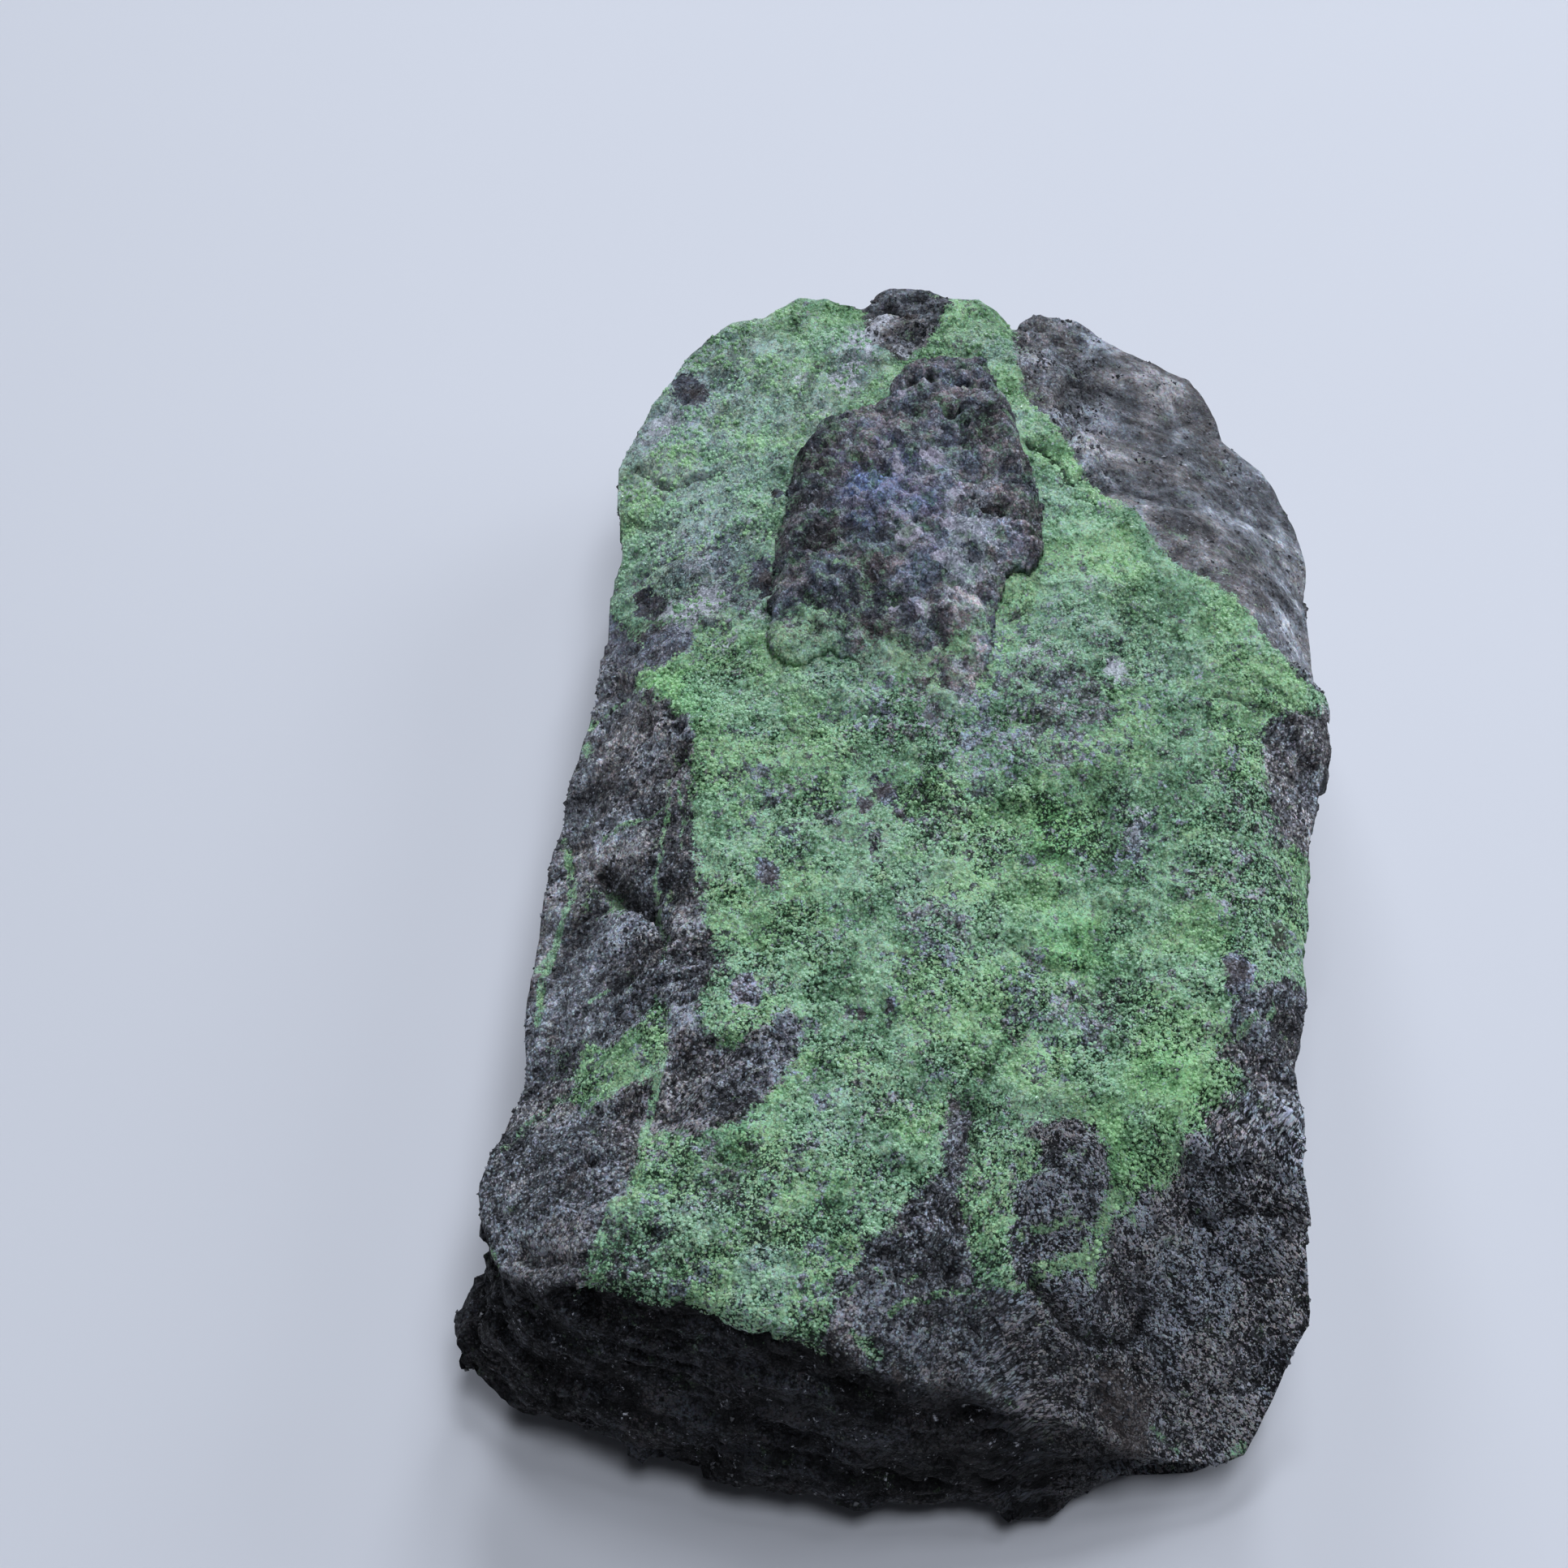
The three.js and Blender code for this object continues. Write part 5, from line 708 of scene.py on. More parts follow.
def build_matrix(columns=790, outer=70, wall=(24, 13, 8), base=5):
    fine = np.linspace(0, 2 * np.pi, 20001)
    rf = np.interp(fine, RIM_TH, RIM_R, period=2 * np.pi)
    length = np.r_[0, np.cumsum(np.hypot(np.diff(rf * np.cos(fine)), np.diff(rf * np.sin(fine))))]
    th = np.interp(np.arange(columns) / columns * length[-1], length, fine)
    r = np.interp(th, RIM_TH, RIM_R, period=2 * np.pi)
    z = np.interp(th, RIM_TH, RIM_Z, period=2 * np.pi)
    W = np.array(WALL, float)
    wo, wz, fo, fz, co = [np.interp(np.degrees(th), W[:, 0], W[:, k]) for k in range(1, 6)]
    ease = np.interp(np.degrees(th), [e[0] for e in EASE], [e[1] for e in EASE]) + np.interp(np.degrees(th), [c[0] for c in CHIP], [c[1] for c in CHIP])
    wo, fo, co = wo + ease, fo + ease, co + np.maximum(ease, 0.0)
    c, s = np.cos(th), np.sin(th)
    # rings of the top crowd together where the rock is bare, and spread out under the druse and scab
    S = np.linspace(0.04, 1.0, 320)
    GX = AXIS[0] + S[None] * (r * c)[:, None]
    GY = AXIS[1] + S[None] * (r * s)[:, None]
    hid = np.maximum(crust_edge(GX.ravel(), GY.ravel()), inside(SLAB, GX.ravel(), GY.ravel())).reshape(GX.shape)
    w = (0.055 + smooth(1.3, 0.2, hid)) * r[:, None]
    for _ in range(6):  # keep neighbours alike
        w = 0.25 * np.roll(w, 1, 0) + 0.5 * w + 0.25 * np.roll(w, -1, 0)
    cum = np.cumsum(w, 1)
    cum = (cum - cum[:, :1]) / (cum[:, -1:] - cum[:, :1])
    want = np.linspace(0, 1, outer)
    SR = np.stack([np.interp(want, cum[i], S) for i in range(columns)], 1)
    rings = []
    for j in range(outer):
        rings.append((SR[j] * r, None))
    wz = np.minimum(wz, z - 1.2)
    fz = np.minimum(fz, z - 2.2)
    stations = [(r, z), (r + wo, wz), (r + fo, fz), (r + co, np.zeros_like(r))]
    for leg in range(3):
        (r0, z0), (r1, z1) = stations[leg], stations[leg + 1]
        for k in range(1, wall[leg] + 1):
            t = k / wall[leg]
            rings.append((r0 + t * (r1 - r0), z0 + t * (z1 - z0)))
    for k in range(base - 1, 0, -1):
        rings.append(((k / base) * (r + co), np.zeros_like(r)))
    V = []
    for j, (rho, zz) in enumerate(rings):
        x, y = AXIS[0] + rho * c, AXIS[1] + rho * s
        if j < outer:
            zz = top(x, y) if j < outer - 1 else np.where(np.interp(np.degrees(th), [c[0] for c in CHIP], [c[1] for c in CHIP]) > 0.05, top(x, y), z)
        V.append(np.stack([x, y, zz], 1))
    V = np.concatenate([[[AXIS[0], AXIS[1], float(top(np.array([AXIS[0]]), np.array([AXIS[1]]))[0])]]] + V + [[[AXIS[0], AXIS[1], 0.0]]])
    n = columns
    i = np.arange(n)
    F = []
    for j in range(len(rings) - 1):
        a, b = 1 + j * n + i, 1 + j * n + (i + 1) % n
        if j % 2:
            F += [np.stack([a, a + n, b], 1), np.stack([b, a + n, b + n], 1)]
        else:
            F += [np.stack([a, a + n, b + n], 1), np.stack([a, b + n, b], 1)]
    F.append(np.stack([np.zeros(n, int), 1 + i, 1 + (i + 1) % n], 1))
    F.append(np.stack([np.full(n, len(V) - 1), 1 + (len(rings) - 1) * n + (i + 1) % n, 1 + (len(rings) - 1) * n + i], 1))
    F = np.concatenate(F)
    ring_of = np.concatenate([[0], np.repeat(np.arange(len(rings)), n), [len(rings) - 1]])
    col_of = np.concatenate([[0], np.tile(i, len(rings)), [0]])
    on_top = ring_of < outer
    N = normals_of(V, F)
    X, Y, Z = V.T.copy()
    # plan position used for the tables: wall points take the rim point above them
    RX, RY = np.where(on_top, X, (AXIS[0] + r * c)[col_of]), np.where(on_top, Y, (AXIS[1] + r * s)[col_of])
    down = np.where(on_top, 0.0, z[col_of] - Z)
    d = crust_edge(RX, RY)
    cover = np.where(on_top, d, -4.0)
    hid_v = np.maximum(cover, np.where(on_top, inside(SLAB, X, Y) - 0.3, -4.0))
    rim_gap = np.interp(np.arctan2(Y - AXIS[1], X - AXIS[0]) % (2 * np.pi), RIM_TH, RIM_R, period=2 * np.pi) - np.hypot(X - AXIS[0], Y - AXIS[1])
    sink = smooth(0.25, 0.9, np.minimum(hid_v, np.where(on_top, rim_gap, 0.0)))
    base_mask = smooth(0.0, 2.2, Z)
    side = np.clip(1.0 - np.abs(N[:, 2]) * 1.15, 0, 1)
    # faces turned to the front; this mask blends the wall relief and paints the front face in shade
    painted_shade_front = smooth(-0.1, 0.6, -N[:, 1]) * side
    big = fbm(V, 9.0, 3, 0.55, 3)
    plane = facets(V + 1.2 * np.stack([vnoise(V, 5, q) for q in (61, 62, 63)], 1), 5.0, 7)
    mid = fbm(V, 2.6, 3, 0.6, 13)
    grain = facets(V + 0.3 * np.stack([vnoise(V, 1.1, q) for q in (64, 65, 66)], 1), 1.5, 17)
    fine_n = facets(V, 0.8, 19)
    # layering on the steep end: flat lenses drawn out along X, dipping gently to the right
    L = np.stack([V[:, 0] * 0.24, V[:, 1] * 0.8, (V[:, 2] + 0.16 * V[:, 0]) * 1.15], 1)
    layer = fbm(L + 0.3 * big[:, None], 1.5, 4, 0.65, 23)
    ledge = fbm(L * 0.7 + 9, 1.5, 3, 0.6, 29)
    amp_side = 0.50 * big + 0.60 * plane + 0.30 * mid + 0.15 * grain + 0.07 * fine_n + 0.35 * (smooth(-0.1, 0.1, ledge) - 0.5) - 0.25
    amp_front = 0.35 * big + 0.22 * plane + 0.42 * layer + 0.60 * (smooth(-0.08, 0.10, ledge) - 0.5) + 0.16 * mid + 0.14 * grain + 0.05 * fine_n
    amp_side = np.minimum(amp_side, 0.03 + 0.085 * down)
    wall_amp = (amp_side * (1 - painted_shade_front) + amp_front * painted_shade_front) * smooth(-0.2, 1.6, down) * base_mask
    V = V + N * np.where(on_top, 0.0, wall_amp)[:, None]
    relief = skin(RX, RY, d)
    V[:, 2] += np.where(on_top, relief * (1 - sink) - 0.55 * sink, relief * np.exp(-np.maximum(down, 0) / 0.8)) * base_mask
    # bare steep ground also moves sideways a little
    lean = on_top & (N[:, 2] < 0.86)
    push = np.where(lean, (0.86 - N[:, 2]) * 1.3 * (0.5 * plane + 0.35 * grain) * (1 - sink), 0.0) * smooth(0.0, 1.2, rim_gap)
    V[:, :2] += N[:, :2] * push[:, None]
    V[:, 2] = np.maximum(V[:, 2], 0.0)
    contact = ring_of >= len(rings) - base
    V[contact, 2] = 0.0
    V[-1, 2] = 0.0
    field = np.stack([X, Y, np.where(on_top, 0.0, down)], 1)
    att = skin_attributes(RX, RY, np.where(on_top, d, np.minimum(d, 0.75 - 0.6 * down)), field, np.where(on_top, relief - soft_part(RX, RY), wall_amp * 0.6))
    att["recess_shade"] = np.where(on_top, att["recess_shade"], 0.0)
    fade = np.where(on_top, 1.0, np.exp(-np.maximum(down, 0) / 1.6))
    for key in ("brown", "lilac", "vein"):
        att[key] = att[key] * fade
    att["pale"] = att["pale"] * np.where(on_top, 1.0, smooth(8.0, 1.0, down))
    # painted shade over the front face and the front end of the wall, kept on the top only along the rim
    bearing = np.degrees(th)[col_of]
    end = smooth(220.5, 225.5, bearing) * smooth(288.0, 282.0, bearing) * smooth(0.1, 0.7, down)
    painted_shade_front = np.where(on_top, painted_shade_front * smooth(0.9, 0.2, rim_gap), np.maximum(painted_shade_front, end))
    att["painted_shade_front"] = painted_shade_front
    att["strata"] = np.where(on_top, 0.0, np.clip(1.6 * layer + 1.1 * fbm(L * 2.1 + 3, 1.1, 3, 0.6, 37), -1, 1))
    # walls below the rim, for the finish to paint darker: painted shade
    att["wall"] = np.where(on_top, 0.0, smooth(-0.3, 2.2, down))
    return mesh_of("chromite_rock", V, F, att), (V, F, N, np.where(on_top, d, np.minimum(d, -down)), painted_shade_front, on_top)


def drifts(P):
    """Tone over a few millimetres, shared by every piece: of the druse, of its crispness, of the rock, and two of hue."""
    W = P + 0.8 * np.stack([vnoise(P, 2.2, 721), vnoise(P, 2.2, 722), vnoise(P, 2.2, 723)], 1)
    plates = fbm(W + 20, 1.5, 4, 0.62, 703)
    mott = (0.52 * fbm(W, 3.2, 5, 0.62, 701) + 0.14 * (smooth(-0.05, 0.05, plates) - 0.5)) * (1 + 0.45 * smooth(2.0, -22.0, P[:, 1]))
    busy = smooth(-0.17, 0.20, fbm(W + 50, 3.0, 3, 0.58, 711))
    rnd = [cells(W, size, seed)[3][:, 0] - 0.5 for size, seed in ((3.2, 733), (1.3, 737))]
    rocky = 0.50 * fbm(P, 4.0, 4, 0.6, 731) + 0.16 * rnd[0] + 0.15 * rnd[1]
    return {"mott": mott, "busy": busy, "rocky": rocky, "hue": 0.5 + 0.5 * fbm(P, 3.6, 3, 0.65, 741), "rust": 0.5 + 0.5 * fbm(P, 3.0, 3, 0.7, 743)}


def skin_attributes(X, Y, d, P=None, rel=None):
    win = windows(X, Y)
    out = drifts(np.stack([X, Y, 0 * X], 1) if P is None else P)
    # the relief, which the finishes paint lighter on rises and darker in hollows: painted light and shade
    out["rel"] = np.clip(rel, -1, 1)
    # painted shade in the grooves
    out["recess_shade"] = np.clip(-grooves(X, Y) / 0.8, 0, 1)
    return out | {
        "edge": np.clip(d, -4, 4),
        "window": np.clip(win, -3, 2),
        "tone": blobs(TONE, X, Y, 0.7, 11),
        "grey": np.clip(blobs(GREY, X, Y, 0.7, 13), -0.7, 1.4),
        "frost": np.clip(blobs(FROST, X, Y, 0.9, 19), 0, 1.3),
        "lilac": np.clip(blobs(LILAC, X, Y, 0.4, 9), 0, 1.5),
        "brown": np.clip(blobs(BROWN, X, Y, 0.4, 7), 0, 1.5),
        "vein": veins(X, Y),
        "pale": blobs(LIT_AND_PALE, X, Y),
        "crisp": (0.40 + 0.55 * smooth(26.0, -6.0, Y) + 0.35 * smooth(-4.0, -24.0, Y)) * (1 - 0.62 * smooth(12.0, 17.0, X) * smooth(4.0, 9.0, Y)) * (1 - 0.30 * smooth(-18.0, -21.0, X) * smooth(-28.0, -22.0, Y)),
        "streak": smooth(2.0, 9.0, X) * smooth(-28.0, -34.0, Y),
    }


# ---------------------------------------------------------------- a closed sheet over a plan region
def sheet(keep, X, Y, Ztop, Zbot):
    """keep is a grid mask of cells; returns vertices and triangles of the closed sheet."""
    rows, cols = X.shape
    idx = -np.ones((rows, cols), np.int64)
    used = np.zeros((rows, cols), bool)
    used[:-1, :-1] |= keep
    used[1:, :-1] |= keep
    used[:-1, 1:] |= keep
    used[1:, 1:] |= keep
    idx[used] = np.arange(used.sum())
    n = int(used.sum())
    a, b = idx[:-1, :-1][keep], idx[:-1, 1:][keep]
    d, c = idx[1:, :-1][keep], idx[1:, 1:][keep]
    # alternate the diagonals
    r, q = np.nonzero(keep)
    alt = (r + q) % 2 == 0
    t1 = np.where(alt[:, None], np.stack([a, b, c], 1), np.stack([a, b, d], 1))
    t2 = np.where(alt[:, None], np.stack([a, c, d], 1), np.stack([b, c, d], 1))
    up = np.concatenate([t1, t2])
    down = up[:, ::-1] + n
    pad = np.pad(keep, 1)
    walls = []
    for (dr, dc), (p, q2) in (((-1, 0), (a, b)), ((0, 1), (b, c)), ((1, 0), (c, d)), ((0, -1), (d, a))):
        open_side = ~pad[1 + dr : pad.shape[0] - 1 + dr, 1 + dc : pad.shape[1] - 1 + dc][keep]
        e0, e1 = p[open_side], q2[open_side]
        walls.append(np.stack([e0, e0 + n, e1], 1))
        walls.append(np.stack([e1, e0 + n, e1 + n], 1))
    F = np.concatenate([up, down] + walls)
    V = np.concatenate([np.stack([X[used], Y[used], Ztop[used]], 1), np.stack([X[used], Y[used], Zbot[used]], 1)])
    return V, F, used


def split_pinches(keep):
    """Fill diagonal touches so the sheet stays a clean solid."""
    k = keep.copy()
    for _ in range(4):
        a, b, c, d = k[:-1, :-1], k[:-1, 1:], k[1:, :-1], k[1:, 1:]
        one = a & d & ~b & ~c
        two = b & c & ~a & ~d
        if not (one.any() or two.any()):
            break
        k[:-1, 1:][one] = True
        k[:-1, :-1][two] = True
    return k


def drop_small(keep, least=60):
    """Remove islands of fewer than least cells."""
    lab = np.zeros(keep.shape, np.int32)
    todo = keep.copy()
    label = 0
    rows, cols = keep.shape
    sizes = [0]
    while todo.any():
        label += 1
        r0, c0 = np.argwhere(todo)[0]
        stack = [(r0, c0)]
        todo[r0, c0] = False
        count = 0
        while stack:
            r, c = stack.pop()
            lab[r, c] = label
            count += 1
            for rr, cc in ((r + 1, c), (r - 1, c), (r, c + 1), (r, c - 1)):
                if 0 <= rr < rows and 0 <= cc < cols and todo[rr, cc]:
                    todo[rr, cc] = False
                    stack.append((rr, cc))
        sizes.append(count)
    sizes = np.array(sizes)
    return keep & (sizes[lab] >= least)


def build_crust(cell=0.262):
    xs = np.arange(-30.5, 31.0, cell)
    ys = np.arange(-48.0, 49.0, cell)
    X, Y = np.meshgrid(xs, ys)
    x, y = X.ravel(), Y.ravel()
    near = inside(CRUST_OUT, x, y) > -1.4
    for p in PATCHES:
        near |= inside(p, x, y) > -1.4
    d = np.full(len(x), -9.0)
    d[near] = crust_edge(x[near], y[near])
    # stay inside the rock's rim
    rim = np.interp(np.arctan2(y - AXIS[1], x - AXIS[0]) % (2 * np.pi), RIM_TH, RIM_R, period=2 * np.pi) - np.hypot(x - AXIS[0], y - AXIS[1])
    sheet_d = np.minimum(d, rim - 0.1)
    T = np.zeros(len(x))
    T[near] = top(x[near], y[near])
    R = np.zeros(len(x))
    R[near] = skin(x[near], y[near], d[near])
    thick = 0.09 * smooth(-0.1, 0.7, sheet_d) - 0.30 * smooth(0.15, -0.45, sheet_d)
    Zt = T + R + thick
    Zb = np.minimum(T - 1.0, Zt - 0.25)
    D = sheet_d.reshape(X.shape)
    node_ok = D > -0.42
    keep = node_ok[:-1, :-1] & node_ok[1:, :-1] & node_ok[:-1, 1:] & node_ok[1:, 1:]
    keep = split_pinches(drop_small(keep, 40))
    V, F, used = sheet(keep, X, Y, Zt.reshape(X.shape), Zb.reshape(X.shape))
    u = used.ravel()
    xu, yu = x[u], y[u]
    att = skin_attributes(xu, yu, d[u], rel=R[u] - soft_part(xu, yu))
    ob = mesh_of("uvarovite_druse", V, F, {k: np.concatenate([v, v]) for k, v in att.items()})
    return ob, dict(X=xu, Y=yu, Z=Zt[u], d=sheet_d[u], win=att["window"], tone=att["tone"], grey=att["grey"], mott=att["mott"], hue=att["hue"], R=R[u])


def build_slab(cell=0.19):
    A = np.array(SLAB)
    xs = np.arange(A[:, 0].min() - 1, A[:, 0].max() + 1, cell)
    ys = np.arange(A[:, 1].min() - 1, A[:, 1].max() + 1, cell)
    X, Y = np.meshgrid(xs, ys)
    x, y = X.ravel(), Y.ravel()
    P = np.stack([x, y, 0 * x], 1)
    wx = x + 0.45 * fbm(P, 1.5, 4, 0.65, 311)
    wy = y + 0.45 * fbm(P, 1.5, 4, 0.65, 313)
    d = inside(SLAB, wx, wy)
    T = top(x, y) + skin(x, y, np.full(len(x), 2.0))
    tail = smooth(1.5, 11.0, y)
    lobe = np.exp(-(((x + 8.4) / 3.0) ** 2 + ((y - 6.6) / 3.2) ** 2))
    notch = np.exp(-(((x - 8.2) / 1.8) ** 2 + ((y - 13.5) / 2.5) ** 2))
    height = 0.22 + 1.75 * tail + 0.85 * lobe * (1 - tail) - 0.5 * smooth(29.5, 34.0, y)
    sharp = np.clip(0.22 + 0.35 * lobe + 0.35 * notch + 0.12 * vnoise(P, 2.5, 315), 0.05, 0.8) * smooth(0.0, 5.0, y)
    prof = sharp + (1 - sharp) * np.sqrt(np.clip(smooth(-0.1, 2.0 + 0.8 * vnoise(P, 4.0, 316), d), 0, 1))
    # fabric of the scab: streaks that run down to the right, stacked flakes on the right side
    q = np.stack([0.85 * x + 0.52 * y, (0.85 * y - 0.52 * x) * 0.38, 0 * x], 1)
    streak = fbm(q + 0.3 * vnoise(P, 2.2, 318)[:, None], 0.9, 4, 0.65, 321)
    flakes = fbm(np.stack([x * 0.4, y * 1.3, 0 * x], 1), 1.2, 4, 0.65, 319)
    warp = 0.3 * np.stack([vnoise(P, 1.2, 364), vnoise(P, 1.2, 365), 0 * x], 1)
    broad = facets(P + 0.8 * np.stack([vnoise(P, 3, 366), vnoise(P, 3, 367), 0 * x], 1), 4.2, 343)
    rel = 0.42 * broad + 0.16 * fbm(P, 1.7, 3, 0.6, 327) + 0.34 * streak + 0.07 * facets(P + warp, 1.3, 331) + 0.07 * facets(P + warp, 0.7, 337)
    rel += 0.45 * (smooth(-0.1, 0.1, flakes) - 0.5) * smooth(2.0, 6.0, x) * smooth(8.0, 12.0, y)
    rel += 0.20 * (smooth(-0.06, 0.08, streak) - 0.5)
    pits = np.zeros(len(x))
    for px, py, pr, ps in SLAB_PITS:
        pits += ps * np.exp(-((((x - px) / (1.15 * pr)) ** 2 + ((y - py) / (1.2 * pr)) ** 2) ** 1.5))
    lift = 0.45 * smooth(1.6, 0.1, d) * (lobe + notch)
    low = T - 0.25 + lift * 1.5
    high = T + np.maximum(height * prof + 0.6 * lift + rel * smooth(-0.1, 0.7, d) * (0.25 + 0.75 * tail) - 0.85 * pits, -0.10 + 0.28 * smooth(0.0, 0.8, d))
    high = np.maximum(high, low + 0.12)
    keepn = (d > -0.02).reshape(X.shape)
    keep = keepn[:-1, :-1] & keepn[1:, :-1] & keepn[:-1, 1:] & keepn[1:, 1:]
    keep = split_pinches(drop_small(keep, 60))
    V, F, used = sheet(keep, X, Y, high.reshape(X.shape), low.reshape(X.shape))
    u = used.ravel()
    att = {}
    for key, table, w in (("green", SLAB_GREEN, 0.6), ("rust", SLAB_BROWN, 0.6), ("blue", SLAB_BLUE, 0.8), ("pink", SLAB_LILAC, 0.25)):
        v = np.clip(blobs(table, x[u], y[u], w, 15), 0, 1.5)
        att[key] = np.concatenate([v, v])
    att["edge"] = np.concatenate([np.clip(d[u], -1, 3)] * 2)
    att["tail"] = np.concatenate([1 - tail[u]] * 2)
    # the relief, which the scab's finish paints lighter on rises and darker in hollows: painted light and shade
    att["relief"] = np.concatenate([np.clip(rel[u], -1, 1)] * 2)
    att["fleck"] = np.concatenate([blobs(SLAB_FLECK, x[u], y[u], 0.5, 17)] * 2)
    att["crisp"] = np.full(2 * int(used.sum()), 0.65)
    # painted shade in the pits
    att["recess_shade"] = np.concatenate([np.clip(pits[u] * 1.3, 0, 1)] * 2)
    for key, v in drifts(P[u]).items():
        att[key] = np.concatenate([v, v])
    return mesh_of("chromite_scab", V, F, att), dict(X=x[u], Y=y[u], Z=high[u], d=d[u], green=att["green"][: int(used.sum())])


# ---------------------------------------------------------------- garnets
def dodecahedron():
    v = [(x, y, z) for x in (-1, 1) for y in (-1, 1) for z in (-1, 1)] + [(2, 0, 0), (-2, 0, 0), (0, 2, 0), (0, -2, 0), (0, 0, 2), (0, 0, -2)]
    V = np.array(v, float)
    faces = []
    six = range(8, 14)
    for i in six:
        for j in six:
            if i < j and abs(V[i] @ V[j]) < 1e-9:
                common = [k for k in range(8) if V[k] @ V[i] > 0 and V[k] @ V[j] > 0]
                a, b = common
                n = V[i] + V[j]
                q = [i, a, j, b]
                if np.cross(V[q[1]] - V[q[0]], V[q[2]] - V[q[0]]) @ n < 0:
                    q = [i, b, j, a]
                faces += [(q[0], q[1], q[3]), (q[1], q[2], q[3])]
    return V / 2.0, np.array(faces)


def rotations(rng, n):
    q = rng.normal(size=(n, 4))
    q /= np.linalg.norm(q, axis=1, keepdims=True)
    w, x, y, z = q.T
    return np.stack([
        np.stack([1 - 2 * (y * y + z * z), 2 * (x * y - z * w), 2 * (x * z + y * w)], 1),
        np.stack([2 * (x * y + z * w), 1 - 2 * (x * x + z * z), 2 * (y * z - x * w)], 1),
        np.stack([2 * (x * z - y * w), 2 * (y * z + x * w), 1 - 2 * (x * x + y * y)], 1)], 1)


def build_garnets(name, field, count, size, rng, weight):
    """Loose-grown garnets on the druse: count rhombic dodecahedra, of radius size (low, high) mm."""
    p = weight / weight.sum()
    pick = rng.choice(len(p), size=count, replace=True, p=p)
    x = field["X"][pick] + rng.uniform(-0.13, 0.13, count)
    y = field["Y"][pick] + rng.uniform(-0.13, 0.13, count)
    r = size[0] + (size[1] - size[0]) * rng.random(count) ** 1.8
    z = field["Z"][pick] + r * rng.uniform(-0.25, 0.35, count)
    D, DF = dodecahedron()
    R = rotations(rng, count)
    V = np.einsum("nij,vj->nvi", R, D) * r[:, None, None] + np.stack([x, y, z], 1)[:, None, :]
    F = DF[None] + (np.arange(count) * len(D))[:, None, None]
    shade = rng.random(count)
    tone = field["tone"][pick]
    att = {"shade": np.repeat(shade, len(D)), "tone": np.repeat(tone, len(D)), "grey": np.repeat(field["grey"][pick], len(D)), "mott": np.repeat(field["mott"][pick], len(D)), "hue": np.repeat(field["hue"][pick], len(D))}
    att["crisp"] = np.repeat(0.5 + 0.5 * smooth(24.0, -6.0, y), len(D))
    return mesh_of(name, V.reshape(-1, 3), F.reshape(-1, 3), att, smooth_shade=False)


def octahedra(name, at, r, rng, attributes):
    """Chromite grains: small octahedra, drawn out a little at random."""
    O = np.array([(1, 0, 0), (-1, 0, 0), (0, 1, 0), (0, -1, 0), (0, 0, 1), (0, 0, -1)], float)
    OF = np.array([(0, 2, 4), (2, 1, 4), (1, 3, 4), (3, 0, 4), (2, 0, 5), (1, 2, 5), (3, 1, 5), (0, 3, 5)])
    n = len(at)
    S = rng.uniform(0.65, 1.25, (n, 1, 3))
    R = rotations(rng, n)
    V = np.einsum("nij,nvj->nvi", R, O[None] * S) * r[:, None, None] + at[:, None, :]
    F = OF[None] + (np.arange(n) * 6)[:, None, None]
    att = {k: np.repeat(v, 6) for k, v in attributes.items()}
    att["shade"] = np.repeat(rng.random(n), 6)
    return mesh_of(name, V.reshape(-1, 3), F.reshape(-1, 3), att, smooth_shade=False)


def build_chromite_grains(rock, count, rng):
    V, F, N, d, painted_shade_front, on_top = rock
    A, B, C = V[F[:, 0]], V[F[:, 1]], V[F[:, 2]]
    area = 0.5 * np.linalg.norm(np.cross(B - A, C - A), axis=1)
    mid = (A + B + C) / 3
    bare = smooth(0.5, -0.2, d[F[:, 0]])
    seen = np.where(on_top[F[:, 0]], 1.0, 0.55) * bare * (mid[:, 2] > 0.9)
    seen *= np.clip(0.35 + 2.2 * fbm(mid, 2.5, 3, 0.6, 601), 0.02, 2.0) * (1 - 0.7 * painted_shade_front[F[:, 0]]) * (1 - 0.8 * smooth(12.0, 16.0, mid[:, 0]) * smooth(4.0, 8.0, mid[:, 1]))
    p = area * seen
    p /= p.sum()
    f = rng.choice(len(F), size=count, p=p)
    u, v = rng.random(count), rng.random(count)
    swap = u + v > 1
    u[swap], v[swap] = 1 - u[swap], 1 - v[swap]
    at = A[f] + u[:, None] * (B[f] - A[f]) + v[:, None] * (C[f] - A[f])
    r = 0.08 + 0.17 * rng.random(count) ** 2.4
    nrm = N[F[f, 0]]
    at = at + nrm * (r * rng.uniform(-0.45, 0.15, count))[:, None]
    at[:, 2] = np.maximum(at[:, 2], 0.5)
    return octahedra("chromite_grains", at, r, rng, {"painted_shade_front": painted_shade_front[F[f, 0]], "pale": blobs(LIT_AND_PALE, at[:, 0], at[:, 1])})


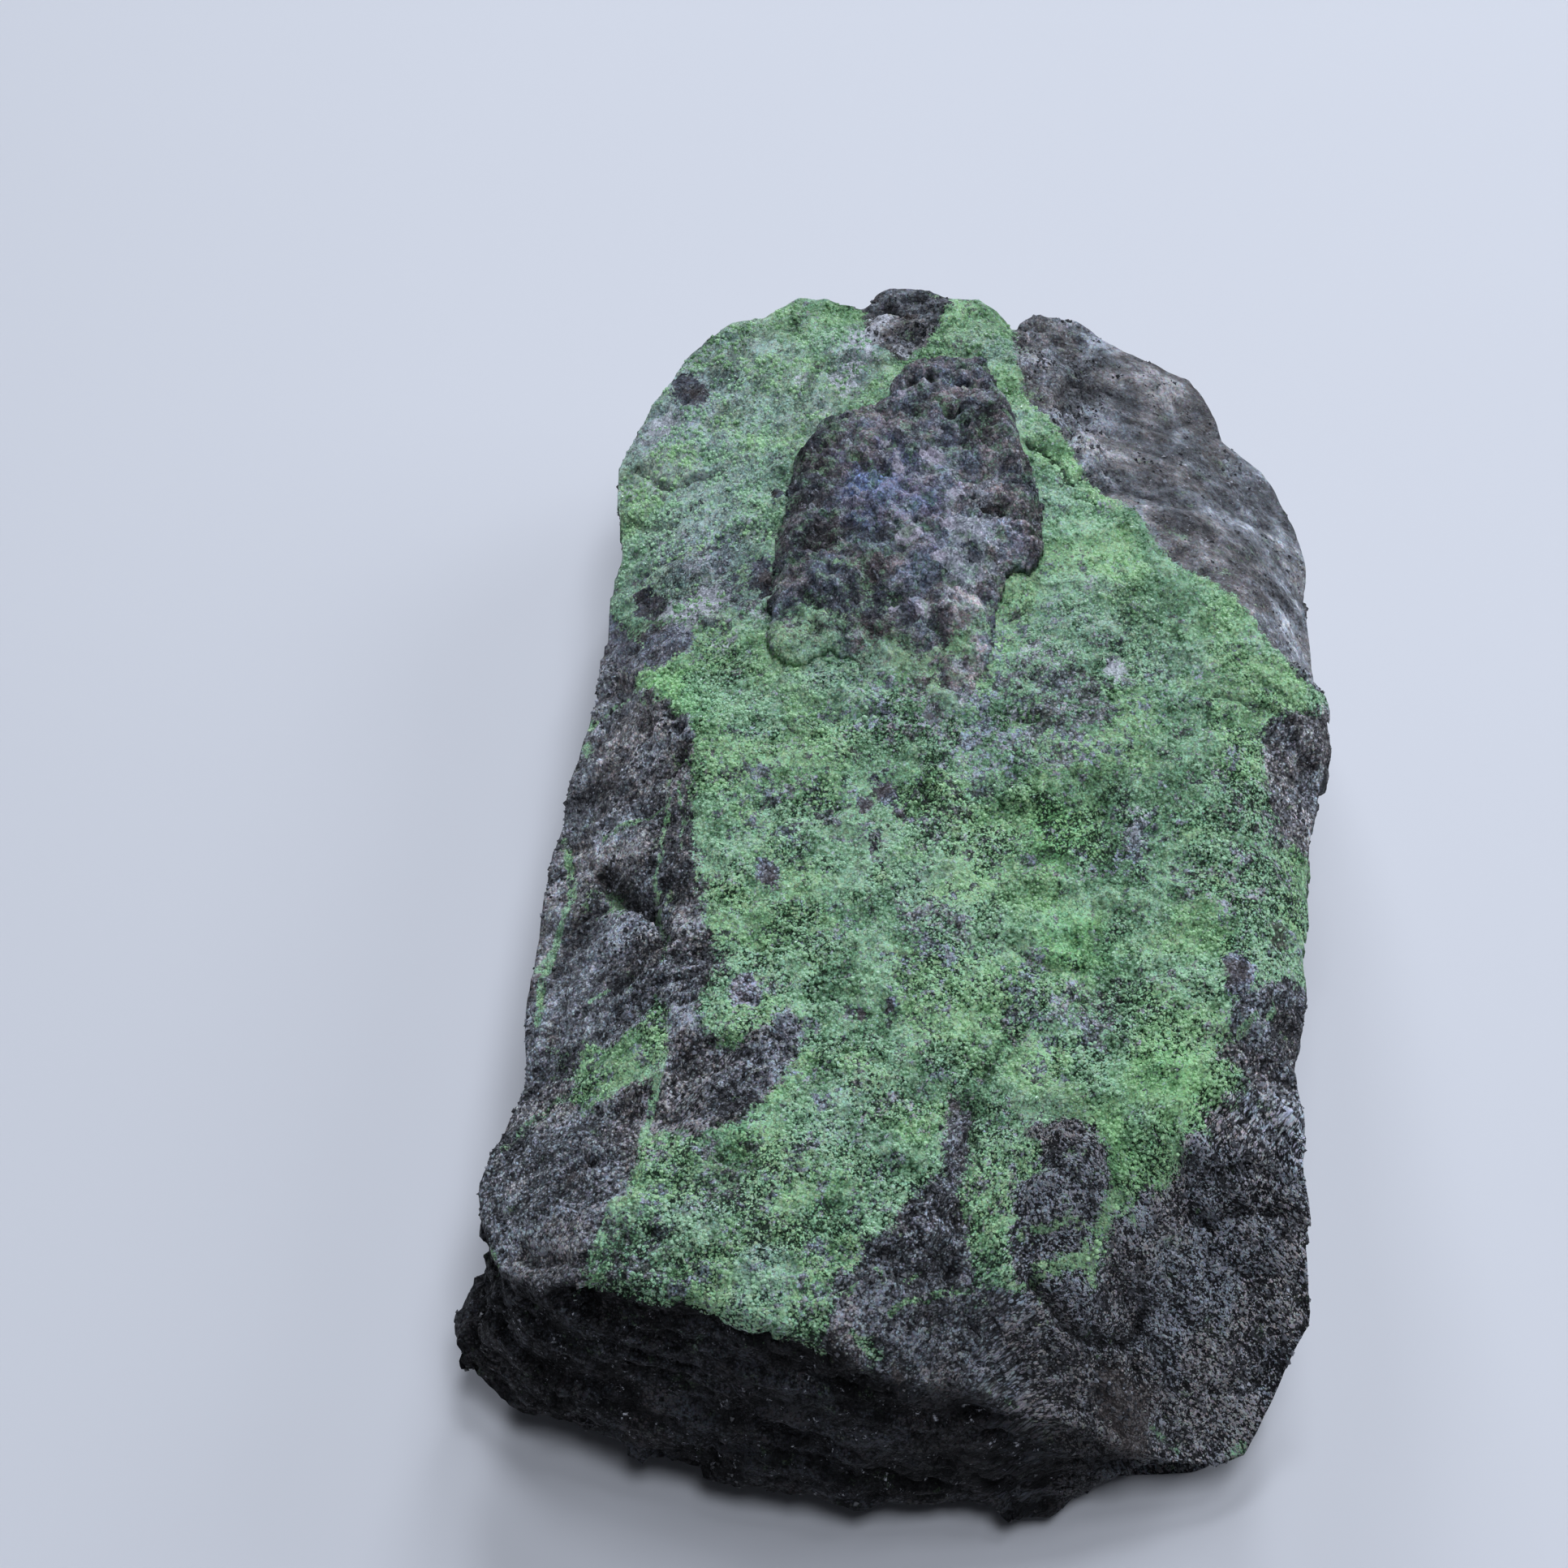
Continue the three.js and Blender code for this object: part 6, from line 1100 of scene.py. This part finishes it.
# ---------------------------------------------------------------- materials
class Graph:
    """Short calls for a material's node tree. Coordinates are millimetres of the row frame."""

    def __init__(self, name):
        self.mat = bpy.data.materials.new(name)
        self.mat.use_nodes = True
        self.tree = self.mat.node_tree
        self.tree.nodes.clear()
        self.out = self.add("ShaderNodeOutputMaterial")
        self.shader = self.add("ShaderNodeBsdfPrincipled")
        self.tree.links.new(self.shader.outputs[0], self.out.inputs[0])
        coord = self.add("ShaderNodeTexCoord").outputs["Object"]
        self.mm = self.vmath("SCALE", coord, scale=1000.0)

    def add(self, kind, **props):
        node = self.tree.nodes.new(kind)
        for key, value in props.items():
            setattr(node, key, value)
        return node

    def put(self, socket, value):
        if isinstance(value, bpy.types.NodeSocket):
            self.tree.links.new(value, socket)
        elif isinstance(value, (tuple, list)) and len(value) == 3 and len(socket.default_value) == 4:
            socket.default_value = (*value, 1.0)
        else:
            socket.default_value = value

    def math(self, op, a, b=None, c=None, clamp=False):
        n = self.add("ShaderNodeMath", operation=op, use_clamp=clamp)
        for k, v in enumerate((a, b, c)):
            if v is not None:
                self.put(n.inputs[k], v)
        return n.outputs[0]

    def vmath(self, op, a, b=None, scale=None):
        n = self.add("ShaderNodeVectorMath", operation=op)
        self.put(n.inputs[0], a)
        if b is not None:
            self.put(n.inputs[1], b)
        if scale is not None:
            self.put(n.inputs["Scale"], scale)
        return n.outputs["Value"] if op in ("DOT_PRODUCT", "LENGTH", "DISTANCE") else n.outputs[0]

    def noise(self, seed, size, detail=3.0, rough=0.55, distort=0.0, vec=None):
        """Noise of 0 to 1 about 0.5. The same seed gives the same field on every piece."""
        n = self.add("ShaderNodeTexNoise", noise_dimensions="3D", noise_type="FBM")
        self.put(n.inputs["Vector"], self.vmath("ADD", vec or self.mm, (13.7 * seed, -7.9 * seed, 5.3 * seed)))
        n.inputs["Scale"].default_value = 1.0 / size
        n.inputs["Detail"].default_value = detail
        n.inputs["Roughness"].default_value = rough
        n.inputs["Distortion"].default_value = distort
        return n.outputs[0]

    def grains(self, seed, size, vec=None):
        """Three random values of a grain, the distance from its middle, and a small tilted plane on it, in millimetres."""
        n = self.add("ShaderNodeTexVoronoi", voronoi_dimensions="3D", feature="F1")
        v = self.vmath("ADD", vec or self.mm, (13.7 * seed, -7.9 * seed, 5.3 * seed))
        self.put(n.inputs["Vector"], v)
        n.inputs["Scale"].default_value = 1.0 / size
        n.inputs["Randomness"].default_value = 1.0
        rnd = self.vmath("SUBTRACT", n.outputs["Color"], (0.5, 0.5, 0.5))
        off = self.vmath("SUBTRACT", v, n.outputs["Position"])
        height = self.vmath("DOT_PRODUCT", rnd, off)
        sep = self.add("ShaderNodeSeparateColor")
        self.put(sep.inputs[0], n.outputs["Color"])
        return sep.outputs[0], sep.outputs[1], sep.outputs[2], n.outputs["Distance"], height

    def stretched(self, along, squeeze, seed=0):
        """Coordinates drawn out along a plan direction of this many degrees."""
        a = math.radians(along)
        x = self.vmath("DOT_PRODUCT", self.mm, (math.cos(a) * squeeze, math.sin(a) * squeeze, 0.0))
        y = self.vmath("DOT_PRODUCT", self.mm, (-math.sin(a), math.cos(a), 0.35))
        z = self.vmath("DOT_PRODUCT", self.mm, (0.0, 0.0, 0.8))
        n = self.add("ShaderNodeCombineXYZ")
        for k, v in enumerate((x, y, z)):
            self.put(n.inputs[k], v)
        return n.outputs[0]

    def drawn(self, along, centre, amount):
        """Coordinates squeezed along a direction, so what follows them is drawn out along it."""
        from_centre = self.vmath("SUBTRACT", self.mm, centre)
        run = self.math("MULTIPLY", self.vmath("DOT_PRODUCT", from_centre, along), self.math("MULTIPLY", amount, 1.0))
        fine = self.vmath("SCALE", from_centre, scale=self.math("MULTIPLY_ADD", amount, 0.75, 1.0))
        return self.vmath("SUBTRACT", fine, self.vmath("SCALE", along, scale=run))

    def attr(self, name):
        return self.add("ShaderNodeAttribute", attribute_type="GEOMETRY", attribute_name=name).outputs["Fac"]

    def step(self, value, low, high, a=0.0, b=1.0, kind="SMOOTHSTEP"):
        n = self.add("ShaderNodeMapRange", interpolation_type=kind, clamp=True)
        self.put(n.inputs["Value"], value)
        n.inputs["From Min"].default_value = low
        n.inputs["From Max"].default_value = high
        n.inputs["To Min"].default_value = a
        n.inputs["To Max"].default_value = b
        return n.outputs["Result"]

    def line(self, value, low, high, a=0.0, b=1.0):
        return self.step(value, low, high, a, b, "LINEAR")

    def mix(self, fac, a, b, blend="MIX"):
        n = self.add("ShaderNodeMix", data_type="RGBA", blend_type=blend, clamp_factor=True)
        self.put(n.inputs[0], fac)
        self.put(n.inputs[6], a)
        self.put(n.inputs[7], b)
        return n.outputs[2]

    def ramp(self, value, stops, kind="LINEAR"):
        n = self.add("ShaderNodeValToRGB")
        cr = n.color_ramp
        cr.interpolation = kind
        while len(cr.elements) < len(stops):
            cr.elements.new(0.5)
        for e, (pos, col) in zip(cr.elements, stops):
            e.position = pos
            e.color = (*col, 1.0)
        self.put(n.inputs[0], value)
        return n.outputs[0]

    def scale_colour(self, colour, value):
        return self.vmath("SCALE", colour, scale=value)

    def tint(self, colour, red, blue, amount):
        """Swing the colour of each grain a little: red and blue are random values of 0 to 1."""
        n = self.add("ShaderNodeCombineXYZ")
        self.put(n.inputs[0], self.line(red, 0.0, 1.0, 1.0 - amount, 1.0 + amount))
        self.put(n.inputs[1], self.line(red, 0.0, 1.0, 1.0 + 0.2 * amount, 1.0 - 0.2 * amount))
        self.put(n.inputs[2], self.line(blue, 0.0, 1.0, 1.0 - amount, 1.0 + amount))
        return self.vmath("MULTIPLY", colour, n.outputs[0])

    def bump(self, height, strength=1.0, distance=0.001):
        n = self.add("ShaderNodeBump")
        n.inputs["Strength"].default_value = strength
        n.inputs["Distance"].default_value = distance
        self.put(n.inputs["Height"], height)
        return n.outputs[0]

    def sum(self, *parts, less=0.0):
        total = None
        for value, weight in parts:
            term = self.math("MULTIPLY", value, weight)
            total = term if total is None else self.math("ADD", total, term)
        return self.math("SUBTRACT", total, less) if less else total


def green_of(g, level):
    """Garnet colour from a level of 0, the painted shade of deep gaps, to 1, pale mint."""
    return g.ramp(level, [
        (0.00, (0.012, 0.030, 0.012)),
        (0.12, (0.026, 0.062, 0.027)),
        (0.26, (0.068, 0.150, 0.065)),
        (0.42, (0.135, 0.275, 0.128)),
        (0.60, (0.225, 0.415, 0.212)),
        (0.80, (0.345, 0.580, 0.318)),
        (1.00, (0.500, 0.780, 0.450)),
    ])


def garnet_level(g, crisp, tone, grey, cells):
    """How light the druse is: drifts of a few millimetres, painted light on the rises and painted shade in the hollows
    of the relief, then the single crystals, each darker towards its edge as painted shade in the gaps between them.
    """
    (r1, r2, r3, rd, rh), (s1, s2, s3, sd, sh) = cells
    mott, busy = g.attr("mott"), g.attr("busy")
    n2 = g.noise(2, 0.85, 4, 0.75)
    n3 = g.noise(3, 0.24, 2, 0.75)
    slow = g.sum((mott, 1.0), (n2, 1.25), (tone, 0.30), (grey, -0.10), (busy, -0.16), (g.attr("rel"), 0.14), less=-0.18)
    quick = g.sum((n3, 2.05), (s1, 0.52), (sd, -0.92), (r1, 0.24), (rd, -0.32), less=0.758)
    return g.math("ADD", slow, g.math("MULTIPLY", quick, g.math("MULTIPLY", crisp, g.line(busy, 0.0, 1.0, 0.50, 1.55))))


def garnet_colour(g, level, grey, cells, frost=None):
    (r1, r2, r3, rd, rh), (s1, s2, s3, sd, sh) = cells
    green = green_of(g, level)
    if frost is not None:
        green = g.mix(g.math("MULTIPLY", frost, 0.78), green, g.ramp(level, [(0.0, (0.035, 0.048, 0.045)), (0.5, (0.235, 0.305, 0.270)), (1.0, (0.60, 0.72, 0.66))]))
    # greyer garnet where it is thin, yellower and bluer drifts, and each crystal a little different
    green = g.mix(g.math("MULTIPLY", g.step(grey, 0.0, 1.2), 0.45), green, g.vmath("MULTIPLY", green, (0.98, 0.86, 1.05)))
    green = g.mix(g.step(grey, -0.6, 0.0, 0.5, 0.0), green, g.vmath("MULTIPLY", green, (0.90, 1.04, 0.88)))
    green = g.mix(g.step(grey, -0.6, 0.0, 0.5, 0.0), green, g.vmath("MULTIPLY", green, (0.90, 1.04, 0.88)))
    green = g.mix(g.step(g.attr("hue"), 0.42, 0.60), g.vmath("MULTIPLY", green, (0.99, 1.00, 0.95)), g.vmath("MULTIPLY", green, (0.98, 0.98, 1.06)))
    green = g.tint(green, s2, s3, 0.13)
    pale = g.math("MULTIPLY", g.step(s3, 0.93, 0.96), g.step(s1, 0.2, 0.6, 0.10, 0.45))
    return g.mix(pale, green, g.ramp(level, [(0.0, (0.06, 0.06, 0.075)), (0.5, (0.27, 0.28, 0.33)), (1.0, (0.62, 0.63, 0.70))]))


def rock_tone(g, crisp, cells, streak=None, vec=None):
    """Dark chromite, grain by grain and darker at the grain edges, with rusty and bluish drifts, painted light on the
    rises and painted shade in the hollows of the relief; the lightest grains, at the top of the ramp, are painted
    glints. Returns the colour and the two noises it is made from.
    """
    (r1, r2, r3, rd, rh), (s1, s2, s3, sd, sh) = cells
    patch = g.noise(12, 1.4, 4, 0.70, vec=vec)
    fine = g.noise(13, 0.40, 3, 0.75, vec=vec)
    slow = g.sum((g.attr("rocky"), 1.0), (patch, 1.20), (g.attr("rel"), 0.26), less=0.60)
    quick = g.sum((fine, 1.35), (r1, 0.30), (rd, -0.34), (s1, 0.50), (sd, -0.60), less=0.586)
    if streak is not None:
        quick = g.math("MULTIPLY", quick, g.line(streak, 0.0, 1.0, 1.0, 2.7))
        slow = g.sum((slow, 1.0), (g.math("MULTIPLY", streak, g.math("SUBTRACT", patch, 0.5)), 1.1), (streak, -0.09))
    level = g.math("ADD", g.math("ADD", slow, 0.61), g.math("MULTIPLY", quick, crisp))
    k = g.ramp(level, [
        (0.00, (0.008, 0.008, 0.009)),
        (0.20, (0.026, 0.026, 0.027)),
        (0.38, (0.066, 0.066, 0.067)),
        (0.56, (0.130, 0.132, 0.134)),
        (0.76, (0.250, 0.255, 0.262)),
        (1.00, (0.560, 0.570, 0.590)),
    ])
    warm = g.vmath("MULTIPLY", k, (1.06, 1.00, 0.97))
    cool = g.vmath("MULTIPLY", k, (0.96, 1.00, 1.05))
    col = g.mix(g.step(g.attr("rust"), 0.42, 0.62), cool, warm)
    col = g.tint(col, s2, s3, 0.13)
    return col, patch, fine


def ragged(g, cells):
    """Noise shared by every edge between garnet and chromite."""
    return g.sum((g.noise(21, 1.3, 5, 0.75), 3.4), (g.noise(22, 0.33, 3, 0.75), 2.4), (cells[1][2], 0.40), less=3.10)


def skin_material(name, roughness=(0.5, 0.9), spec=0.35, bump=1.0):
    """One finish for the rock and the druse: each piece carries the same fields, so they match where they meet."""
    g = Graph(name)
    edge, window, tone, grey = g.attr("edge"), g.attr("window"), g.attr("tone"), g.attr("grey")
    lilac, brown, vein, pale, painted_shade_front, wall, crisp = g.attr("lilac"), g.attr("brown"), g.attr("vein"), g.attr("pale"), g.attr("painted_shade_front"), g.attr("wall"), g.attr("crisp")
    streak, recess_shade = g.attr("streak"), g.attr("recess_shade")
    # on the steep corner the grains are drawn out down the slope
    vec = g.drawn((0.67, -0.63, -0.39), (14.0, -38.0, 14.0), g.math("MULTIPLY", streak, 0.62))
    cells = (g.grains(31, 0.40, vec), g.grains(32, 0.17, vec))
    (r1, r2, r3, rd, rh), (s1, s2, s3, sd, sh) = cells
    rock, patch, fine = rock_tone(g, crisp, cells, streak, vec)
    # regional lightness of the rock: partly its own tone, partly painted light and shade
    rock = g.scale_colour(rock, g.line(pale, -0.5, 1.4, 0.60, 2.31))
    # the front face painted in shade, near black, with its layering drawn across it
    rock = g.mix(painted_shade_front, rock, g.scale_colour(g.vmath("MULTIPLY", rock, (0.078, 0.077, 0.080)), g.line(g.attr("strata"), -0.6, 0.6, 0.22, 2.5)))
    # the walls below the rim painted darker: painted shade
    rock = g.mix(g.math("MULTIPLY", wall, 0.5), rock, g.scale_colour(rock, 0.35))

    rag = ragged(g, cells)
    inner = g.step(g.math("ADD", edge, g.math("MULTIPLY", rag, 0.70)), -0.05, 0.07)
    vmask = g.step(g.math("ADD", vein, g.math("MULTIPLY", rag, 0.36)), 0.30, 0.44)
    holes = g.step(g.math("ADD", window, g.math("MULTIPLY", rag, 0.55)), -0.12, 0.02)
    cover = g.math("MAXIMUM", g.math("MULTIPLY", inner, g.math("SUBTRACT", 1.0, holes)), g.math("MULTIPLY", vmask, 0.9))
    dust = g.math("MULTIPLY", g.step(g.sum((g.noise(23, 2.4, 5, 0.78), 1.0), (s2, 0.07)), 0.635, 0.69), g.step(edge, -4.0, -0.5, 0.30, 0.75))
    cover = g.math("MAXIMUM", cover, g.math("MULTIPLY", dust, g.line(painted_shade_front, 0.0, 1.0, 1.0, 0.25)))
    # between the garnets the rock shows, more where the druse is thin
    gaps = g.sum((g.noise(24, 1.7, 5, 0.76), 3.0), (g.noise(25, 0.45, 3, 0.75), 1.5), (grey, 0.45), (tone, -0.12), (s2, 0.22), (crisp, 0.12))
    gaps = g.step(gaps, 2.66, 2.86)
    cover = g.math("MULTIPLY", cover, g.math("SUBTRACT", 1.0, g.math("MULTIPLY", gaps, 0.88)))

    level = garnet_level(g, crisp, tone, grey, cells)
    green = garnet_colour(g, level, grey, cells, g.attr("frost"))
    # the chromite that shows through the druse is broken fresh, greyer and lilac
    fresh = g.mix(inner, rock, g.vmath("MULTIPLY", rock, (1.00, 1.04, 1.14)))
    col = g.mix(cover, fresh, green)

    bm = g.step(g.math("ADD", brown, g.math("MULTIPLY", rag, 0.50)), 0.34, 0.66)
    rusty = g.ramp(g.sum((s1, 0.5), (fine, 0.5)), [(0.15, (0.022, 0.017, 0.015)), (0.50, (0.070, 0.055, 0.048)), (0.85, (0.210, 0.170, 0.150))])
    col = g.mix(g.math("MULTIPLY", bm, 0.80), col, rusty)
    lm = g.step(g.math("ADD", lilac, g.math("MULTIPLY", rag, 0.85)), 0.46, 0.86)
    broken = g.ramp(g.sum((s1, 0.5), (fine, 0.6)), [(0.15, (0.20, 0.205, 0.23)), (0.40, (0.56, 0.57, 0.62)), (0.66, (0.88, 0.89, 0.93))])
    col = g.mix(g.math("MULTIPLY", lm, 0.82), col, broken)
    # painted shade in the grooves
    col = g.scale_colour(col, g.line(recess_shade, 0.0, 1.0, 1.0, 0.22))
    height = g.sum((rh, 1.1), (sh, 1.3), (fine, g.line(streak, 0.0, 1.0, 0.26, 0.60)), (sd, -0.04))
    g.put(g.shader.inputs["Base Color"], col)
    g.put(g.shader.inputs["Roughness"], g.line(g.sum((r2, 0.6), (s2, 0.4)), 0.2, 0.8, *roughness))
    g.shader.inputs["IOR"].default_value = 1.6
    g.put(g.shader.inputs["Specular IOR Level"], g.line(painted_shade_front, 0.0, 1.0, spec, spec * 0.45))
    g.put(g.shader.inputs["Normal"], g.bump(height, bump))
    return g.mat


def scab_material():
    g = Graph("chromite_scab")
    crisp = g.attr("crisp")
    cells = (g.grains(31, 0.40), g.grains(32, 0.17))
    (r1, r2, r3, rd, rh), (s1, s2, s3, sd, sh) = cells
    rock, patch, fine = rock_tone(g, crisp, cells)
    rock = g.vmath("MULTIPLY", rock, (0.78, 0.85, 1.01))
    blue, rust, green, pink, tail, relief, fleck = g.attr("blue"), g.attr("rust"), g.attr("green"), g.attr("pink"), g.attr("tail"), g.attr("relief"), g.attr("fleck")
    # painted light on the rises and painted shade in the hollows of the relief
    rock = g.scale_colour(rock, g.line(relief, -0.5, 0.5, 0.45, 1.60))
    rock = g.scale_colour(rock, g.line(fleck, 0.0, 1.6, 0.76, 2.9))
    wob = g.sum((patch, 2.0), less=1.0)
    col = g.mix(g.math("MULTIPLY", g.step(g.math("ADD", blue, wob), 0.15, 0.8), 0.9), rock, g.vmath("MULTIPLY", rock, (0.62, 0.72, 0.98)))
    col = g.mix(g.math("MULTIPLY", g.step(g.math("ADD", rust, wob), 0.2, 0.75), 0.8), col, g.vmath("MULTIPLY", col, (1.24, 0.96, 0.80)))
    rag = ragged(g, cells)
    lm = g.step(g.math("ADD", g.math("MULTIPLY", pink, 1.6), g.math("MULTIPLY", rag, 0.45)), 0.52, 0.74)
    col = g.mix(g.math("MULTIPLY", lm, 0.85), col, g.ramp(g.sum((s1, 0.5), (fine, 0.6)), [(0.15, (0.20, 0.185, 0.21)), (0.45, (0.50, 0.45, 0.53)), (0.75, (0.80, 0.74, 0.84))]))
    # pale flecks on the broken edges of the flakes
    chips = g.noise(26, 0.95, 5, 0.78, vec=g.stretched(-62.0, 0.45))
    flecks = g.step(g.sum((chips, 1.0), (s2, 0.06), (fleck, 0.13)), 0.625, 0.685)
    col = g.mix(g.math("MULTIPLY", flecks, 0.80), col, g.ramp(g.sum((s1, 0.5), (fine, 0.5)), [(0.2, (0.16, 0.18, 0.21)), (0.5, (0.46, 0.50, 0.55)), (0.8, (0.80, 0.82, 0.88))]))
    gm = g.step(g.math("ADD", g.math("ADD", green, g.math("MULTIPLY", tail, 0.28)), g.math("MULTIPLY", rag, 0.65)), 0.38, 0.80)
    # a breath of green over all of it
    haze = g.step(g.sum((g.noise(27, 1.2, 5, 0.78), 1.0), (s3, 0.10)), 0.56, 0.66, 0.0, 0.5)
    level = garnet_level(g, crisp, tail, tail, cells)
    greens = garnet_colour(g, g.math("SUBTRACT", level, 0.08), tail, cells)
    col = g.mix(g.math("MAXIMUM", g.math("MULTIPLY", gm, 0.88), haze), col, greens)
    # painted shade in the pits
    col = g.scale_colour(col, g.line(g.attr("recess_shade"), 0.0, 1.0, 1.0, 0.12))
    height = g.sum((rh, 1.0), (sh, 1.1), (fine, 0.24), (chips, 0.25))
    g.put(g.shader.inputs["Base Color"], col)
    g.put(g.shader.inputs["Roughness"], g.line(g.sum((r2, 0.6), (s2, 0.4)), 0.2, 0.8, 0.45, 0.85))
    g.shader.inputs["IOR"].default_value = 1.6
    g.shader.inputs["Specular IOR Level"].default_value = 0.4
    g.put(g.shader.inputs["Normal"], g.bump(height))
    return g.mat


def garnet_material():
    g = Graph("uvarovite_garnet")
    shade, tone, grey, crisp = g.attr("shade"), g.attr("tone"), g.attr("grey"), g.attr("crisp")
    n2 = g.noise(2, 0.85, 2, 0.75)
    level = g.sum((g.attr("mott"), 1.0), (n2, 1.25), (tone, 0.30), (grey, -0.10), (g.math("MULTIPLY", g.math("SUBTRACT", shade, 0.35), crisp), 0.60), less=-0.09)
    green = green_of(g, level)
    green = g.mix(g.step(grey, -0.6, 0.0, 0.5, 0.0), green, g.vmath("MULTIPLY", green, (0.90, 1.04, 0.88)))
    green = g.mix(g.step(g.attr("hue"), 0.42, 0.60), g.vmath("MULTIPLY", green, (1.00, 1.01, 0.92)), g.vmath("MULTIPLY", green, (0.98, 0.98, 1.08)))
    g.put(g.shader.inputs["Base Color"], green)
    g.put(g.shader.inputs["Roughness"], g.line(shade, 0.0, 1.0, 0.28, 0.6))
    g.shader.inputs["IOR"].default_value = 1.75
    g.shader.inputs["Specular IOR Level"].default_value = 0.4
    return g.mat


def grain_material():
    g = Graph("chromite_grain")
    shade, painted_shade_front, pale = g.attr("shade"), g.attr("painted_shade_front"), g.attr("pale")
    # the lightest grains, at the top of the ramp, are painted glints
    col = g.ramp(shade, [(0.0, (0.008, 0.008, 0.009)), (0.5, (0.035, 0.035, 0.038)), (0.85, (0.110, 0.113, 0.122)), (1.0, (0.30, 0.31, 0.34))])
    # regional lightness: partly the rock's own tone, partly painted light and shade
    col = g.scale_colour(col, g.line(pale, -0.5, 1.0, 0.6, 1.95))
    # painted shade on the front face
    col = g.mix(painted_shade_front, col, g.scale_colour(col, 0.12))
    g.put(g.shader.inputs["Base Color"], col)
    g.put(g.shader.inputs["Roughness"], g.line(shade, 0.0, 1.0, 0.6, 0.35))
    g.shader.inputs["IOR"].default_value = 1.7
    g.shader.inputs["Specular IOR Level"].default_value = 0.4
    return g.mat


def floor_material():
    g = Graph("pale_floor")
    n = g.noise(50, 60.0, 2, 0.5)
    g.put(g.shader.inputs["Base Color"], g.mix(n, (0.80, 0.80, 0.80), (0.82, 0.82, 0.82)))
    g.shader.inputs["Roughness"].default_value = 0.6
    g.shader.inputs["Specular IOR Level"].default_value = 0.25
    return g.mat


# ---------------------------------------------------------------- the pieces
rng = np.random.default_rng(SEED)
rock, rock_data = build_matrix()
druse, field = build_crust()
scab, scab_field = build_slab()
grains = build_chromite_grains(rock_data, 20000, rng)

rock.data.materials.append(skin_material("chromite_rock"))
druse.data.materials.append(skin_material("uvarovite_druse", roughness=(0.6, 0.9), spec=0.25))
scab.data.materials.append(scab_material())
grains.data.materials.append(grain_material())
pieces = [rock, druse, scab, grains]

# garnets sit on the green of the druse, clear of the scab and of its windows
X, Y = field["X"], field["Y"]
P2 = np.stack([X, Y, 0 * X], 1)
under_scab = inside(SLAB, X, Y) > -0.15
weight = smooth(-0.1, 0.5, field["d"]) * smooth(0.1, -0.5, field["win"]) * np.clip(0.40 + 0.55 * field["tone"] - 0.40 * field["grey"] + 1.3 * fbm(P2, 1.8, 3, 0.6, 501), 0.02, 2.0) ** 1.4
weight[under_scab] = 0.0
garnet_mat = garnet_material()
for k in range(2):
    g = build_garnets("uvarovite_garnets_%d" % (k + 1), field, 7700, (0.07, 0.20), rng, weight)
    g.data.materials.append(garnet_mat)
    pieces.append(g)

total = 0
for p in pieces:
    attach(p, "root")
    count = sum(len(f.vertices) - 2 for f in p.data.polygons)
    total += count
    print("piece", p.name, len(p.data.vertices), count)
print("pieces in all", total)
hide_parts("chromite_matrix")
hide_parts("uvarovite_crust")
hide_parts("chromite_slab")

# ---------------------------------------------------------------- floor, light and camera
bpy.ops.mesh.primitive_plane_add(size=6.0, location=(0, 0, -0.00005))
floor = bpy.context.object
floor.name = "floor"
floor.data.materials.append(floor_material())

scene = bpy.context.scene
scene.view_settings.view_transform = "Standard"
scene.view_settings.look = "None"
world = bpy.data.worlds.new("soft_room")
scene.world = world
world.use_nodes = True
back = world.node_tree.nodes["Background"]
back.inputs[0].default_value = (0.76, 0.82, 1.0, 1.0)
back.inputs[1].default_value = 0.05


def soft_light(name, bearing, rise, away, width, height, glow):
    """A rectangle of even brightness, turned to the specimen. Bearing and rise in degrees, lengths in metres."""
    a, e = math.radians(bearing), math.radians(rise)
    at = Vector((math.cos(e) * math.cos(a), math.cos(e) * math.sin(a), math.sin(e))) * away
    data = bpy.data.lights.new(name, "AREA")
    data.shape = "RECTANGLE"
    data.size, data.size_y = width, height
    data.energy = glow * math.pi * width * height
    data.color = (0.80, 0.86, 1.0)
    ob = bpy.data.objects.new(name, data)
    scene.collection.objects.link(ob)
    ob.location = at
    ob.rotation_euler = at.to_track_quat("Z", "Y").to_euler()
    return ob


soft_light("window", 74, 41, 1.20, 0.24, 0.34, 9.2 * LIGHT)
soft_light("window_low", 98, 25, 1.20, 0.24, 0.30, 20.0 * LIGHT)
soft_light("window_high", 70, 58, 0.80, 0.24, 0.22, 3.3 * LIGHT)
soft_light("overhead", 88, 78, 0.60, 0.10, 0.10, 15.5 * LIGHT)
soft_light("overhead_right", 0, 78, 0.60, 0.10, 0.10, 10.5 * LIGHT)
soft_light("overhead_front", 284, 72, 0.60, 0.16, 0.16, 12.0 * LIGHT)
soft_light("right", 30, 35, 0.80, 0.30, 0.30, 3.0 * LIGHT)
soft_light("near_right", 15, 25, 0.50, 0.30, 0.25, 1.2 * LIGHT)

cam = bpy.data.cameras.new("camera")
cam.lens = 77.97
cam.sensor_width = 36.0
cam.clip_start = 0.01
camera = bpy.data.objects.new("camera", cam)
camera.location = (-0.00931, -0.14662, 0.20427)
camera.rotation_euler = (math.radians(38.0), 0.0, 0.0)
scene.collection.objects.link(camera)
scene.camera = camera
